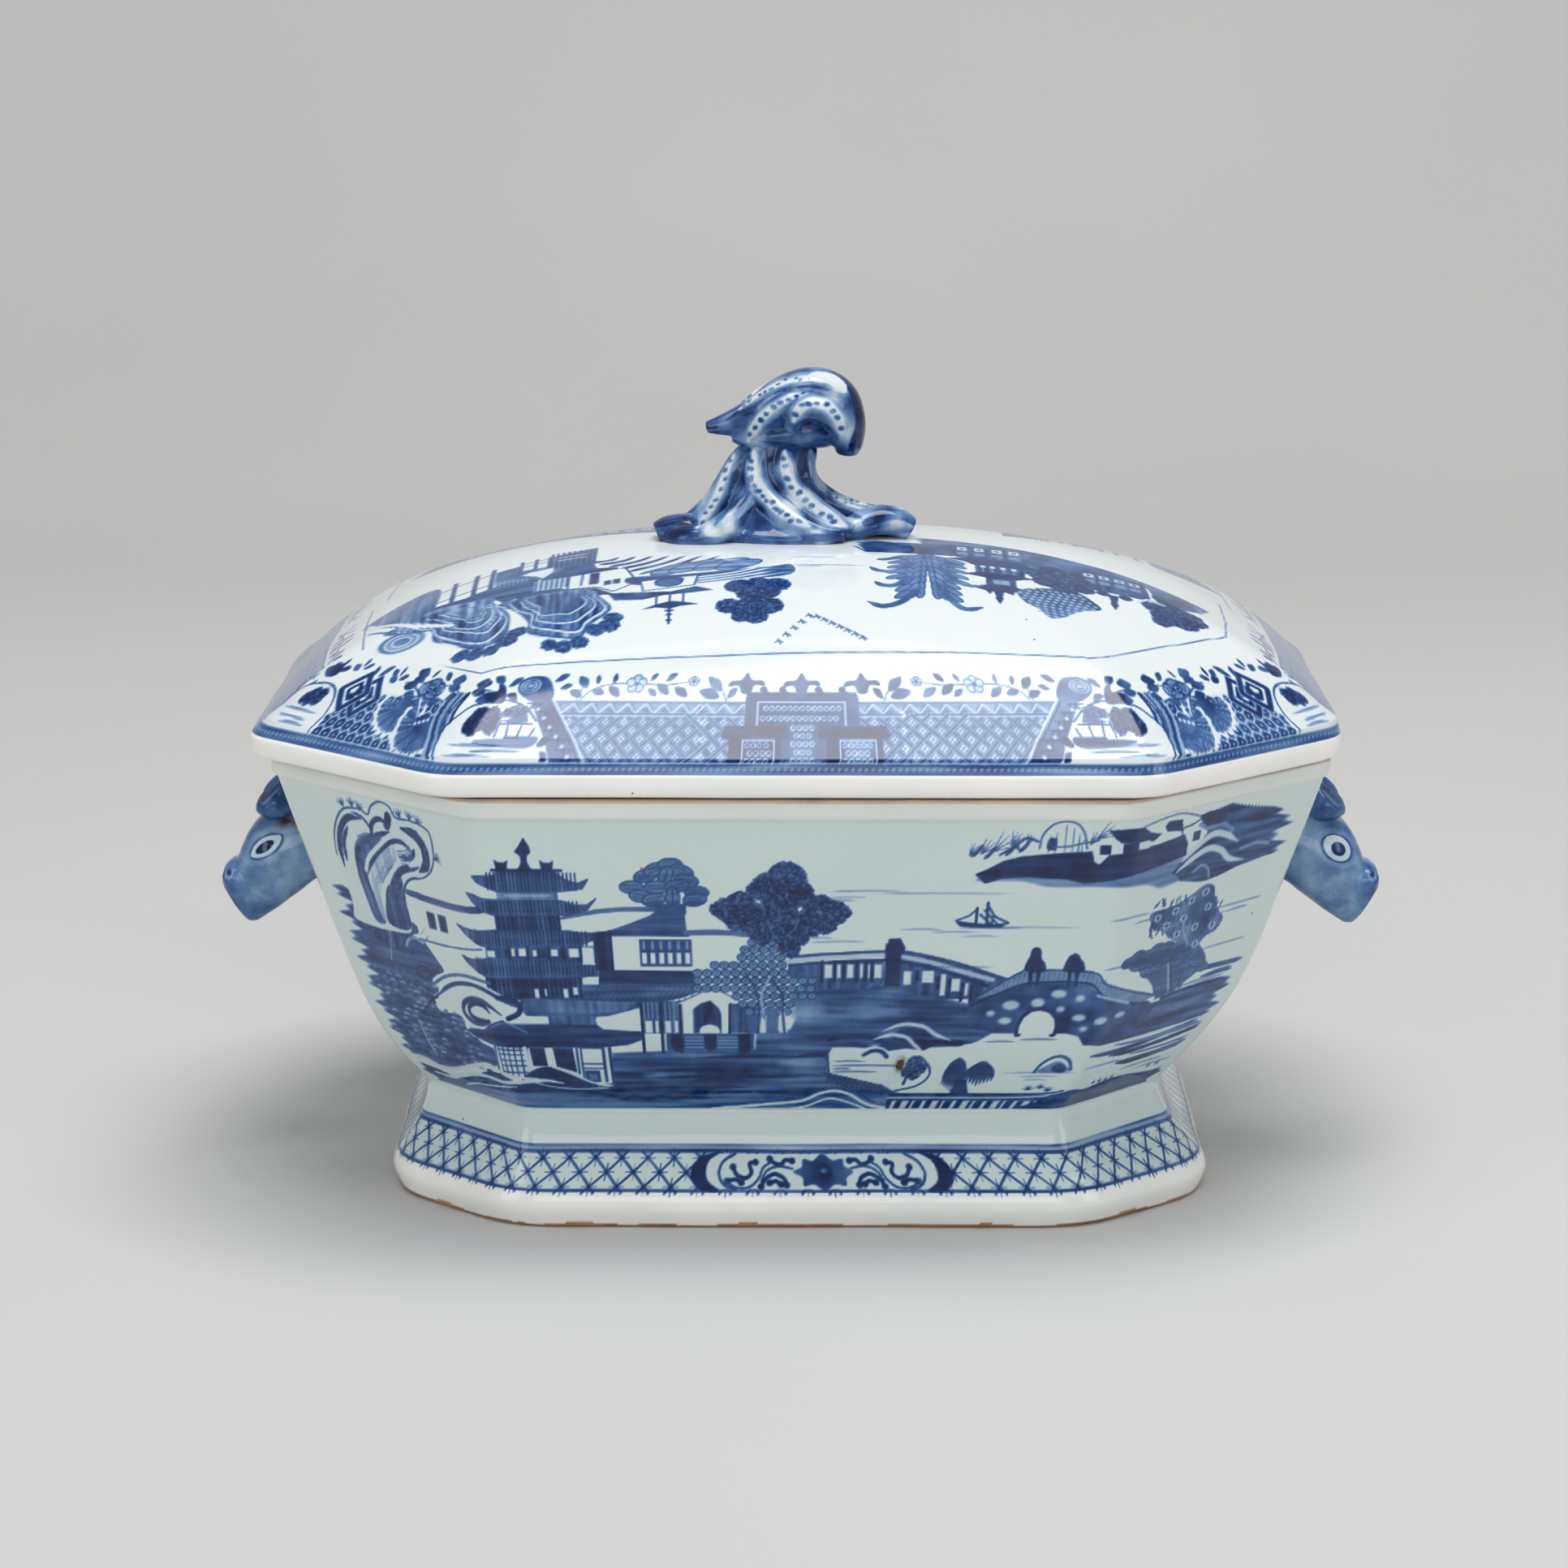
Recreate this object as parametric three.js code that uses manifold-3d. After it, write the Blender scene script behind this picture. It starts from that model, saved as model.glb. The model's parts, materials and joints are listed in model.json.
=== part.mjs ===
// Soup tureen: a canted-rectangle porcelain bowl on a spreading foot, with two
// animal-head handles and a loose domed cover. Millimetres, +Z up, +X along the
// length. The origin is on the table under the middle of the foot.
import * as THREE from 'three';
import { mergeVertices } from 'three/addons/utils/BufferGeometryUtils.js';
import Module from 'manifold-3d';

const wasm = await Module();
wasm.setup();

// ---- Driving dimensions -------------------------------------------------------

const JOIN_GAP = 0.3; // between pieces that are luted or rest together
const WALL = 7; // bowl wall thickness
const DOME_WALL = 6.5; // cover wall thickness

// Outer half sizes of a horizontal section through the canted rectangle:
// [height, half length, half width, x of the front corners, y of the end corners]
const BOWL_SECTIONS = [
  [33, 108, 81.5, 76, 47],
  [38, 112.5, 85, 78, 48],
  [47, 120, 91, 80.5, 49.5],
  [57, 126.5, 96.5, 83, 50.5],
  [73, 133.6, 102.5, 86, 52],
  [92, 140, 107.5, 88, 53.5],
  [108, 145.5, 112, 90, 54.5],
  [123, 150.5, 115.5, 91, 55.5],
  [131, 153, 117.5, 92, 57],
];
const FOOT_SECTIONS = [
  [0, 118, 89, 79, 51],
  [4, 119.5, 90.5, 80, 51],
  [9, 119.5, 90.5, 80, 51],
  [13, 117, 88.5, 79, 50],
  [18, 113, 85.5, 78, 49],
  [24, 109.5, 82.5, 77, 48],
  [31, 107.5, 81, 76, 47],
];
const CORNER_RADIUS = 6;
const CORNER_STEPS = 2;

const BOWL_UNDERSIDE = 31.3;
const BOWL_FLOOR = 39;
const FLOOR_COVE = 9; // rise of the rounded joint between floor and wall
const MOUTH = 131;
const FOOT_BASE_WIDTH = 9; // width of the flat ring that the tureen stands on

const LID = {
  shift: -1.2, // the cover sits a little towards one end of the mouth
  underside: MOUTH + 0.4,
  halfLength: 157,
  halfWidth: 120,
  cornerX: 99,
  cornerY: 63,
  ledgeWidth: 20, // flat underside that rests on the mouth
  domeShift: 0.5, // and its dome is not quite in the middle of its flange
  domeBase: 142.5,
  domeHalfLength: 154,
  domeHalfWidth: 118,
  domeRise: 44.8,
};
const SEAT = { top: 131.1, bottom: 122.5, inset: 15, taper: 1.5, thickness: 5 };

const HEAD = { centreY: 0, ringPoints: 14 };
// Sections of a handle head from the bowl's wall to the muzzle:
// [crown x, crown z, jaw x, jaw z, half width]; x is measured from the centre
const HEAD_SECTIONS = [
  [157, 105, 146.5, 79.5, 13.5],
  [163.5, 101, 150, 78, 14.5],
  [167.5, 95, 153.5, 75.5, 13.5],
  [169.8, 89.5, 157, 73, 11.8],
  [173.5, 86, 160, 70.6, 10.8],
  [175, 83, 163, 69, 9.4],
];
const HEAD_ON_WALL = { top: 107, bottom: 78.5, halfWidth: 12.5 };
const EAR = { x: 157.6, y: 8.2, z: 107, radiusX: 5.4, radiusY: 3.8, radiusZ: 6.6 };

const FINIAL_POINTS = 16;
// Sections of the stalk: [z, centre x, half length, half width]
const STEM_SECTIONS = [
  [190, -6, 27, 18],
  [193.9, -7, 21, 16],
  [197.8, -8.5, 16.5, 14],
  [202.6, -8.7, 14.4, 12.5],
  [207.5, -8.2, 13.2, 11.5],
  [212.7, -6.5, 12.2, 9],
];
const STEM_FOOT = { centreX: -6, halfLength: 29, halfWidth: 19 };
// Sections of the curled leaf from its tip over the crest to the drooping end:
// [x, z, half thickness, half width, tilt of the section in degrees]
const CURL_SECTIONS = [
  [-27.2, 218.8, 0.9, 1.2, 0],
  [-21, 219.1, 5.2, 7, 0],
  [-11, 222.6, 8.9, 12.5, 0],
  [0, 225.4, 11.2, 15.5, 0],
  [8, 225.2, 11.6, 15.5, 8],
  [14.2, 222.2, 10.3, 13, 14],
  [17.6, 217.6, 5.8, 8, 20],
];
const CREST_Z = 237.3;
const LOBES = [
  { name: 'finial_lobe_left', x: -40.6, y: -4, radiusX: 4.6, radiusY: 8.5, height: 5.2 },
  { name: 'finial_lobe_right', x: 29.8, y: -3, radiusX: 6, radiusY: 8, height: 6.4 },
];

const COLOURS = {
  bowl: 0xc8d6d4,
  foot: 0xd2dcdb,
  head: 0x5f7fb0,
  lid: 0xe9ecee,
  seat: 0xc9b8a0,
  finial: 0xaebfd8,
};

// ---- Closed lofts through rings of points -------------------------------------

// Rings all have the same number of points and run anticlockwise seen from the
// end of the loft. A closed loft joins the last ring to the first, and an open
// one is closed by a fan over each end.
function loft(rings, closed = false) {
  const count = rings[0].length;
  const points = rings.flat();
  const faces = [];
  const bands = closed ? rings.length : rings.length - 1;
  for (let i = 0; i < bands; i += 1) {
    const here = i * count;
    const next = ((i + 1) % rings.length) * count;
    for (let j = 0; j < count; j += 1) {
      const k = (j + 1) % count;
      faces.push(here + j, here + k, next + k);
      faces.push(here + j, next + k, next + j);
    }
  }
  if (!closed) {
    const last = (rings.length - 1) * count;
    const startCentre = points.push(ringCentre(rings[0])) - 1;
    const endCentre = points.push(ringCentre(rings[rings.length - 1])) - 1;
    for (let j = 0; j < count; j += 1) {
      const k = (j + 1) % count;
      faces.push(startCentre, k, j);
      faces.push(endCentre, last + j, last + k);
    }
  }
  const geometry = new THREE.BufferGeometry();
  const position = new THREE.Float32BufferAttribute(points.flatMap((p) => [p.x, p.y, p.z]), 3);
  geometry.setAttribute('position', position);
  geometry.setIndex(faces);
  return geometry;
}

function ringCentre(ring) {
  const centre = new THREE.Vector3();
  ring.forEach((p) => centre.add(p));
  return centre.divideScalar(ring.length);
}

// ---- The canted rectangle -------------------------------------------------------

function cantedCorners(halfLength, halfWidth, cornerX, cornerY) {
  return [
    new THREE.Vector2(-cornerX, -halfWidth),
    new THREE.Vector2(cornerX, -halfWidth),
    new THREE.Vector2(halfLength, -cornerY),
    new THREE.Vector2(halfLength, cornerY),
    new THREE.Vector2(cornerX, halfWidth),
    new THREE.Vector2(-cornerX, halfWidth),
    new THREE.Vector2(-halfLength, cornerY),
    new THREE.Vector2(-halfLength, -cornerY),
  ];
}

// A level ring with its eight corners rounded by short quadratic curves.
function cantedRing(z, halfLength, halfWidth, cornerX, cornerY, radius = CORNER_RADIUS) {
  const corners = cantedCorners(halfLength, halfWidth, cornerX, cornerY);
  const ring = [];
  corners.forEach((corner, i) => {
    const before = corners[(i + 7) % 8].clone().sub(corner).setLength(radius * 0.5).add(corner);
    const after = corners[(i + 1) % 8].clone().sub(corner).setLength(radius * 0.5).add(corner);
    const curve = new THREE.QuadraticBezierCurve(before, corner, after);
    curve.getPoints(CORNER_STEPS).forEach((p) => ring.push(new THREE.Vector3(p.x, p.y, z)));
  });
  return ring;
}

// The same section moved inwards, as an inner wall is.
function insetRing([z, halfLength, halfWidth, cornerX, cornerY], inset, height = z) {
  const trim = inset * Math.tan(Math.PI / 8);
  return cantedRing(height, halfLength - inset, halfWidth - inset, cornerX - trim, cornerY - trim);
}

function sectionAt(sections, z) {
  const above = Math.max(1, sections.findIndex((s) => s[0] >= z));
  const low = sections[above - 1];
  const high = sections[above];
  const part = (z - low[0]) / (high[0] - low[0]);
  return low.map((value, i) => value + (high[i] - value) * part);
}

// ---- Bowl and foot ----------------------------------------------------------------

function bowlGeometry() {
  const base = sectionAt(BOWL_SECTIONS, BOWL_SECTIONS[0][0]);
  const outside = BOWL_SECTIONS.map((section) => cantedRing(...section));
  const wallHeights = [MOUTH, 108, 73, 57].concat(BOWL_FLOOR + FLOOR_COVE);
  const inside = wallHeights.map((z) => insetRing(sectionAt(BOWL_SECTIONS, z), WALL));
  const floorSection = sectionAt(BOWL_SECTIONS, BOWL_FLOOR + FLOOR_COVE);
  return loft([
    insetRing(base, 1, BOWL_UNDERSIDE),
    ...outside,
    ...inside,
    insetRing(floorSection, WALL + FLOOR_COVE * 0.35, BOWL_FLOOR + FLOOR_COVE * 0.35),
    insetRing(floorSection, WALL + FLOOR_COVE, BOWL_FLOOR),
  ]);
}

function footGeometry() {
  const [sole] = FOOT_SECTIONS;
  const top = FOOT_SECTIONS[FOOT_SECTIONS.length - 1];
  return loft([
    insetRing(sole, FOOT_BASE_WIDTH),
    ...FOOT_SECTIONS.map((section) => cantedRing(...section)),
    insetRing(top, WALL + 1),
    insetRing(sectionAt(FOOT_SECTIONS, 13), WALL + 2),
  ], true);
}

// ---- Handle heads and their ears ------------------------------------------------------

// A section of the head between a crown point and a jaw point, in the plane that
// holds both and the Y direction. grow makes it larger all round.
function headRing(crownX, crownZ, jawX, jawZ, halfWidth, grow) {
  const crown = new THREE.Vector3(crownX, HEAD.centreY, crownZ);
  const jaw = new THREE.Vector3(jawX, HEAD.centreY, jawZ);
  const centre = crown.clone().add(jaw).multiplyScalar(0.5);
  const upward = crown.clone().sub(centre);
  upward.setLength(upward.length() + grow);
  return Array.from({ length: HEAD.ringPoints }, (_, i) => {
    const angle = (i / HEAD.ringPoints) * Math.PI * 2;
    const side = new THREE.Vector3(0, Math.cos(angle) * (halfWidth + grow), 0);
    return centre.clone().addScaledVector(upward, Math.sin(angle)).add(side);
  });
}

function headGeometry(grow = 0) {
  const wall = HEAD_ON_WALL;
  const wallRing = headRing(0, wall.top, 0, wall.bottom, wall.halfWidth, grow);
  wallRing.forEach((p) => {
    p.x = sectionAt(BOWL_SECTIONS, p.z)[1] + JOIN_GAP + 0.1;
  });
  return loft([wallRing, ...HEAD_SECTIONS.map((section) => headRing(...section, grow))]);
}

function toSolid(geometry) {
  const bare = geometry.clone();
  bare.deleteAttribute('normal');
  bare.deleteAttribute('uv');
  const merged = mergeVertices(bare);
  return new wasm.Manifold(new wasm.Mesh({
    numProp: 3,
    vertProperties: new Float32Array(merged.attributes.position.array),
    triVerts: new Uint32Array(merged.index.array),
  }));
}

function fromSolid(solid) {
  const mesh = solid.getMesh();
  const geometry = new THREE.BufferGeometry();
  geometry.setAttribute('position', new THREE.BufferAttribute(mesh.vertProperties, 3));
  geometry.setIndex(new THREE.BufferAttribute(mesh.triVerts, 1));
  return geometry;
}

// A round ear standing on the crown of the head, cut to sit just clear of it.
function earGeometry(side) {
  const ball = new THREE.SphereGeometry(1, 12, 8);
  ball.scale(EAR.radiusX, EAR.radiusY, EAR.radiusZ);
  ball.rotateX(side * -0.25);
  ball.translate(EAR.x, side * EAR.y, EAR.z);
  return fromSolid(toSolid(ball).subtract(toSolid(headGeometry(JOIN_GAP))));
}

// ---- Cover ----------------------------------------------------------------------------

const DOME = {
  halfLength: LID.domeHalfLength,
  halfWidth: LID.domeHalfWidth,
  cornerShareX: LID.cornerX / LID.halfLength,
  cornerShareY: LID.cornerY / LID.halfWidth,
  pointsPerSide: 4,
};

// Height of the dome, as a share of its rise: t is 0 at the rim and 1 at the crown.
function domeShare(t) {
  return 1 - (1 - t) ** 2.28 * (1 - 0.55 * t);
}

function domeHeight(t) {
  return LID.domeBase + LID.domeRise * domeShare(t);
}

function domeHalfLength(t) {
  return (1 - t) * (DOME.halfLength + (DOME.halfLength - DOME.halfWidth) * t);
}

function domeHalfWidth(t) {
  return (1 - t) * DOME.halfWidth;
}

// A level ring whose outline goes from the canted rectangle (round 0) to an
// ellipse (round 1).
function coverRing(z, halfLength, halfWidth, round, shift = LID.shift) {
  const cornerX = halfLength * DOME.cornerShareX;
  const cornerY = halfWidth * DOME.cornerShareY;
  const corners = cantedCorners(halfLength, halfWidth, cornerX, cornerY);
  const ring = [];
  corners.forEach((corner, i) => {
    const next = corners[(i + 1) % 8];
    for (let j = 0; j < DOME.pointsPerSide; j += 1) {
      const flat = corner.clone().lerp(next, j / DOME.pointsPerSide);
      const angle = Math.atan2(flat.y / halfWidth, flat.x / halfLength);
      const oval = new THREE.Vector2(Math.cos(angle) * halfLength, Math.sin(angle) * halfWidth);
      flat.lerp(oval, round);
      ring.push(new THREE.Vector3(flat.x + shift, flat.y, z));
    }
  });
  return ring;
}

function domeRound(t) {
  return Math.min(1, 0.1 + 0.9 * (t / 0.5) ** 2.4);
}

function domeRing(t, wall = 0) {
  const step = 0.01;
  const slope = (domeHeight(t + step) - domeHeight(t - step)) / (2 * step * DOME.halfWidth);
  const inset = wall * Math.sin(Math.atan(slope));
  const drop = wall * Math.cos(Math.atan(slope));
  const halfLength = domeHalfLength(t) - inset;
  const halfWidth = domeHalfWidth(t) - inset;
  return coverRing(domeHeight(t) - drop, halfLength, halfWidth, domeRound(t), LID.domeShift);
}

function lidGeometry() {
  const length = LID.halfLength;
  const width = LID.halfWidth;
  const ledge = LID.ledgeWidth;
  const roll = [
    [LID.underside, ledge],
    [LID.underside, 2.6],
    [LID.underside + 1.2, 0.7],
    [LID.underside + 3.4, 0],
    [LID.underside + 7, 0],
    [LID.underside + 8.4, 0.8],
  ];
  const rollRings = roll.map(([z, inset]) => coverRing(z, length - inset, width - inset, 0));
  const underDome = [0.84, 0.62, 0.44, 0.28, 0.15].map((t) => domeRing(t, DOME_WALL));
  const overDome = [0.01, 0.06, 0.12, 0.19, 0.28, 0.38, 0.5, 0.66, 0.84].map((t) => domeRing(t));
  return loft([...underDome, ...rollRings, ...overDome]);
}

function seatGeometry() {
  const length = LID.halfLength - SEAT.inset;
  const width = LID.halfWidth - SEAT.inset;
  const ring = (z, inset) => coverRing(z, length - inset, width - inset, 0);
  return loft([
    ring(SEAT.bottom, SEAT.taper + SEAT.thickness),
    ring(SEAT.bottom, SEAT.taper),
    ring(SEAT.top, 0),
    ring(SEAT.top, SEAT.thickness),
  ], true);
}

// Height of the dome over a point near the crown, where its outline is an ellipse.
function crownHeight(x, y) {
  let outside = 0;
  let inside = 1;
  for (let i = 0; i < 30; i += 1) {
    const t = (outside + inside) / 2;
    const reach = Math.hypot((x - LID.domeShift) / domeHalfLength(t), y / domeHalfWidth(t));
    if (reach < 1) {
      outside = t;
    } else {
      inside = t;
    }
  }
  return domeHeight(outside);
}

// ---- Finial -----------------------------------------------------------------------------

function ovalRing(z, centreX, centreY, halfLength, halfWidth) {
  return Array.from({ length: FINIAL_POINTS }, (_, i) => {
    const angle = (i / FINIAL_POINTS) * Math.PI * 2;
    const x = centreX + Math.cos(angle) * halfLength;
    return new THREE.Vector3(x, centreY + Math.sin(angle) * halfWidth, z);
  });
}

// An oval ring laid on the dome, clear of it by the joint's gap.
function crownRing(centreX, centreY, halfLength, halfWidth) {
  const ring = ovalRing(0, centreX, centreY, halfLength, halfWidth);
  ring.forEach((p) => {
    p.z = crownHeight(p.x, p.y) + JOIN_GAP * 2;
  });
  return ring;
}

function stemGeometry() {
  const foot = STEM_FOOT;
  const rings = STEM_SECTIONS.map(([z, x, length, width]) => ovalRing(z, x, 0, length, width));
  return loft([crownRing(foot.centreX, 0, foot.halfLength, foot.halfWidth), ...rings]);
}

function curlGeometry() {
  const rings = CURL_SECTIONS.map(([x, z, thickness, width, tilt]) => {
    const lean = THREE.MathUtils.degToRad(tilt);
    const across = new THREE.Vector3(Math.sin(lean), 0, Math.cos(lean));
    return Array.from({ length: FINIAL_POINTS }, (_, i) => {
      const angle = (i / FINIAL_POINTS) * Math.PI * 2;
      const p = new THREE.Vector3(x, Math.cos(angle) * width, z);
      return p.addScaledVector(across, Math.sin(angle) * thickness);
    });
  });
  const geometry = loft(rings);
  geometry.computeBoundingBox();
  geometry.translate(0, 0, CREST_Z - geometry.boundingBox.max.z);
  return geometry;
}

function lobeGeometry(lobe) {
  const { x, y, radiusX, radiusY, height } = lobe;
  const base = crownHeight(x, y) + JOIN_GAP * 2;
  return loft([
    crownRing(x, y, radiusX * 0.9, radiusY * 0.9),
    ovalRing(base + height * 0.45, x, y, radiusX, radiusY),
    ovalRing(base + height * 0.85, x, y, radiusX * 0.7, radiusY * 0.7),
    ovalRing(base + height, x, y, radiusX * 0.25, radiusY * 0.25),
  ]);
}

// ---- Assembly ---------------------------------------------------------------------------

function porcelain(colour, roughness = 0.2) {
  return new THREE.MeshStandardMaterial({ color: colour, roughness, metalness: 0 });
}

function piece(name, geometry, material) {
  const mesh = new THREE.Mesh(geometry, material);
  mesh.name = name;
  return mesh;
}

const tureen = new THREE.Group();
const bowl = new THREE.Group();
const cover = new THREE.Group();
tureen.add(bowl, cover);

bowl.add(piece('bowl', bowlGeometry(), porcelain(COLOURS.bowl)));
bowl.add(piece('foot', footGeometry(), porcelain(COLOURS.foot)));

// The left end is the right end turned half a turn about the upright axis.
const ENDS = [
  { name: 'right', turn: 0, front: -1 },
  { name: 'left', turn: Math.PI, front: 1 },
];
ENDS.forEach(({ name, turn, front }) => {
  const end = new THREE.Group();
  end.rotation.z = turn;
  end.add(piece(`head_${name}`, headGeometry(), porcelain(COLOURS.head)));
  end.add(piece(`ear_${name}_front`, earGeometry(front), porcelain(COLOURS.head)));
  end.add(piece(`ear_${name}_back`, earGeometry(-front), porcelain(COLOURS.head)));
  bowl.add(end);
});

cover.add(piece('lid', lidGeometry(), porcelain(COLOURS.lid)));
cover.add(piece('seating_ring', seatGeometry(), porcelain(COLOURS.seat, 0.7)));
cover.add(piece('finial_stem', stemGeometry(), porcelain(COLOURS.finial)));
cover.add(piece('finial_curl', curlGeometry(), porcelain(COLOURS.finial)));
LOBES.forEach((lobe) => {
  cover.add(piece(lobe.name, lobeGeometry(lobe), porcelain(COLOURS.finial)));
});

export default tureen;
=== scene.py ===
"""The looks of a blue and white porcelain soup tureen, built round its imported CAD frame.

Lengths are in millimetres in the frame's axes until a mesh is made, +Z up and the
long side facing -Y. The painting is drawn stroke by stroke on flat sheets and then
read at the vertices of dense meshes of the bowl, the foot and the cover.
"""
import json
import math

import bpy
import numpy as np
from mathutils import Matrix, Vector
from mathutils.geometry import convex_hull_2d

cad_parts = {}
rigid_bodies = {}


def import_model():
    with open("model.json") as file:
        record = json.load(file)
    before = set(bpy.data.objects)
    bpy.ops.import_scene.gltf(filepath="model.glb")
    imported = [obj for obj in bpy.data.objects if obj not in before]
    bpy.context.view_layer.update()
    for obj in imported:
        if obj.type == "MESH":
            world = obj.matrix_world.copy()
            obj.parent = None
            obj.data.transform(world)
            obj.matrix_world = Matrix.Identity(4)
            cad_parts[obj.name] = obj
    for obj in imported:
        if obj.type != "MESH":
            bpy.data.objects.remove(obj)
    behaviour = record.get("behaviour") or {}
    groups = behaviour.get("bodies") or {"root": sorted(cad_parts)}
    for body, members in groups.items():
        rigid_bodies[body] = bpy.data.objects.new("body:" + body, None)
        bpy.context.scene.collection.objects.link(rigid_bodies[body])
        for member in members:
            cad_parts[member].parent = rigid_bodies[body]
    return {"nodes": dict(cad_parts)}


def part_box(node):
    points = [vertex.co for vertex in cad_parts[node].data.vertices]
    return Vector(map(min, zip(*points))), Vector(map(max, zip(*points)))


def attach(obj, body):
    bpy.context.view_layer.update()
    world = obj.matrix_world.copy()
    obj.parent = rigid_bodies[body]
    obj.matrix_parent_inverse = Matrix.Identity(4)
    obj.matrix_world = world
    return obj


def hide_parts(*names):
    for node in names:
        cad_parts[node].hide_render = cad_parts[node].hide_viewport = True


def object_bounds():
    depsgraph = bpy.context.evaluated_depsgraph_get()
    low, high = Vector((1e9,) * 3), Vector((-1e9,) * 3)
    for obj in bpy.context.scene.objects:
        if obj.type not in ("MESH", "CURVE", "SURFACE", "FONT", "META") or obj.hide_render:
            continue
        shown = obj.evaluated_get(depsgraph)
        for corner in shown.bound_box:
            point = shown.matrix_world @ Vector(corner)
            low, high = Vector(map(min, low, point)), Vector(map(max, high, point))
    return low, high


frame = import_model()
cad_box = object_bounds()

MM = 0.001


# ==== Painting: a small drawing kit ==============================================
# Cobalt is drawn on flat sheets of numbers in millimetres, 0 for bare glaze and 1
# for the darkest wash. Each dense mesh below reads its vertices' tones from a sheet.

SHEET_STEP = 0.25  # mm between samples of a sheet


def blurred_noise(shape, wide, high, seed):
    """Noise between -1 and 1, smooth over wide by high samples."""
    field = np.random.default_rng(seed).standard_normal(shape).astype(np.float32)
    for axis, reach in ((1, wide), (0, high)):
        for _ in range(2):
            reach = max(1, int(reach))
            padded = np.pad(field, [(reach, reach) if a == axis else (0, 0) for a in (0, 1)], mode="wrap")
            total = np.cumsum(padded, axis=axis)
            near = np.take(total, range(2 * reach, shape[axis] + 2 * reach), axis=axis)
            far = np.take(total, range(0, shape[axis]), axis=axis)
            field = (near - far) / (2 * reach)
    return np.clip(field / (2 * field.std()), -1, 1)


def smooth_path(points, closed=False, steps=6):
    """A Catmull-Rom curve through given points."""
    points = np.asarray(points, float)
    if len(points) < 3:
        return points
    if closed:
        ends = np.vstack([points[-1:], points, points[:2]])
    else:
        ends = np.vstack([2 * points[:1] - points[1:2], points, 2 * points[-1:] - points[-2:-1]])
    t = np.arange(steps)[:, None] / steps
    pieces = []
    for a, b, c, d in zip(ends[:-3], ends[1:-2], ends[2:-1], ends[3:]):
        pieces.append(0.5 * (2 * b + (c - a) * t + (2 * a - 5 * b + 4 * c - d) * t**2
                             + (3 * b - a - 3 * c + d) * t**3))
    if not closed:
        pieces.append(points[-1:])
    return np.vstack(pieces)


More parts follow.
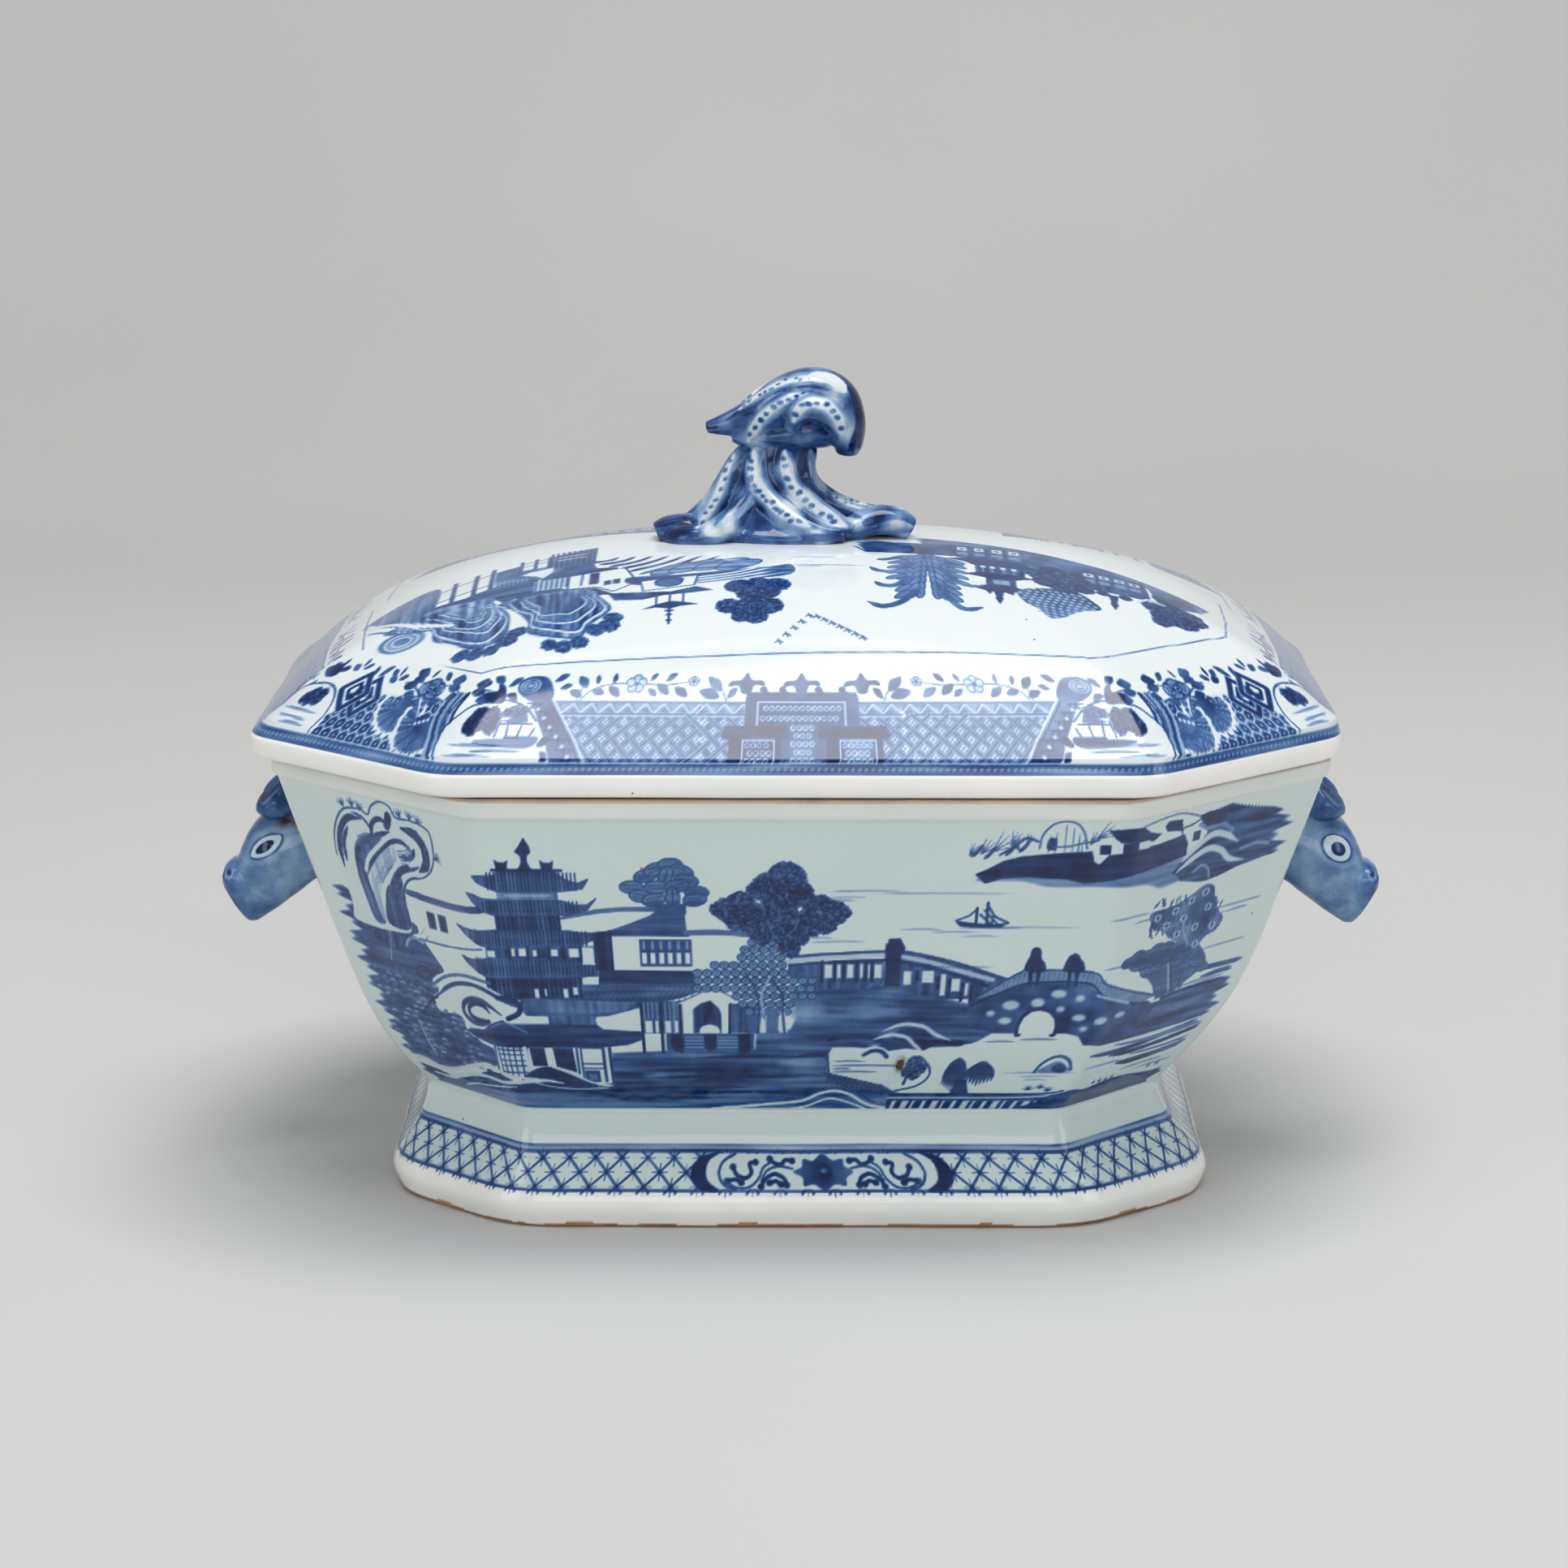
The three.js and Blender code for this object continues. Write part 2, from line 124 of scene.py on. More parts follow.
class Sheet:
    """A rectangle of cobalt tones over left..right and low..high, in mm."""

    def __init__(self, left, right, low, high, seed, step=SHEET_STEP):
        self.left, self.low, self.step = left, low, step
        shape = (int((high - low) / step) + 2, int((right - left) / step) + 2)
        self.tone = np.zeros(shape, np.float32)
        self.noise = {
            "blot": blurred_noise(shape, 9, 9, seed),
            "flat": blurred_noise(shape, 30, 2, seed + 1),
            "tall": blurred_noise(shape, 2, 24, seed + 2),
            "fine": blurred_noise(shape, 1, 1, seed + 3),
        }

    def window(self, points, reach):
        low = np.floor((points.min(0) - reach - (self.left, self.low)) / self.step).astype(int)
        high = np.ceil((points.max(0) + reach - (self.left, self.low)) / self.step).astype(int) + 1
        c0, r0 = np.maximum(low, 0)
        c1, r1 = np.minimum(high, self.tone.shape[::-1])
        if c1 <= c0 or r1 <= r0:
            return None
        x = self.left + np.arange(c0, c1, dtype=np.float32) * self.step
        y = self.low + np.arange(r0, r1, dtype=np.float32)[:, None] * self.step
        return (slice(r0, r1), slice(c0, c1)), x, y

    def lay(self, where, cover, tone, grain, amount, build):
        """Blends a tone in: over what is there, or built up on it like a second wash."""
        if grain:
            tone = np.clip(tone * (1 + amount * self.noise[grain][where]), 0, 1.1)
        under = self.tone[where]
        target = 1 - (1 - under) * (1 - np.minimum(tone, 1)) if build else tone
        self.tone[where] = under * (1 - cover) + target * cover

    def fill(self, points, tone, soft, grain, amount, build):
        found = self.window(points, soft)
        if found is None:
            return
        where, x, y = found
        inside = np.zeros((y.shape[0], x.shape[0]), bool)
        near = np.full(inside.shape, 1e9, np.float32)
        for (ax, ay), (bx, by) in zip(points, np.roll(points, -1, axis=0)):
            if ay != by:
                crossing = (ay > y) != (by > y)
                inside ^= crossing & (x < (bx - ax) * (y - ay) / (by - ay) + ax)
            near = np.minimum(near, segment_gap(x, y, ax, ay, bx, by)[0])
        depth = np.where(inside, np.sqrt(near), -np.sqrt(near))
        self.lay(where, np.clip(depth / soft + 0.5, 0, 1), tone, grain, amount, build)

    def stroke(self, points, radii, tone, soft, grain, amount, build):
        found = self.window(points, radii.max() + soft)
        if found is None:
            return
        where, x, y = found
        cover = np.zeros((y.shape[0], x.shape[0]), np.float32)
        for a, b, ra, rb in zip(points[:-1], points[1:], radii[:-1], radii[1:]):
            reach = max(ra, rb) + soft
            c0, c1 = np.searchsorted(x, [min(a[0], b[0]) - reach, max(a[0], b[0]) + reach])
            r0, r1 = np.searchsorted(y[:, 0], [min(a[1], b[1]) - reach, max(a[1], b[1]) + reach])
            if c1 <= c0 or r1 <= r0:
                continue
            gap, along = segment_gap(x[c0:c1], y[r0:r1], *a, *b)
            part = np.clip((ra + (rb - ra) * along - np.sqrt(gap)) / soft + 0.5, 0, 1)
            cover[r0:r1, c0:c1] = np.maximum(cover[r0:r1, c0:c1], part)
        self.lay(where, cover, tone, grain, amount, build)

    def read(self, x, y):
        """Tones at points, between the samples."""
        rows, cols = self.tone.shape
        c = np.clip((x - self.left) / self.step, 0, cols - 1.001)
        r = np.clip((y - self.low) / self.step, 0, rows - 1.001)
        c0, r0 = c.astype(int), r.astype(int)
        fc, fr = c - c0, r - r0
        top = self.tone[r0, c0] * (1 - fc) + self.tone[r0, c0 + 1] * fc
        bottom = self.tone[r0 + 1, c0] * (1 - fc) + self.tone[r0 + 1, c0 + 1] * fc
        return top * (1 - fr) + bottom * fr


def segment_gap(x, y, ax, ay, bx, by):
    """Squared distance from each sample to a segment, and how far along it is nearest."""
    dx, dy = bx - ax, by - ay
    along = np.clip(((x - ax) * dx + (y - ay) * dy) / max(dx * dx + dy * dy, 1e-9), 0, 1)
    return (ax + along * dx - x) ** 2 + (ay + along * dy - y) ** 2, along


class Pen:
    """Draws on a sheet through a placement: moved, scaled, turned or mirrored."""

    def __init__(self, sheet, matrix=np.eye(2), origin=(0.0, 0.0)):
        self.sheet, self.matrix, self.origin = sheet, np.asarray(matrix, float), np.asarray(origin, float)
        self.scale = math.sqrt(abs(np.linalg.det(self.matrix)))

    def at(self, x=0, y=0, wide=1, high=None, turn=0):
        high = abs(wide) if high is None else high
        c, s = math.cos(math.radians(turn)), math.sin(math.radians(turn))
        local = np.array([[c, -s], [s, c]]) @ np.diag([wide, high])
        return Pen(self.sheet, self.matrix @ local, self.origin + self.matrix @ (x, y))

    def place(self, points):
        return np.asarray(points, float) @ self.matrix.T + self.origin

    def fill(self, points, tone, smooth=False, soft=0.35, grain=None, amount=0.25, build=False):
        points = smooth_path(points, True) if smooth else np.asarray(points, float)
        self.sheet.fill(self.place(points), tone, soft, grain, amount, build)

    def line(self, points, width, tone, taper=(1, 1), smooth=True, soft=0.22, grain=None,
             amount=0.25, build=False):
        """A brush line: taper gives the width at its start and end as shares of width."""
        path = self.place(smooth_path(points) if smooth else points)
        s = np.linspace(0, 1, len(path))
        shape = np.minimum(1, np.minimum(taper[0] + s * 4, taper[1] + (1 - s) * 4))
        self.sheet.stroke(path, 0.5 * width * self.scale * shape, tone, soft, grain, amount, build)

    def box(self, left, right, low, high, tone, **options):
        self.fill([(left, low), (right, low), (right, high), (left, high)], tone, **options)

    def oval(self, x, y, rx, ry, tone, turn=0, **options):
        angle = np.linspace(0, 2 * math.pi, 15)[:-1]
        ring = np.stack([np.cos(angle) * rx, np.sin(angle) * ry], 1)
        c, s = math.cos(math.radians(turn)), math.sin(math.radians(turn))
        self.fill(ring @ np.array([[c, s], [-s, c]]) + (x, y), tone, **options)

    def ring(self, x, y, rx, ry, width, tone, turn=0):
        angle = np.linspace(0, 2 * math.pi, 17)
        ring = np.stack([np.cos(angle) * rx, np.sin(angle) * ry], 1)
        c, s = math.cos(math.radians(turn)), math.sin(math.radians(turn))
        self.line(ring @ np.array([[c, s], [-s, c]]) + (x, y), width, tone, smooth=False)


# ---- Brush motifs -------------------------------------------------------------------

DARK, DEEP, MID, PALE = 0.97, 0.82, 0.62, 0.22


def hatch(pen, left, right, low, high, gap, width, tone, lean=0.0):
    """Upright brush lines side by side."""
    for i in range(int(round((right - left) / gap)) + 1):
        x = left + i * gap
        pen.line([(x, low), (x + lean * (high - low), high)], width, tone, smooth=False)


def tiled_roof(pen, outline, left, right, low, high, gap=1.05):
    """A ribbed roof: its outline in mid blue and dark ribs between the eaves."""
    pen.fill(outline, 0.68, grain="tall", amount=0.2)
    hatch(pen, left, right, low + 0.2, high - 0.2, gap, 0.42, DARK)
    pen.line(outline + outline[:1], 0.35, DEEP, smooth=False)


def window_panes(pen, left, right, low, high, panes):
    pen.box(left, right, low, high, DEEP)
    middle = low + (high - low) * 0.55
    gap = (right - left) / panes
    for i in range(panes):
        x = left + (i + 0.5) * gap
        pen.box(x - gap * 0.3, x + gap * 0.3, low + 0.8, middle - 0.3, 0.03)
        pen.box(x - gap * 0.16, x + gap * 0.16, middle + 0.6, high - 0.5, 0.35)


def leafy_puffs(pen, puffs, tone=0.84, seed=1):
    """A clump of foliage with a bumpy dabbed edge: puffs are (x, y, radius)."""
    dabs = np.random.default_rng(seed)
    for x, y, r in puffs:
        pen.oval(x, y, r, r, tone, grain="fine", amount=0.35)
        for angle in np.arange(0, 2 * math.pi, 0.9 / r):
            reach = r + dabs.uniform(-0.25, 0.25)
            dab = (x + reach * math.cos(angle), y + reach * math.sin(angle))
            pen.oval(*dab, 0.5, 0.45, tone, grain="fine", amount=0.35)
    for x, y, r in puffs:
        for _ in range(int(5 * r)):
            angle, reach = dabs.uniform(0, 2 * math.pi), r * math.sqrt(dabs.uniform(0, 0.8))
            spot = (x + reach * math.cos(angle), y + reach * math.sin(angle))
            pen.oval(*spot, 0.32, 0.28, min(1, tone + 0.16))


def ringed_leaves(pen, spots, size=1.25):
    """Round leaves, each a pale disc with a dark rim and a dot."""
    for x, y in spots:
        pen.oval(x, y, size, size * 0.86, 0.4)
        pen.ring(x, y, size, size * 0.86, 0.42, DEEP)
        pen.oval(x, y + 0.1, 0.34, 0.3, DEEP)


def lobed_leaves(pen, spots, rx=3.3, ry=1.9):
    """Long lobes of foliage, outlined and veined."""
    for x, y, turn in spots:
        pen.oval(x, y, rx, ry, 0.6, turn=turn, grain="flat", amount=0.3)
        pen.ring(x, y, rx, ry, 0.4, DEEP, turn=turn)
        c, s = math.cos(math.radians(turn)), math.sin(math.radians(turn))
        for shift in (-0.5, 0.5):
            start = (x - 0.6 * rx * c, y - 0.6 * rx * s + shift)
            pen.line([start, (x + 0.6 * rx * c, y + 0.6 * rx * s + shift)], 0.3, DEEP)


def tuft(pen, x, y, size=2.4, blades=5, spread=100, aim=90, tone=DEEP, width=0.7):
    for i in range(blades):
        angle = math.radians(aim + spread * (i / (blades - 1) - 0.5))
        tip = (x + size * math.cos(angle), y + size * math.sin(angle))
        pen.line([(x, y), tip], width, tone, taper=(0.6, 0.2), smooth=False)


def willow(pen, x, y, drop, spread, strands=9, tone=DEEP):
    """Strands that rise from a crown and hang down."""
    for i in range(strands):
        share = i / (strands - 1) * 2 - 1
        top = (x + spread * share * 0.45, y + 1.2 * (1 - share * share))
        tail = (x + spread * share, y - drop * (0.75 + 0.25 * (1 - abs(share))))
        bend = (x + spread * share * 0.9, y - drop * 0.3)
        pen.line([(x, y - 0.5), top, bend, tail], 1.1, tone, taper=(0.5, 0.25))


def ripples(pen, lines, tone=PALE, width=0.8):
    for x0, x1, y in lines:
        middle = ((x0 + x1) / 2, y + 0.25)
        pen.line([(x0, y), middle, (x1, y + 0.1)], width, tone, taper=(0.2, 0.15), build=True)


# ---- The landscape round the bowl ------------------------------------------------------
# x runs round the bowl from the middle of its long side, reaching the canted corner
# at 88 and the end wall at 168; y is the height above the table.

def swirl_rock(pen):
    mass = [(-152, 90), (-151.5, 104), (-149.5, 110), (-146, 115.5), (-141, 119.6), (-134, 120.6),
            (-131, 119.4), (-128.5, 122.4), (-124, 124.5), (-120.4, 123.4), (-118.8, 120.6),
            (-113, 120.6), (-108, 119.8), (-105.2, 117.6), (-105, 111.5), (-107, 107), (-111, 104),
            (-116, 102.4), (-121, 100), (-123, 96), (-123.5, 88), (-128, 84), (-152, 84)]
    pen.fill(mass, 0.06, smooth=True)
    pen.line(mass[1:18], 0.55, DEEP, taper=(0.6, 0.5))
    body = [(-142.5, 86), (-144, 95), (-143.6, 101), (-141.5, 107.5), (-137.5, 111.6), (-131, 113.4),
            (-126, 111.6), (-131.5, 106.6), (-137, 103.2), (-139.6, 98), (-138.4, 92), (-137, 86)]
    pen.fill(body, 0.66, smooth=True, grain="tall", amount=0.3)
    core = [(-137, 86), (-135.4, 95), (-131, 100.5), (-125.6, 104.4), (-121.8, 107.8), (-123, 111),
            (-127, 110.6), (-131, 107.6), (-135.6, 103.4), (-138.6, 97), (-139, 90)]
    pen.fill([(-135.5, 86), (-134, 93), (-129.6, 98.4), (-124.6, 103.4), (-122.8, 101), (-124, 95),
              (-124.6, 86)], 0.78, smooth=True, grain="tall", amount=0.25)
    pen.fill(core, 0.2, smooth=True, grain="tall", amount=0.5)
    for i in range(12):
        x, y = -136.5 + i * 1.1, 98.5 + i * 0.85
        pen.line([(x, y - 1.6), (x + 0.9, y + 1.4)], 0.4, MID, taper=(0.3, 0.3))
    for start in ((-133, 98.5), (-131, 100.4), (-129, 102), (-127, 103.6)):
        pen.line([start, (start[0] + 3.4, start[1] + 3.4)], 0.7, 0.6, taper=(0.4, 0.3))
    dark = [
        ([(-149.6, 101), (-148.4, 107), (-145.4, 112.8), (-140.4, 117), (-134.5, 117.6)], 2.0),
        ([(-147.2, 103), (-145.6, 109), (-141.6, 114.2)], 1.3),
        ([(-142.6, 101), (-140.6, 106.4), (-135.4, 110.8), (-128.6, 113.6), (-123, 115.6)], 1.7),
        ([(-139, 100.4), (-135.4, 104.4), (-129.4, 109), (-123.6, 112.4), (-118.6, 113.2),
          (-114.4, 111)], 1.5),
        ([(-117.5, 117.6), (-112, 116.4), (-108.8, 112.6), (-109.2, 108), (-113, 105.2)], 3.0),
        ([(-121, 108.4), (-117, 108.6), (-114.6, 109.8), (-113.4, 112)], 1.6),
        ([(-126.8, 99), (-122.6, 103.6), (-117.6, 105.6), (-113, 106.6)], 2.2),
        ([(-131.6, 112), (-130.4, 116.4), (-127, 118.8), (-123.6, 118.4)], 1.5),
        ([(-124.2, 116.4), (-122.6, 119), (-121.8, 121.4)], 2.6),
        ([(-138, 119), (-134, 118.2), (-131.4, 115.4), (-131, 112)], 0.8),
        ([(-124.4, 92), (-123, 98), (-119, 101.8), (-113, 103.4)], 0.7),
        ([(-129, 90), (-127, 96), (-123, 100.6)], 1.6),
        ([(-133.6, 90), (-132.8, 94.6), (-130, 98.4)], 0.8),
    ]
    for points, width in dark:
        pen.line(points, width, 0.9, taper=(0.25, 0.2), grain="fine", amount=0.2)
    for k in range(5):
        lift = k * 0.9
        pen.line([(-138.5, 108 + lift), (-134, 110.4 + lift * 0.8), (-128.6, 111.4 + lift * 0.6)],
                 0.35, MID)
        pen.line([(-121.6 + k * 0.2, 110 - k * 0.9), (-117.6, 110.8 - k), (-115.2, 112.6 - k * 0.8)],
                 0.3, MID)
        pen.line([(-116 + k * 1.2, 117.8), (-112 + k * 0.9, 116.4 - k * 0.4)], 0.5, DEEP)
    pen.line([(-139.2, 101.4), (-136, 105.6), (-129.6, 110.2), (-123.4, 114), (-117.4, 115.2),
              (-112.6, 113.6), (-110.9, 110.6), (-112.6, 107.8), (-117, 106.6)], 1.5, 0.05)
    for x, y, aim in ((-141, 120.4, 110), (-137, 121, 90), (-134.2, 120.4, 70), (-117, 121, 105),
                      (-113, 121, 80), (-110, 120.4, 60), (-104.6, 110.5, 20)):
        tuft(pen, x, y, 2.6, 5, 90, aim, tone=0.78, width=0.8)


def boulder_bank(pen):
    bank = [(-172, 92), (-160, 96), (-152, 93.5), (-144, 91.5), (-124, 88.6), (-120.8, 85.6),
            (-124.6, 84), (-118.6, 82.4), (-114.6, 79), (-111.4, 75.4), (-116, 73.4), (-119.4, 71),
            (-117, 68.6), (-121, 65.6), (-119.6, 61.6), (-108, 61.8), (-106.4, 57.4), (-100, 54.6),
            (-93.4, 53), (-94.4, 48), (-101, 46.4), (-111, 45), (-121, 43), (-131, 40.6),
            (-146, 41.6), (-172, 44)]
    pen.fill(bank, 0.74, smooth=True, grain="flat", amount=0.22)
    pen.fill([(-150, 92), (-136, 90), (-124, 87), (-130, 80), (-140, 78), (-150, 82)], 0.8,
             smooth=True, grain="tall", amount=0.25)
    pen.line([(-129, 80.4), (-127, 82.4), (-123.6, 83.5), (-119.6, 82.6)], 1.2, 0.3)
    needles = np.random.default_rng(5)
    for row in range(15):
        y = 44.5 + row * 1.75
        left, right = -168 + needles.uniform(0, 3), -101 - max(0, y - 55) * 1.2
        for x in np.arange(left, right, 5.2):
            x += needles.uniform(-1.2, 1.2)
            length = needles.uniform(2.6, 4.6)
            tone = needles.choice([0.32, 0.45, 0.92, 0.9])
            pen.line([(x, y), (x + length / 2, y + 0.35), (x + length, y + needles.uniform(-0.2, 0.5))],
                     0.75, tone, taper=(0.3, 0.2))
    for row in range(9):
        y = 66 + row * 2.4
        for x in np.arange(-165, -125 + row * 0.8, 6.3):
            x += needles.uniform(-2, 2)
            pen.line([(x, y), (x + 3, y + 2.4)], 0.8, needles.choice([0.5, 0.9]), taper=(0.3, 0.2))
    pen.line([(-135.6, 44.6), (-136, 50), (-135.4, 56)], 1.0, 0.3)
    pen.ring(-123, 73, 3.4, 2.0, 0.8, DARK)
    pen.line([(-140, 74), (-137.4, 80), (-136.6, 84)], 0.7, 0.4)
    pen.line([(-131, 59), (-124, 63.6), (-118, 66.8)], 0.8, DARK)


def wall_with_windows(pen):
    pen.line([(-122, 97.7), (-112, 97), (-100, 96.7), (-91, 97.4), (-86, 98.6)], 2.1, 0.74,
             taper=(0.8, 1), grain="flat")
    pen.line([(-121, 83.6), (-108, 83.7), (-98, 84.4), (-90, 85.6)], 0.55, MID)
    for left, right in ((-114.6, -110.8), (-109.2, -105.4)):
        pen.box(left, right, 88, 93, 0.86, soft=0.6, grain="tall", amount=0.2)


def pagoda(pen):
    spire = [(-73.7, 120), (-72.2, 117.2), (-71.9, 115.6), (-73, 114.5), (-73, 112.6),
             (-72.3, 111), (-70.6, 110), (-77, 110), (-75.4, 111), (-74.7, 112.6), (-74.8, 114.4),
             (-76.4, 115.8), (-75.2, 117.3)]
    pen.fill(spire, 0.94)
    for x in (-80.3, -67.8):
        pen.fill([(x - 1.9, 113.4), (x - 1.3, 109.6), (x + 1.4, 109.6), (x + 1.9, 113.3),
                  (x + 0.9, 112.5), (x - 0.8, 112.6)], 0.95)
    pen.box(-82.4, -65.6, 99, 104.4, 0.5, grain="tall")
    pen.box(-84, -66, 90, 97, 0.86, grain="tall")
    pen.box(-88.5, -57.5, 82, 87, 0.88, grain="tall")
    pen.box(-90, -61.6, 70.4, 78, 0.84, grain="tall")
    hatch(pen, -83, -66.6, 91.6, 96.6, 1.3, 0.5, 1.0)
    hatch(pen, -89.4, -62.4, 71, 77, 1.35, 0.6, 1.0)
    roofs = [
        ([(-81, 110), (-66, 110), (-63, 107.4), (-60, 106.3), (-57, 107.6), (-58.8, 104.6),
          (-66, 103.7), (-82, 103.7), (-85, 104.9), (-88, 106.2), (-89.6, 108), (-87, 108.3),
          (-83, 108.6)], -84.6, -60, 104.2, 109.6),
        ([(-83, 101.3), (-65, 101), (-61, 99.7), (-58, 99.8), (-55.4, 101.7), (-58, 98.4),
          (-63, 96.6), (-84, 96.4), (-87.6, 97.6), (-91, 100.2), (-92.8, 102.6), (-90, 102.4),
          (-87, 101.4)], -87, -60.6, 97, 101),
        ([(-85, 92), (-64, 91.8), (-60, 91), (-53, 91.6), (-57, 89.2), (-61, 87.5), (-66, 86.5),
          (-86, 86.3), (-92, 87.1), (-97, 89.3), (-100.3, 91.7), (-97, 91.2), (-91, 91)],
         -92, -59, 87, 91.6),
        ([(-86, 83.6), (-64, 83.4), (-61.5, 82), (-57, 81), (-57, 78), (-66, 77.3), (-89, 77.1),
          (-94, 78.6), (-98, 80.6), (-100, 82.3), (-96, 81.8), (-91, 82.3)], -93, -58, 78, 83),
    ]
    for outline, left, right, low, high in roofs:
        tiled_roof(pen, outline, left, right, low, high)
    pen.line([(-83, 110.2), (-64, 110.2)], 0.8, DARK)
    pen.line([(-80, 102.6), (-68, 102.6)], 0.7, 0.25)
    for left, right, low, high in (
            (-88, -85.4, 83.5, 85.6), (-80.6, -79.6, 84, 86.4), (-78.6, -76.4, 84, 86.4),
            (-74.6, -73.4, 84, 86), (-69.6, -67.6, 84, 86.2), (-64.6, -61.7, 83.6, 86.4),
            (-61, -57.6, 81.4, 86.8), (-75.6, -74.3, 71, 74), (-72.7, -72, 71.6, 74),
            (-67.4, -66, 71, 74), (-64.6, -63.2, 72, 74.4), (-61.6, -57.2, 75, 76.6)):
        pen.box(left, right, low, high, 0.05)
    for x in (-81.2, -76, -70.2, -66, -61.3):
        pen.line([(x, 83), (x, 87)], 0.7, DARK, smooth=False)
    pen.box(-57.4, -52.2, 79.6, 91.2, 0.96, grain="tall", amount=0.1)


def scroll_mound(pen):
    """The curling white mound at the foot of the pagoda."""
    mound = [(-119.6, 61.6), (-118, 66.4), (-113.6, 69.6), (-107, 72.6), (-100, 74.4),
             (-92, 74.6), (-86, 72.4), (-81.6, 69), (-82.4, 65.4), (-86, 64), (-92, 62),
             (-97, 59.4), (-103, 59.6), (-107, 62.2), (-113, 63.4)]
    pen.fill(mound, 0.06, smooth=True)
    pen.line([(-118.4, 70.4), (-111, 73.8), (-103, 75.6), (-95, 75.8), (-88.6, 75.4)], 1.0, 0.6)
    pen.line([(-117.6, 67), (-112, 70.2), (-105.6, 72.5), (-98, 73.5), (-91, 72.8), (-85.4, 70.4),
              (-81, 68.4)], 1.3, DEEP, taper=(0.4, 0.8))
    pen.line([(-87, 71), (-83, 70.6), (-80.4, 68.6), (-81.4, 66), (-84.6, 64.4)], 1.5, DARK)
    pen.line([(-86.6, 65.4), (-90, 67.6), (-94.4, 69), (-100, 68.6), (-104.4, 66.4), (-105.2, 63.2),
              (-101.6, 61.2), (-96.4, 61.4), (-92.4, 62.8)], 1.7, DEEP, taper=(0.2, 0.8))
    pen.line([(-91.2, 65.6), (-93.4, 67.4), (-98, 67.6), (-101.8, 65.8), (-101.8, 63.4),
              (-98, 62.3), (-93.6, 62.8)], 1.5, DARK, taper=(0.3, 0.5))
    pen.oval(-97.2, 64.6, 3.6, 1.5, 0.06)


def pagoda_hall(pen):
    """The hall at the pagoda's foot, with its wide roofs, door and lattice."""
    wide_roof = [(-62, 75.2), (-46, 75.6), (-29.6, 75.6), (-29, 73), (-33.6, 71.2), (-39, 70),
                 (-48, 67.4), (-55, 65.4), (-62, 64.8), (-79, 65.4), (-81, 68.6), (-79.4, 71),
                 (-62, 71)]
    pen.fill(wide_roof, 0.72, grain="flat", amount=0.3)
    pen.fill([(-79, 70.6), (-80, 66.6), (-62, 66), (-50, 67), (-46, 70)], 0.56, grain="tall")
    for i in range(20):
        x = -60 + i * 1.5
        pen.line([(x, 70.4), (x + 2.6, 74.6)], 0.5, 0.92, taper=(0.4, 0.2))
    pen.box(-73, -59, 59.6, 65.2, 0.7, grain="tall")
    pen.fill([(-84.6, 63), (-82, 64.9), (-73, 64.9), (-73, 63)], 0.05)
    pen.fill([(-59.4, 64), (-55, 65.2), (-48, 67.4), (-45.4, 68), (-45.4, 60.6), (-56, 61.2),
              (-58.6, 62.6)], 0.05)
    low_roof = [(-107, 57.8), (-99, 59.4), (-93.6, 62), (-88.6, 64.4), (-84, 62.7), (-72, 62.7),
                (-59, 62.5), (-57, 61), (-46, 60.4), (-45, 58), (-50, 56), (-60, 54.8),
                (-80, 54.7), (-93, 54.8), (-102, 55.8)]
    pen.fill(low_roof, 0.88, grain="flat", amount=0.15)
    pen.line([(-92, 61), (-86, 63), (-80, 60)], 0.5, 0.4)
    pen.fill([(-55.4, 53.4), (-46, 55.2), (-40.4, 58), (-38.6, 57.8), (-38.6, 54.3), (-46, 54)],
             0.05)
    pen.box(-80.4, -55.6, 42.6, 54.8, 0.05)
    pen.box(-80.2, -75.8, 48.6, 54.8, 0.96)
    pen.fill([(-73.2, 54.8), (-67.2, 54.8), (-67, 46.4), (-73, 48.4)], 0.95)
    pen.line([(-66, 54.8), (-66.2, 46)], 0.7, DEEP)
    for low, high in ((54.6, 54.9), (49.2, 49.6), (47.6, 48)):
        pen.box(-65, -57.8, low, high, DEEP)
    pen.line([(-64.8, 54.6), (-65, 43.4)], 0.6, DEEP)
    pen.line([(-57.9, 54.6), (-58, 43.4)], 0.9, DEEP)
    pen.line([(-55.9, 54.8), (-55.8, 41)], 1.1, DEEP)
    pen.box(-64.4, -59.8, 43, 47, 0.85)
    pen.box(-63.4, -60.8, 43.8, 46, 0.6)
    pen.box(-94, -80.6, 44, 54.8, 0.1)
    pen.line([(-92.6, 54.8), (-95, 45)], 1.2, 0.6)
    for i in range(6):
        pen.line([(-91 + i * 2, 54.8), (-92 + i * 2.1, 45)], 0.45, DEEP)
    for y in (46, 48.4, 50.2, 52.2, 53.8):
        pen.line([(-91.6, y), (-82.4, y + 0.2)], 0.4, DEEP)
    pen.line([(-81.6, 54.8), (-81.4, 44)], 1.2, 0.1)


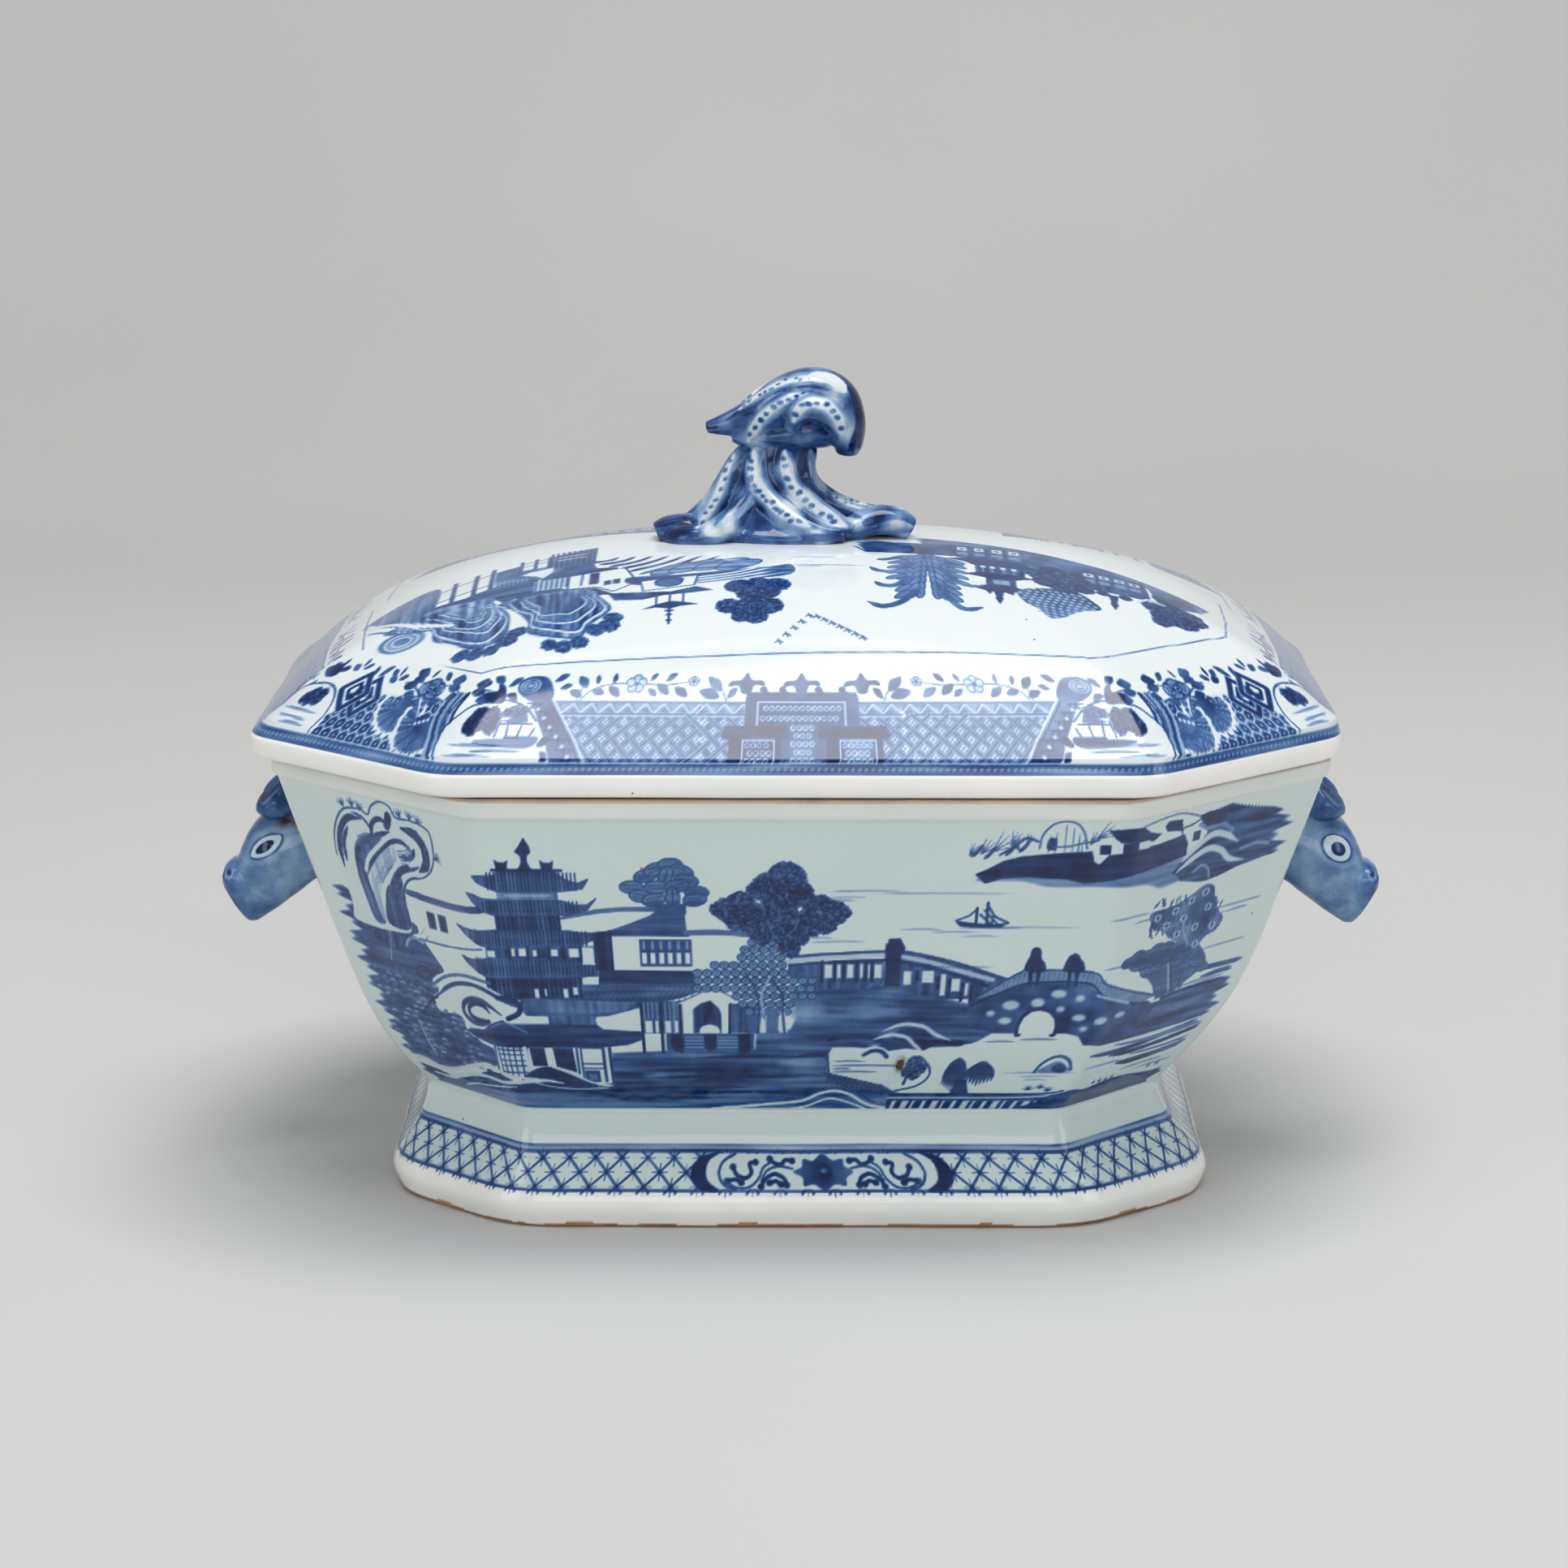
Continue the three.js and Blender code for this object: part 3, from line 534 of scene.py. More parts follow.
def white_walled_hall(pen):
    pen.line([(-66, 95.6), (-60, 97), (-50, 98.3), (-37, 98.4)], 1.4, 0.6, taper=(0.4, 1))
    pen.line([(-66, 91.2), (-52, 91)], 0.5, DEEP)
    pen.fill([(-53, 91.8), (-47, 94), (-41, 96.6), (-37.4, 99.4), (-31, 99.6), (-31.4, 96),
              (-31.2, 92.2), (-31, 90.4), (-53, 90.2)], 0.72, grain="flat", amount=0.2)
    pen.line([(-52.6, 91.2), (-42, 91.2), (-31, 91)], 1.8, DEEP)
    pen.line([(-31.4, 91.3), (-22, 91.4), (-13, 90.8)], 1.7, 0.6)
    window_panes(pen, -44.6, -30, 81, 89.2, 6)
    pen.fill([(-56.6, 79.8), (-48, 79.7), (-30, 79.6), (-29, 76), (-29, 74.6), (-57, 74.8)], 0.95,
             grain="flat", amount=0.1)
    lobed_leaves(pen, [
        (-45.4, 105.2, 0), (-41.4, 108.6, 15), (-38.6, 110.6, 20), (-34.6, 112, 0),
        (-31.6, 110, -20), (-30.4, 107.2, -10), (-43, 102.4, -8), (-27.8, 103.6, 0),
        (-36, 108.4, 70), (-38.6, 105.2, 0), (-33, 105.6, 10), (-39.6, 101.4, 12),
        (-28.4, 101.4, 8), (-34.4, 102, 90)])
    pen.fill([(-41, 100.2), (-30.8, 100.2), (-31, 97), (-38, 97.6)], 0.72)


def little_gate(pen):
    pen.box(-45.8, -33.6, 59.8, 70.2, 0.7, grain="tall")
    hatch(pen, -44.6, -34.6, 64.6, 69.6, 1.25, 0.4, 0.4)
    for x in (-45.4, -39.7, -34.1):
        pen.line([(x, 70), (x, 53.6)], 0.9, DARK, smooth=False)
    for left, right in ((-44.6, -42.4), (-41.6, -40.6), (-38.8, -37), (-36, -34.8)):
        pen.box(left, right, 60, 64, 0.06)
    pen.box(-44.6, -42.6, 54, 58.6, 0.06)
    pen.box(-42, -40.2, 54, 58.6, 0.06)
    gate = [(-35, 69.4), (-30, 71.8), (-26.4, 73.8), (-22.6, 73.6), (-18, 70.8), (-14.6, 69.3),
            (-19.6, 69.2), (-19.8, 60), (-33.2, 60), (-33.6, 69.2)]
    pen.fill(gate, 0.04)
    pen.line(gate[:6], 0.4, MID, smooth=False)
    pen.line([(-19.6, 69.2), (-19.8, 60)], 0.8, DARK)
    pen.fill([(-30.4, 60), (-30.4, 67.6), (-28, 69.5), (-25.4, 70.3), (-23, 68), (-22.3, 66),
              (-22.3, 60)], 0.88, grain="tall")
    pen.oval(-25.7, 60.6, 3.1, 2.2, 0.04)
    pen.box(-19.4, -12, 60, 69.4, 0.78, grain="tall")
    pen.box(-38.6, -12.6, 54, 59.8, 0.72)
    for y in (55.2, 56.3, 57.4, 58.5):
        pen.line([(-33, y), (-14, y)], 0.45, 0.3)
    for x, low in ((-35.4, 53.4), (-25.6, 53.8), (-15.4, 52.4)):
        pen.fill([(x - 1.9, 59.6), (x + 1.7, 59.6), (x + 2, low + 1), (x, low), (x - 1.7, low + 1)],
                 0.97)


def cloud_tree(pen):
    ringed_leaves(pen, [(x + (row % 2) * 1.3, y) for row, (y, left, right) in enumerate([
        (88.4, -13, -6), (86.2, -16.4, -2), (83.8, -16, -3), (81.4, -25, -3.6), (79, -28.6, -2),
        (76.6, -29.8, 3.6), (74.2, -29, 4), (71.8, -19, 3), (69.2, -16, -2), (66.8, -15.4, -3)])
        for x in np.arange(left, right, 2.7)])
    pen.fill([(-14.6, 60), (-15, 66), (-9.6, 66), (-9.4, 60)], 0.66)
    pen.box(-9.2, -5.6, 60, 68, 0.6)
    pen.fill([(-11.2, 60), (-10.6, 66), (-9.6, 64), (-9, 60)], 0.08)
    pen.fill([(-5.2, 60), (-5.2, 67), (-3.6, 66), (-2.6, 60)], 0.12)
    pen.line([(-11.4, 60), (-11.4, 67), (-12, 73), (-15, 79)], 0.6, DEEP)
    pen.line([(-10, 66), (-10.6, 72), (-8, 78)], 0.6, PALE)
    pen.line([(-3.6, 60), (-4.4, 66), (-4.6, 72), (-7.6, 77)], 0.6, DEEP)
    leafy_puffs(pen, [
        (-10.4, 91, 3.2), (-3, 91, 4.2), (0, 90, 2.4), (-2.4, 86.6, 2.6), (-5, 96, 5),
        (-5, 101, 5), (-3.4, 107.4, 5.2), (-8.4, 105, 4.2), (-11.6, 104.4, 2.2), (0, 103.4, 3.8),
        (-16, 99.4, 4.2), (-20, 98.4, 3.2), (-22.8, 98.4, 1.6), (-13, 96, 4.6), (-17, 95.4, 3.2),
        (5.6, 98.4, 4.3), (10, 97.4, 3.4), (12.6, 97.4, 1.6), (3, 94.4, 4), (7.6, 94, 2.8)])
    for path in ([(-8.6, 95), (-7.4, 91.4), (-5.4, 88.8)], [(-3.6, 90.4), (-1.4, 92.4), (0, 95)],
                 [(-11.6, 103), (-9.8, 100), (-9.4, 96.6)], [(1.4, 100.4), (2.6, 102)],
                 [(-5.4, 99), (-5.2, 95)]):
        pen.line(path, 0.5, MID)


def balustrade(pen):
    pen.fill([(-3, 81), (10, 82), (24, 83), (24.4, 76), (20, 74), (4, 74), (-3, 78)], 0.7,
             grain="tall")
    pen.line([(-3.4, 82.6), (8, 83.8), (25, 84.6)], 1.7, 0.16)
    pen.line([(-2.6, 84), (8, 84.8), (25, 85.6)], 0.8, DEEP)
    pen.line([(-2.6, 81.4), (8, 82.2), (25, 83)], 0.9, 0.9)
    for left, right in ((7.2, 9.6), (10.8, 12), (13.6, 15.6), (17.4, 18.2), (19.6, 20.2),
                        (21.4, 23.6)):
        pen.box(left, right, 77.4, 81.6, 0.08)
    for x in (6.6, 10.2, 12.8, 16.6, 19, 20.8):
        pen.line([(x, 76.4), (x, 82.4)], 0.9, DARK, smooth=False)
    pen.fill([(28, 85.6), (36, 84), (44, 82), (52, 79.4), (60, 77.4), (58, 74), (50, 71),
              (40, 71), (28, 74)], 0.72, grain="tall")
    pen.line([(29, 84), (37, 82.4), (46, 79.6), (55, 77)], 1.5, 0.18)
    pen.line([(29, 85.6), (37, 84), (46, 81.6), (58, 77.4)], 1.0, DEEP)
    pen.line([(29, 82.4), (37, 80.8), (46, 78), (54, 75)], 1.0, 0.9)
    for left, right, low, high in ((29.8, 32, 75.4, 79.6), (35, 38.4, 76, 79.8),
                                   (40.3, 41.9, 72, 78.8), (43.4, 46, 73.4, 77.4),
                                   (47.4, 48.4, 72, 76)):
        pen.box(left, right, low, high, 0.08)
    for x, low in ((33.6, 77), (39.6, 74), (42.8, 71.6), (46.6, 70.6), (49.4, 70)):
        pen.line([(x, low), (x, 79.4 - (x - 34) * 0.3)], 1.0, DARK, smooth=False)
    pen.box(24.4, 28.8, 74.8, 88, 0.96)
    pen.fill([(25.2, 89.4), (28.4, 89.6), (30, 86.6), (28.6, 84), (25, 85)], 0.96)


def arched_bridge(pen):
    body = [(49, 70), (58, 74.6), (66, 76.4), (82, 76), (90, 71.4), (100, 68.6), (112, 66.4),
            (118, 64), (112, 57), (92, 55.4), (86.4, 56), (83.6, 59), (79.6, 60), (66, 60),
            (58, 60), (50, 62)]
    pen.fill(body, 0.78, grain="blot", amount=0.2)
    parapet = [(50, 70.6), (57, 75.6), (63, 79.4), (66, 80), (83, 79.4), (88, 75.6), (94, 73.4),
               (102, 71), (110, 69), (116, 67.4), (108, 66.6), (96, 69), (86, 72.8), (82, 76),
               (66, 76), (58, 73)]
    pen.fill(parapet, 0.4)
    for i in range(44):
        x = 51 + i * 1.4
        top = np.interp(x, [50, 63, 83, 94, 116], [70.8, 79.2, 79.2, 73.4, 67.4])
        pen.line([(x, top - 3.4), (x + 0.5, top)], 0.5, MID, taper=(0.3, 0.6), smooth=False)
    pen.line(parapet[:10], 0.55, DEEP)
    pen.line([(50, 69), (58, 73), (66, 76), (82, 76), (88, 71.8), (98, 68.4), (112, 65.4)], 0.6, DARK)
    pen.line([(86, 72), (94, 69.6), (102, 67.4)], 0.9, 0.2)
    for x, y, rx, ry in (
            (61.4, 69, 2.5, 1.6), (69, 69.8, 2, 1.5), (74.6, 72.6, 2.3, 1.4), (81, 71.2, 1.4, 1.2),
            (56, 66.4, 1.3, 1), (60.6, 64, 2, 1.2), (82, 65, 2.1, 1.2), (76, 67.8, 1.3, 1),
            (90, 63.6, 2.9, 1.3), (99, 64.2, 2.6, 1), (84.4, 61.4, 1.3, 0.9)):
        pen.oval(x, y, rx, ry, 0.16, soft=0.8)
    arch = [(65.4, 59.8), (65.2, 62.4), (66, 65.2), (68, 67), (70.4, 67.4), (73, 66.6),
            (75, 64.6), (75.8, 62), (75.8, 59.8)]
    pen.line(arch, 2.0, 0.95)
    pen.fill(arch, 0.02)
    for x, top in ((66.6, 87), (77.6, 85.2)):
        pen.fill([(x - 2.4, 79.6), (x - 2.7, 81.6), (x - 1.6, 84.4), (x - 1.2, top - 0.6),
                  (x, top), (x + 1.3, top - 0.8), (x + 1.6, 83.6), (x + 2.8, 82), (x + 2.8, 79.6)],
                 0.93, smooth=True)
        pen.line([(x - 1, 80), (x - 0.8, 75.6)], 1.0, DARK)
        pen.line([(x + 1.2, 80), (x + 1.2, 75.6)], 1.0, DARK)


def far_island(pen):
    pen.fill([(48, 107.4), (60, 107.2), (68, 105.6), (80, 105.6), (90, 105), (99, 104.2),
              (105, 102.2), (113, 103), (118, 104), (113, 110), (60, 110)], 0.45, smooth=True,
             grain="flat", soft=1.2)
    land = [(47.6, 109.2), (51, 110.8), (55, 113.2), (60, 114.6), (70, 115.6), (78.4, 116.2),
            (79.2, 113), (80.6, 112.2), (83, 115), (90, 115.6), (103, 116.2), (111.6, 117.2),
            (113.6, 114.4), (114, 110.6), (106, 109.6), (98, 108.8), (88, 108), (82, 107),
            (77, 106.6), (72, 107.8), (62, 108.4), (55, 108), (50.4, 106.4)]
    pen.fill(land, 0.95, grain="flat", amount=0.08)
    right_hill = [(117, 121.6), (124, 122.2), (130, 123.4), (136, 121.6), (142, 120.4), (150, 119),
                  (160, 115.6), (170, 111), (170, 104.6), (152, 104), (140, 103), (128, 101),
                  (118, 102.4), (113, 104), (109, 106), (113, 109.6), (118, 112.4), (122, 116)]
    pen.fill(right_hill, 0.8, grain="flat", amount=0.25)
    bands = [
        [(112.4, 108.8), (118, 112.2), (125, 115), (131, 113.8), (137, 110.8)],
        [(111, 105.8), (118, 109.2), (124.6, 110.8), (130.4, 109.2), (134.6, 106.2), (142, 104.6)],
    ]
    for points in bands:
        pen.line(points, 2.1, 0.12, taper=(0.3, 0.2))
    pen.fill([(113, 103.4), (117, 106.6), (124, 108.8), (129.4, 107.4), (133, 104.6), (139, 103),
              (127, 100.8), (118, 102)], 0.85, smooth=True, grain="flat")
    pen.line([(119, 104.6), (122.6, 106), (126, 104.6), (127.6, 101.6)], 0.9, 0.35)
    pen.line([(118, 119), (122, 117.4), (128, 117.6), (133, 115)], 1.4, 0.4)
    pen.line([(139, 108.4), (146, 109), (152, 108)], 1.2, 0.4)
    for x in np.arange(124, 168, 1.5):
        top = np.interp(x, [117, 130, 150, 170], [121.6, 123, 118.8, 111])
        pen.line([(x, top - 0.6), (x - 0.3, top + 1.3)], 0.6, 0.85, taper=(0.8, 0.2), smooth=False)
    pen.line([(64.4, 117), (65.2, 121), (67.6, 124), (70.6, 125.1), (73.8, 124.4), (76, 121.6),
              (77, 117)], 0.55, MID)
    for x, top in ((66.8, 121), (68.6, 122), (71, 124), (73, 123), (74.6, 121.6), (75.6, 119.6)):
        pen.line([(x, 116), (x + 0.3, top)], 0.6, MID, taper=(0.6, 0.3))
    pen.fill([(66.4, 117), (67, 120), (69, 119.6), (68.6, 116.6)], 0.8, smooth=True)
    pen.line([(68, 117.4), (72, 117.6), (76, 118.6), (80, 119.4)], 0.5, MID)
    roofs = [
        [(82.4, 122.4), (88, 122.5), (94, 122.2), (97, 120.2), (101.6, 119), (99, 117.4),
         (94, 117.9), (86.4, 118.5), (84.4, 120)],
        [(102.8, 121), (104, 122.3), (109.6, 122), (110.5, 118.4), (108, 118.9), (104, 119.3)],
        [(117, 121.8), (121, 122.4), (129, 122), (128, 118), (121, 118)],
    ]
    for roof in roofs:
        pen.fill(roof, 0.96)
    for left, right in ((84.8, 86), (93.8, 97.4)):
        pen.box(left, right, 115.6, 118, 0.06)
    pen.box(87, 92.6, 115.4, 118.2, 0.95)
    pen.box(80.5, 83.4, 115.2, 118, 0.94)
    pen.box(115.6, 118.8, 114.4, 117.2, 0.85)
    pen.line([(110.3, 119), (110.6, 116.6)], 0.7, DEEP)
    pen.line([(94, 122.4), (102, 123.6), (108, 124), (113, 123), (117.4, 121.6)], 0.45, MID)
    pen.line([(111, 119.2), (115, 119.8), (118.4, 121)], 0.5, DEEP)
    for x, y, aim, size in ((46, 115, 60, 3.6), (49, 115.4, 50, 5), (52, 116, 40, 6.5),
                            (57, 118, 60, 4.4), (59, 116.6, 120, 4), (61, 118.2, 60, 3),
                            (78, 118.4, 60, 4), (79.6, 120, 35, 6)):
        tuft(pen, x, y, size, 4, 50, aim, tone=0.66, width=0.7)
    for x, y in ((48, 116), (51.4, 115.4), (57, 116.4), (60.6, 117.4)):
        pen.line([(x - 1.6, y - 1.6), (x, y), (x + 1.4, y + 2.2)], 1.0, 0.72, taper=(0.3, 0.2))
    pen.line([(54, 115), (58, 117.6), (61, 120), (64, 119)], 0.6, DEEP)


def little_boat(pen):
    pen.fill([(43, 95.2), (44.6, 93.4), (48, 93), (56, 93), (58, 94.4), (53, 94), (48, 94.4)], 0.88)
    for points, width in (([(49, 94.4), (49, 99)], 0.7), ([(52, 94), (51.8, 100.6)], 0.8),
                          ([(43.6, 95.2), (47, 96.6), (49, 98.6)], 0.5),
                          ([(52, 99.6), (54, 96.4), (58, 94.4)], 0.6), ([(50, 97), (53.6, 93.6)], 0.6),
                          ([(51, 98.4), (55, 94)], 0.5), ([(53.4, 96.4), (53.6, 93.4)], 0.5)):
        pen.line(points, width, 0.85, smooth=False)
    ripples(pen, [(37, 50, 91.5), (44, 62, 92.8), (45, 56, 90.2), (50, 78, 92.9)])


def lakeside_tree(pen):
    feathers = [(97, 80.6, 5), (101, 82, 10), (106, 81.6, 0), (110, 82.8, 8), (115, 82.6, 0),
                (101, 79, -8), (106, 78.6, -4), (111, 79.6, 0), (116, 79.4, 4), (121, 80.4, 10),
                (107, 76, -14), (112, 76.4, -8), (117, 76, 0), (122, 77, 0), (126, 78.6, 10),
                (113, 73, -24), (118, 72.6, -10), (123, 73.6, 0), (128, 75, 0), (133, 75, -8),
                (137, 73, -10), (116, 69.4, -60), (120, 69.4, 80), (125, 70, 90), (129, 71, 80)]
    pen.fill([(100, 80), (112, 83), (126, 83), (134, 79), (138, 74), (130, 69), (117, 66.6),
              (111, 72)], 0.66, smooth=True, grain="blot")
    lobed_leaves(pen, feathers, 3.4, 1.5)
    crown = [(103.4, 94.4), (110, 95), (117, 95.8), (121, 97.2), (127, 99.4), (131.4, 98.4),
             (133.6, 94.6), (137, 90.4), (140.6, 87.4), (139, 84), (134, 82.6), (130, 80),
             (124, 82.4), (117, 84.4), (111, 88), (106, 89.6)]
    pen.fill(crown, 0.66, smooth=True, grain="blot", amount=0.35)
    dabs = np.random.default_rng(11)
    for x, y in zip(dabs.uniform(104, 138, 150), dabs.uniform(83, 98, 150)):
        if abs(y - np.interp(x, [104, 120, 138], [92.5, 90.5, 87])) < 6:
            pen.line([(x, y), (x + dabs.uniform(-1, 1), y + dabs.uniform(0.6, 1.6))], 0.55, DEEP)
    for x, y in ((107.4, 92.6), (115.4, 93.4), (122.4, 95.4), (128.4, 97), (131.6, 92),
                 (120.4, 90.4), (112.4, 89.4), (118.6, 85.8), (127.4, 86.6), (136, 85.8),
                 (129.6, 81)):
        pen.oval(x, y, 1.7, 1.3, 0.08)
        tuft(pen, x, y, 2.1, 9, 340, 90, tone=0.8, width=0.45)
        pen.oval(x, y, 0.5, 0.5, 0.85)
    pen.line([(120.6, 89), (122.4, 85.6), (125.6, 81.6)], 0.8, 0.3)
    pen.line([(117.6, 77), (119.6, 73), (122.4, 68.2)], 1.0, 0.25)
    pen.line([(118.6, 77), (120.8, 72.6), (123.6, 68)], 0.5, DARK)


def far_shore(pen):
    shore = [(84, 59.6), (88, 56), (95, 54.7), (120, 54.4), (142, 54.6), (172, 56), (172, 66),
             (150, 66.6), (130, 65.6), (111, 65), (100, 62.6)]
    pen.fill(shore, 0.76, grain="flat", amount=0.28)
    pen.line([(120, 66), (140, 66.8), (158, 66.4), (172, 65.4)], 1.4, 0.9, grain="flat")
    pen.line([(132, 72.6), (146, 72), (168, 71.4)], 1.6, 0.75, taper=(0.2, 1))
    pen.line([(139, 69.4), (152, 69.6), (168, 69)], 1.5, 0.8, taper=(0.2, 1))
    pen.line([(116, 66.4), (136, 68.4), (160, 67.6)], 1.0, 0.3)
    strips = [(92, 51.4, 1.6), (112, 46, 1.9), (104, 49.8, 1.4), (118, 48.2, 0.7)]
    for x, y, width in strips:
        pen.line([(x, y), (x + 12, y - 0.5), (x + 32, y), (x + 60, y + 2.4), (176, y + 4)], width,
                 0.84, taper=(0.3, 1), grain="flat", amount=0.3)
    pen.fill([(104, 53.6), (130, 53), (172, 56), (172, 54), (140, 51.6), (112, 52.4)], 0.5,
             smooth=True, grain="flat")
    ripples(pen, [(86, 104, 94.8), (96, 108, 92.6), (86, 100, 79.8), (134, 168, 90.8),
                  (138, 168, 89), (132, 160, 78.6), (92, 116, 46.8), (118, 150, 42.8),
                  (130, 168, 41.2)], tone=0.3)
    pen.line([(74.8, 46.8), (76, 49.6), (78.6, 51.8), (81.4, 52.2), (84.2, 50.6), (86, 47.6)], 1.0,
             0.7)
    pen.fill([(76, 46.8), (78, 49.2), (81, 50.6), (84, 48.8), (85, 47)], 0.45, smooth=True)
    pen.fill([(79.6, 48.6), (81.6, 49.8), (84, 48.4), (83.6, 46.6), (80.4, 47)], 0.85, smooth=True)
    ripples(pen, [(64, 90, 46.3), (70, 84, 45), (72, 80, 43.8)])


def near_ground(pen):
    wash = [(-96, 30), (-96, 41), (-72, 41.6), (-57, 42), (-55, 53.2), (-38, 54), (-12, 54.4),
            (-12, 60), (-2, 61), (0, 66), (-3, 74), (6, 77), (24, 75.6), (30, 74.4), (45, 70.4),
            (51, 69), (57, 64.6), (58, 60.2), (53, 56.4), (46, 55.4), (38, 54.4), (24, 56),
            (11, 55), (10.6, 46), (16, 44), (30, 41), (40, 36), (40, 30)]
    pen.fill(wash, 0.68, grain="flat", amount=0.3, soft=0.8)
    deep = [[(-56, 46), (-40, 51), (-20, 50), (-14, 44), (-30, 38), (-56, 38)],
            [(-46, 43), (-20, 42), (-4, 44), (0, 50), (-6, 56), (-20, 52)],
            [(28, 72), (40, 70), (52, 66), (54, 60), (44, 60), (32, 66)],
            [(6, 75), (24, 75), (18, 70), (8, 68)], [(-4, 60), (8, 61), (24, 60), (8, 57)]]
    for points in deep:
        pen.fill(points, 0.45, smooth=True, grain="flat", amount=0.3, soft=3, build=True)
    for x, y, rx, ry in ((3, 66.6, 5, 2.6), (20, 67, 5, 2.4), (-38, 45, 8, 1.6), (2, 50, 7, 2)):
        pen.oval(x, y, rx, ry, 0.42, soft=3, grain="blot")
    for x0, x1, y in ((-50, -6, 47), (-44, 2, 44.6), (-52, -12, 41), (-40, 8, 39), (-56, -24, 37),
                      (-30, 6, 51.6), (0, 12, 52)):
        pen.line([(x0, y), ((x0 + x1) / 2, y + 0.4), (x1, y)], 1.2, 0.9, taper=(0.1, 0.1),
                 build=True, grain="flat")
    pen.fill([(11, 54.4), (20, 54), (30, 53.6), (36, 53), (38, 47), (30, 41.6), (16, 44.6),
              (11, 46)], 0.06, smooth=True)
    pen.fill([(38, 55), (48, 55.6), (56, 57.6), (64, 59.4), (78, 59.4), (84, 58), (88, 54),
              (60, 53.6), (44, 53)], 0.02, smooth=True)
    ripples(pen, [(56, 66, 57), (66, 78, 57.8), (12, 34, 48.8), (12, 22, 50.2), (12, 18, 47.6),
                  (12, 26, 46.6)], tone=0.45, width=0.6)


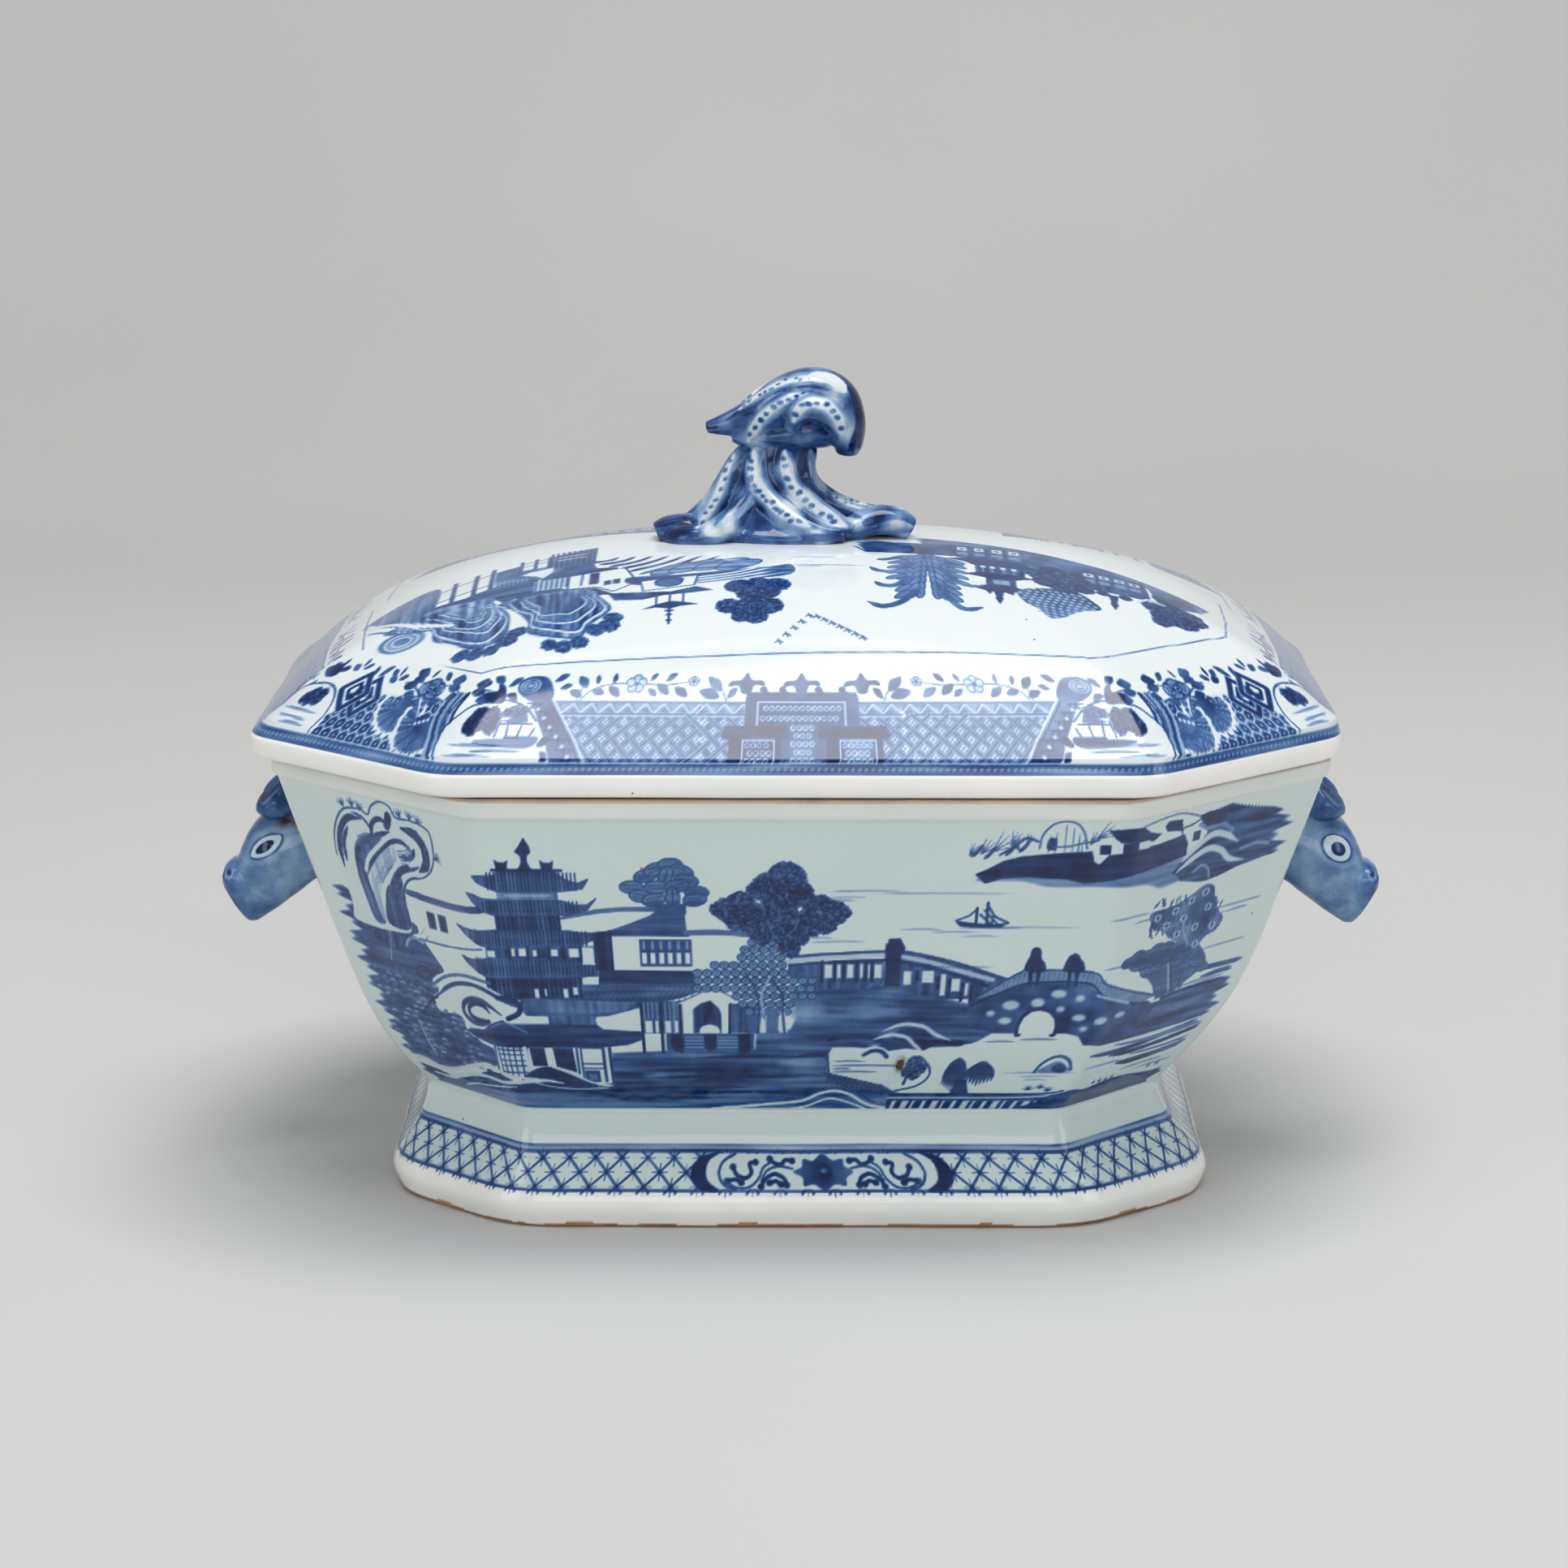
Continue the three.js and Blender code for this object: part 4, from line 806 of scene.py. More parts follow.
def foreshore(pen):
    """Outlined banks, the knoll, the small trees and the fence along the bottom."""
    pen.line([(9, 57.2), (15, 59), (22, 58.6), (27, 56.4)], 1.5, DARK, taper=(0.3, 0.3))
    pen.fill([(10, 55.6), (18, 57), (24, 55.4), (28, 57.8), (33, 58), (38, 54.4), (34, 55), (26, 53.8),
              (20, 55)], 0.85, smooth=True)
    pen.fill([(27, 58.8), (32, 61.4), (38, 61), (44, 58.6), (50, 57.4), (49, 55.6), (42, 56),
              (38, 54.2), (34, 57)], 0.94, smooth=True, grain="flat")
    for points in ([(23, 57.8), (28, 59.4), (32.6, 58.6), (35.6, 56), (38.6, 53.8)],
                   [(25.6, 60.8), (31, 62.8), (37, 62.2), (41, 59.6), (46, 57.6)]):
        pen.line(points, 1.3, 0.14, taper=(0.3, 0.3))
    pen.line([(20, 52.8), (21.6, 54.6), (25, 55), (27.6, 53.8), (28.6, 52)], 1.0, 0.08)
    pen.line([(21, 52.6), (23.4, 54), (26, 53.8), (28, 52)], 1.2, 0.9)
    pen.line([(10, 52.4), (10.8, 48), (12, 44.6), (17, 41.6)], 0.7, DEEP)
    leafy_puffs(pen, [(37, 50, 2.2), (39, 48, 1.8), (35.6, 47, 1.8), (37.6, 45.6, 1.5)], 0.8, 3)
    pen.line([(35.6, 45), (35, 42.4)], 0.9, DEEP)
    pen.line([(39.4, 51.2), (42, 48), (42.2, 44.6), (39, 41.6), (33, 40)], 0.7, 0.75)
    for i, x in enumerate(np.arange(11, 29, 1.6)):
        y = 45.4 - (x - 11) * 0.24
        for turn in (35, 120):
            pen.oval(x + (turn == 120) * 0.8, y - (turn == 120) * 1.4, 1.5, 0.5, 0.72, turn=turn - 70)
            pen.ring(x + (turn == 120) * 0.8, y - (turn == 120) * 1.4, 1.5, 0.5, 0.3, DARK,
                     turn=turn - 70)
    for x, y, drop, spread in ((50.4, 49, 10, 3.2), (58, 48, 7, 4.4)):
        pen.oval(x, y, 2.6, 2.2, 0.75, grain="fine")
        willow(pen, x, y + 0.8, drop, spread)
    pen.fill([(52, 44), (50.6, 40), (53, 33), (57, 33), (56.4, 39), (54.6, 44)], 0.88)
    for x, y in ((75, 40.4), (78.6, 41), (81.4, 40)):
        tuft(pen, x, y, 1.8, 6, 160, 90, tone=0.8)
    pen.fill([(-26, 30), (-26, 33.4), (-8, 35), (2, 36), (8, 38.6), (14, 39.6), (20, 37.8),
              (26, 34.6), (36, 33), (36, 30)], 0.72, smooth=True, grain="flat")
    pen.line([(-26, 33.2), (-8, 34.8), (3, 36), (9, 38.8), (14, 39.8), (19, 38.4), (25, 34.8),
              (34, 33.2)], 1.1, 0.08)
    pen.line([(-20, 34.6), (-6, 36), (4, 37.6), (9, 40), (15, 41), (20, 39.4), (27, 35.6)], 0.6, DEEP)
    pen.line([(-4, 32.4), (5, 34.2), (12, 37), (18, 35.8), (25, 33)], 0.8, 0.08)
    pen.box(31, 84, 32.6, 36.4, 0.9)
    pen.box(31, 84, 36.4, 38.7, 0.9)
    pen.line([(31, 37.4), (60, 37.4), (79, 37.9), (86, 39.4)], 0.6, 0.08)
    pen.line([(31, 38.8), (60, 38.8), (80, 39), (87, 40)], 0.5, DARK)
    for i in range(16):
        x = 32 + i * 3.3
        wide = (1.4, 2.2, 0.9)[i % 3]
        pen.fill([(x + 0.8, 36.3), (x + wide + 0.8, 36.3), (x + wide, 33.4), (x, 33.4)], 0.12)
    pen.fill([(74, 30), (80, 36), (84, 38.8), (92, 39.8), (100, 38.8), (112, 40), (126, 39.8),
              (140, 38.6), (152, 38), (172, 39), (172, 30)], 0.86, smooth=True, grain="flat",
             amount=0.12)
    pen.line([(84, 38.9), (91, 40), (101, 39)], 0.5, 0.1)
    for x in (104, 108, 112, 116, 142, 148):
        tuft(pen, x, 40.2, 2.0, 5, 150, 80, tone=0.75)
    left_banks = [
        ([(-172, 40.4), (-150, 41.8), (-140, 40.4), (-130, 40.8), (-120, 42.8), (-110, 45.2),
          (-101.4, 46.8), (-95, 45.6), (-88, 44.4), (-80, 44)], 1.5),
        ([(-150, 37), (-136, 37.2), (-126, 39.2), (-114, 41.4), (-104, 42), (-96, 41.6),
          (-88, 42.4), (-78, 43.4), (-72, 42.4)], 1.4),
        ([(-130, 35.4), (-118, 37.6), (-106, 38.6), (-96, 39.8), (-88, 40.8)], 0.8),
        ([(-75.6, 48.6), (-70, 46.4), (-64, 43.4), (-59, 41.8), (-56, 41.8)], 0.8),
        ([(-82, 42.8), (-76, 41.2), (-68, 40.4), (-58, 40.8)], 0.5),
    ]
    pen.fill([(-172, 30), (-172, 39), (-148, 38.8), (-132, 37.8), (-116, 40.6), (-100, 44.6),
              (-88, 43), (-76, 39.6), (-62, 39.4), (-54, 37), (-54, 30)], 0.9, smooth=True,
             grain="flat", amount=0.15)
    pen.fill([(-81, 46.8), (-75, 48.2), (-68, 45.2), (-61, 41.8), (-68, 39.4), (-79, 40),
              (-86, 42)], 0.92, smooth=True)
    pen.fill([(-172, 30), (-172, 35.4), (-140, 34.8), (-120, 36), (-90, 38.6), (-60, 38), (-50, 30)],
             0.55, smooth=True, grain="flat", soft=1.4)
    for points, width in left_banks:
        pen.line(points, width, 0.1, taper=(0.5, 0.4))


def paint_bowl_side(pen):
    near_ground(pen)
    far_shore(pen)
    boulder_bank(pen)
    swirl_rock(pen)
    wall_with_windows(pen)
    white_walled_hall(pen)
    pagoda(pen)
    pagoda_hall(pen)
    scroll_mound(pen)
    balustrade(pen)
    little_gate(pen)
    cloud_tree(pen)
    arched_bridge(pen)
    far_island(pen)
    little_boat(pen)
    lakeside_tree(pen)
    foreshore(pen)
    ripples(pen, [(7, 30, 103.9), (8, 19, 102), (6, 16, 101), (20, 60, 103.2), (2, 20, 88.4),
                  (3, 10, 89.6), (28, 40, 92.2), (37, 56, 80.8), (-60, -40, 90.6)])


# ---- The band round the foot ------------------------------------------------------------

def eight_rays(pen, x, y, size, width):
    for i in range(4):
        angle = math.radians(45 * i)
        reach = size if i % 2 else size * 0.9
        dx, dy = reach * math.cos(angle), reach * math.sin(angle)
        pen.line([(x - dx, y - dy), (x + dx, y + dy)], width * (1.2 if i % 2 else 1.0), DARK,
                 taper=(0.3, 0.3), smooth=False)


def half_scrolls(pen):
    """The left half of the foot's cartouche: a crescent and club-ended scrolls."""
    pen.fill([(-21.6, 21), (-27.4, 19.8), (-30.2, 16.6), (-29.6, 13.4), (-26, 11), (-21.6, 11),
              (-25, 13.4), (-26, 16.2), (-25, 19)], 1.0, smooth=True)
    pen.line([(-17.4, 20.6), (-21, 18.6), (-22.2, 15.6), (-20.6, 12.8), (-17, 11.2)], 0.7, DEEP)
    clubs = [
        [(-11.6, 18.4), (-13.4, 18), (-12.8, 15.8), (-14.4, 14.4), (-17, 15.2), (-18.2, 17.2)],
        [(-19.6, 13.6), (-17.4, 14), (-15.6, 13.2)],
        [(-0.9, 18.8), (-2.8, 19), (-4.4, 17.8), (-6.4, 18.4), (-7.4, 19.3)],
        [(-10, 12.2), (-8.8, 14.2), (-6.2, 15.4), (-3.6, 14.4), (-2.8, 12.6)],
        [(-7.6, 13.2), (-5.8, 13.6), (-4.4, 12.8)],
    ]
    for path in clubs:
        pen.line(path, 1.0, 0.96)
        for x, y in (path[0], path[-1]):
            pen.oval(x, y, 0.95, 0.85, 0.96)
    pen.line([(-20.4, 14), (-17.6, 12.1), (-13.6, 12), (-10.8, 14.2), (-9.4, 17), (-6.8, 18.6)],
             0.6, DEEP)
    pen.line([(-10, 13.6), (-8.4, 16.2), (-5, 17.4), (-1, 16.8)], 0.6, DEEP)


def paint_foot_band(pen, half):
    """half is how far the sheet reaches each way from the middle of the front."""
    pen.box(-half, half, 20.8, 23.2, 0.3, grain="flat", amount=0.5)
    pen.line([(-half, 21.2), (half, 21.2)], 0.9, 0.78, grain="flat", amount=0.3)
    pen.line([(-half, 22.9), (half, 22.9)], 0.5, 0.6, grain="flat", amount=0.5)
    pen.line([(-half, 11.1), (half, 11.1)], 0.75, 0.78, grain="flat", amount=0.3)
    pitch = 2 * half / 48
    for i in range(-26, 26):
        x = (i + 0.2) * pitch
        for low, high in ((10.6, 21), (21, 10.6)):
            pen.line([(x, low), (x + 1.4 * pitch, high)], 0.62, 0.74, smooth=False, grain="blot")
        for j in range(3):
            eight_rays(pen, x + (0.2 + 0.5 * (j % 2)) * pitch, 12.1 + j * 3.7, 2.5, 0.6)
    pen.fill([(-21, 20.6), (-27, 19), (-28.4, 16), (-27, 12.6), (-21, 11.5), (36, 11.5), (42, 12.6),
              (43.4, 16), (42, 19), (36, 20.6)], 0.04)
    half_scrolls(pen)
    half_scrolls(pen.at(15, wide=-1, high=1))
    flower = [(-0.8, 16), (1.8, 17.2), (2.4, 19.2), (5.2, 18.8), (8, 20.6), (10.8, 18.9),
              (13.8, 19.2), (14.2, 17.4), (16.6, 16), (14.4, 14.4), (14, 12.4), (11, 12.8),
              (8, 11.2), (5, 12.8), (2.2, 12.4), (1.8, 14.6)]
    pen.fill(flower, 0.78, smooth=True, grain="blot")
    pen.ring(8, 16.2, 2.2, 1.5, 0.8, 1.0)
    pen.oval(8, 16.2, 0.8, 0.5, 0.5)


# ---- The border of the cover -------------------------------------------------------------
# x runs round the cover from the middle of its long side, y inwards from the dome's foot.

BORDER_TOP = 10.3  # height of the lozenge diaper
BORDER_LOW = -1.1  # where the diaper meets the beaded edge, on the rounded shoulder


def leaf(pen, x, y, turn, length, tone=0.66, width=0.3):
    c, s = math.cos(math.radians(turn)) * length / 2, math.sin(math.radians(turn)) * length / 2
    nx, ny = -s * 2 * width, c * 2 * width
    pen.fill([(x - c, y - s), (x - c * 0.2 + nx * 0.9, y - s * 0.2 + ny * 0.9),
              (x + c * 0.5 + nx * 0.6, y + s * 0.5 + ny * 0.6), (x + c, y + s),
              (x + c * 0.3 - nx * 0.7, y + s * 0.3 - ny * 0.7),
              (x - c * 0.5 - nx * 0.6, y - s * 0.5 - ny * 0.6)], tone, smooth=True, grain="blot")


def blossom(pen, x, y, size):
    for i in range(5):
        angle = math.radians(72 * i + 90)
        spot = (x + size * 0.62 * math.cos(angle), y + size * 0.5 * math.sin(angle))
        pen.oval(*spot, size * 0.44, size * 0.4, 0.16)
        pen.ring(*spot, size * 0.44, size * 0.4, 0.3, 0.6)
    pen.oval(x, y, size * 0.22, size * 0.2, 0.8)


def quatrefoils(pen, left, right, pitch):
    """Double-lined lozenges, each round a white four-petalled flower."""
    pen.box(left, right, BORDER_LOW, BORDER_TOP, 0.66, grain="blot", amount=0.2)
    first, last = int(left // pitch) - 1, int(right // pitch) + 2
    half, row = pitch / 2, 2.05
    rows = 6
    foot, top = BORDER_LOW - 0.4, BORDER_LOW - 0.4 + rows * row
    for i in range(first, last):
        x = (i + 0.5) * pitch
        for a, b in (((x, foot), (x + rows * half, top)), ((x, top), (x + rows * half, foot))):
            pen.line([a, b], 1.15, 0.3, smooth=False)
            pen.line([a, b], 0.4, 0.86, smooth=False)
    for i in range(2 * first, 2 * last + 2 * rows):
        for j in range(rows + 1):
            if (i + j) % 2 == 0 and left - 1 < i * half < right + 1:
                x, y = i * half, foot + j * row
                for dx, dy in ((0.68, 0), (-0.68, 0), (0, 0.56), (0, -0.56)):
                    pen.oval(x + dx, y + dy, 0.42, 0.36, 0.03)
                pen.oval(x, y, 0.2, 0.18, 0.8)


def triangle_strip(pen, left, right, pitch):
    pen.box(left, right, BORDER_TOP, BORDER_TOP + 2.6, 0.1)
    pen.box(left, right, BORDER_TOP, 13.9, 0.36, grain="flat")
    for i in range(int(left // pitch), int(right // pitch) + 1):
        x = i * pitch
        for k in range(5):
            pen.line([(x + k * 0.5, 10.9 + k * 0.1), (x + 1.3 + k * 0.5, 13.3 - k * 0.4)], 0.28, 0.62)
        pen.line([(x, 10.9), (x + pitch / 2, 13.5), (x + pitch, 10.9)], 0.42, 0.08, smooth=False)
    for y, width, tone in ((BORDER_TOP + 0.1, 0.7, 0.12), (10.7, 0.35, 0.7), (13.9, 0.4, 0.6)):
        pen.line([(left, y), (right, y)], width, tone, smooth=False)


def dotted_rings(pen, left, right, low, high, gap, size=0.62, ground=0.7):
    """Rows of white rings on a blue ground."""
    pen.box(left, right, low, high, ground, grain="blot")
    rows = max(1, int((high - low) / gap))
    for j in range(rows):
        y = low + (j + 0.5) * (high - low) / rows
        for x in np.arange(left + gap * (0.5 + 0.5 * (j % 2)), right - size, gap):
            pen.ring(x, y, size, size * 0.9, 0.34, 0.06)


def garden_gate(pen):
    """The cartouche in the middle of each long side."""
    pen.fill([(-12.8, 0), (-12.8, 15.4), (-12.4, 16.8), (19.4, 16.8), (20, 15.4), (20, 0)], 0.7,
             grain="blot", amount=0.15)
    dotted_rings(pen, -8.6, 15.4, 8.6, 13.7, 1.75)
    dotted_rings(pen, 0.2, 7.4, BORDER_LOW, 8.4, 1.75)
    pen.line([(-9.2, 8), (-9.2, 14.1), (16, 14.1), (16, 8)], 0.55, 0.12, smooth=False)
    for left, right in ((-19.2, 0), (8, 28.4)):
        pen.fill([(left, 5.6), (left + 1, 7.8), (right - 1, 7.8), (right, 5.6), (right - 0.8, 4.8),
                  (left + 0.8, 4.8)], 0.95, smooth=False, grain="blot", amount=0.1)
        pen.box(left + 2.4, right - 2.4, BORDER_LOW, 5.2, 0.92)
        dotted_rings(pen, left + 6.6, right - 4.6, BORDER_LOW, 4.2, 1.75, ground=0.8)
        pen.line([(left + 6.2, BORDER_LOW), (left + 6.2, 4.5), (right - 4.2, 4.5),
                  (right - 4.2, BORDER_LOW)], 0.55, 0.1, smooth=False)
    for x in (-13, 3.4, 21.4):
        trefoil = [(x - 5.4, 18.4), (x - 4.6, 19.9), (x - 1.6, 20.4), (x, 22.6), (x + 1.6, 20.4),
                   (x + 4.6, 20.2), (x + 5.4, 18.8), (x + 2.4, 18.9), (x + 1.2, 16.6),
                   (x - 1.2, 16.6), (x - 2.4, 18.7)]
        pen.fill(trefoil, 0.74, smooth=True, grain="blot", amount=0.2)
    for x in (-7.8, -2.2, 8.4, 15.4):
        pen.oval(x, 17.6, 1.1, 0.9, 0.7)
        pen.line([(x, 17), (x + 1.4, 16.6)], 0.8, 0.7)


def sprigs(pen, leaves, stems, flowers):
    for stem in stems:
        pen.line(stem, 0.34, 0.6)
    for x, y, turn, length in leaves:
        leaf(pen, x, y, turn, length)
    for x, y, size in flowers:
        blossom(pen, x, y, size)


def scroll_roll(pen):
    """The diagonal lattice band with its rolled-up end and the white strap beside it."""
    pen.fill([(64.6, BORDER_LOW), (79.6, 15), (84, 15), (85.4, 12.4), (75, BORDER_LOW)], 0.6, grain="blot")
    for i in range(7):
        x, y = 66.5 + i * 2.5, i * 2.25
        pen.line([(x, y), (x + 5, y - 0.2)], 0.35, 0.92, smooth=False)
        pen.line([(x + 2.4, y - 1.4), (x + 3.6, y + 2.2)], 0.35, 0.92, smooth=False)
        pen.oval(x + 3.6, y + 0.6, 0.7, 0.5, 0.12)
    pen.line([(64.6, BORDER_LOW), (79.6, 15)], 0.7, 0.12, smooth=False)
    pen.line([(66, BORDER_LOW), (80.4, 14.4)], 0.35, DEEP, smooth=False)
    pen.fill([(74.2, BORDER_LOW), (84.2, 12.4), (86, 10), (81.4, 4), (80, BORDER_LOW)], 0.04)
    leaf(pen, 78.4, 3.8, -30, 3.8, 0.95, 0.32)
    leaf(pen, 77.4, 0.6, 25, 4, 0.9, 0.3)
    pen.fill([(79.4, 15.6), (83, 20.2), (88, 21), (91.6, 19.4), (90.6, 16.4), (86, 14), (82, 13.8)],
             0.66, smooth=True, grain="blot")
    pen.oval(87.8, 18.2, 3.5, 2.2, 0.2)
    for share in (1, 0.68, 0.34):
        pen.ring(87.8, 18.2, 3.5 * share, 2.2 * share, 0.35, 0.66)


def scalloped_view(pen):
    """A white reserve with a hut, trees and water."""
    pen.fill([(79, BORDER_LOW), (80.6, 4), (82.6, 8.6), (86.6, 12), (92, 13.8), (98, 13.4), (103, 12.2),
              (106.6, 9.6), (110, 6.4), (110.4, 3), (107, BORDER_LOW)], 0.03, smooth=True)
    pen.line([(82, 8.8), (86.4, 12.2), (92, 14), (98, 13.6), (103.4, 12.4), (107, 9.8), (110.4, 6.6),
              (110.8, 3), (107.4, BORDER_LOW)], 0.4, DEEP)
    leafy_puffs(pen, [(96, 9.4, 2.6), (99.4, 9.2, 2.8), (101.6, 7.8, 1.9), (95, 7.4, 1.6)], 0.8, 21)
    leafy_puffs(pen, [(87, 11.2, 1.2), (89.4, 11.2, 1.5), (91.6, 11, 1)], 0.6, 22)
    pen.fill([(85.4, 10.6), (89.4, 9.4), (92.4, 8.8), (88.4, 8.2), (84.4, 8.6)], 0.6)
    for path in ([(83, 8.2), (92.6, 8)], [(90.2, 8.8), (89.6, 5)], [(92.6, 8.8), (93, 5)],
                 [(82, 7), (83, 4.8), (90, 4.8)], [(86, 7.6), (86.4, 5)]):
        pen.line(path, 0.42, DEEP, smooth=False)
    pen.fill([(80.6, 5), (88, 4.6), (95, 4.4), (99, 3.8), (92, 2.8), (82, 2.6)], 0.66, smooth=True,
             grain="flat")
    ripples(pen, [(83, 98, 1.6), (88, 107, 2.8), (90, 106, 0.6)], tone=0.5, width=0.4)
    leafy_puffs(pen, [(100.6, 6.4, 1.2), (102.4, 6.8, 1)], 0.9, 23)


def ribbon_folds(pen):
    for i, tone in enumerate((0.8, 0.25, 0.62, 0.3, 0.74, 0.2)):
        x = 106.4 + i * 1.5
        pen.line([(x + 1, 15.4 - i * 0.2), (x + 3, 10), (x + 1.4, 4), (x - 3, BORDER_LOW)], 1.1, tone)
    pen.line([(108, 15.4), (111.4, 9.6), (109.8, 4.4), (105.4, BORDER_LOW)], 0.4, DARK)


def honeycomb(pen, outline, left, right, rows):
    """Pale hexagon lines on a blue ground, each round a bead."""
    pen.fill(outline, 0.66, grain="blot", amount=0.25)
    wide, row = 3.7, 2.55
    hexagon = [(0, 1.1), (1, 0.5), (1, -0.5), (0, -1.1), (-1, -0.5), (-1, 0.5), (0, 1.1)]
    for j in range(rows):
        for x in np.arange(left + wide / 2 * (j % 2), right - j * 1.7, wide):
            y = BORDER_LOW + 1.2 + j * row
            corners = [(x + wide / 2 * dx, y + 0.62 * row * dy) for dx, dy in hexagon]
            pen.line(corners, 0.42, 0.1, smooth=False)
            pen.oval(x, y, 0.95, 0.8, 0.8)
            pen.oval(x, y, 0.42, 0.36, 0.1)


def petals(pen, x0, y0, reach, turns, tone):
    """A fan of fringed petals round a point, each ribbed and edged with white."""
    for i, turn in enumerate(turns):
        angle = math.radians(turn)
        tip = (x0 + reach * 1.12 * math.cos(angle), y0 + reach * 0.76 * math.sin(angle))
        near = (x0 + 0.3 * (tip[0] - x0), y0 + 0.3 * (tip[1] - y0))
        pen.line([near, tip], 3.1, 0.05, taper=(0.3, 0.9))
        inner = (x0 + 0.86 * (tip[0] - x0), y0 + 0.86 * (tip[1] - y0))
        pen.line([near, inner], 2.4, tone + 0.12 * (i % 2), taper=(0.3, 0.9), grain="blot")
        for side in (-0.13, -0.045, 0.045, 0.13):
            end = (x0 + reach * 1.08 * math.cos(angle + side), y0 + reach * 0.73 * math.sin(angle + side))
            pen.line([(x0, y0), end], 0.26, 0.7, smooth=False)
    pen.oval(x0, y0, reach * 0.42, reach * 0.28, 0.62, grain="blot")


def petal_fan(pen):
    """Two fringed fans on a honeycomb ground."""
    honeycomb(pen, [(110, BORDER_LOW), (113, 5), (113, 12), (120, 13), (136, 12), (146, 9),
                    (157, 6), (163, 3.4), (163, BORDER_LOW)], 111, 163, 5)
    petals(pen, 133, 9.4, 8.6, range(150, 356, 17), 0.3)
    petals(pen, 120.4, 6.2, 8.6, range(170, 380, 19), 0.36)
    pen.line([(134.6, 15), (130, 13.6), (126.6, 10.4), (124.4, 6.4)], 1.5, 0.05, taper=(0.2, 0.2))
    pen.line([(134, 14.4), (130, 13), (126.8, 10), (124.6, 6.6)], 0.5, 0.66)
    for i in range(4):
        pen.oval(119 + 1.5 * i, 7.4 - 0.5 * i, 0.62, 0.5, 0.03)


def rose(pen, x, y):
    pen.oval(x, y, 5.4, 3, 0.5, grain="blot")
    for dx, dy, rx, ry in ((-3.4, 0.2, 2.4, 1.8), (3.2, -0.2, 2.6, 1.9), (0, 1.4, 2.6, 1.5),
                           (-1, -1.4, 2.6, 1.3), (0.6, 0, 1.6, 1.1)):
        pen.ring(x + dx, y + dy, rx, ry, 0.35, 0.85)
        pen.ring(x + dx, y + dy, rx * 0.6, ry * 0.6, 0.25, 0.2)


def lozenge_fret(pen):
    """Two interlaced lozenges with smaller ones inside."""
    for x, y in ((152.6, 9.8), (159, 10.6)):
        lozenge = [(x - 6.2, y), (x, y + 5), (x + 6.2, y), (x, y - 5), (x - 6.2, y)]
        pen.line(lozenge, 2.2, 0.14, smooth=False)
        pen.line(lozenge, 1.5, 0.8, smooth=False)
        inner = [(x - 2.8, y), (x, y + 2.2), (x + 2.8, y), (x, y - 2.2), (x - 2.8, y)]
        pen.line(inner, 1.0, 0.88, smooth=False)
        pen.oval(x, y, 0.8, 0.7, 0.06)


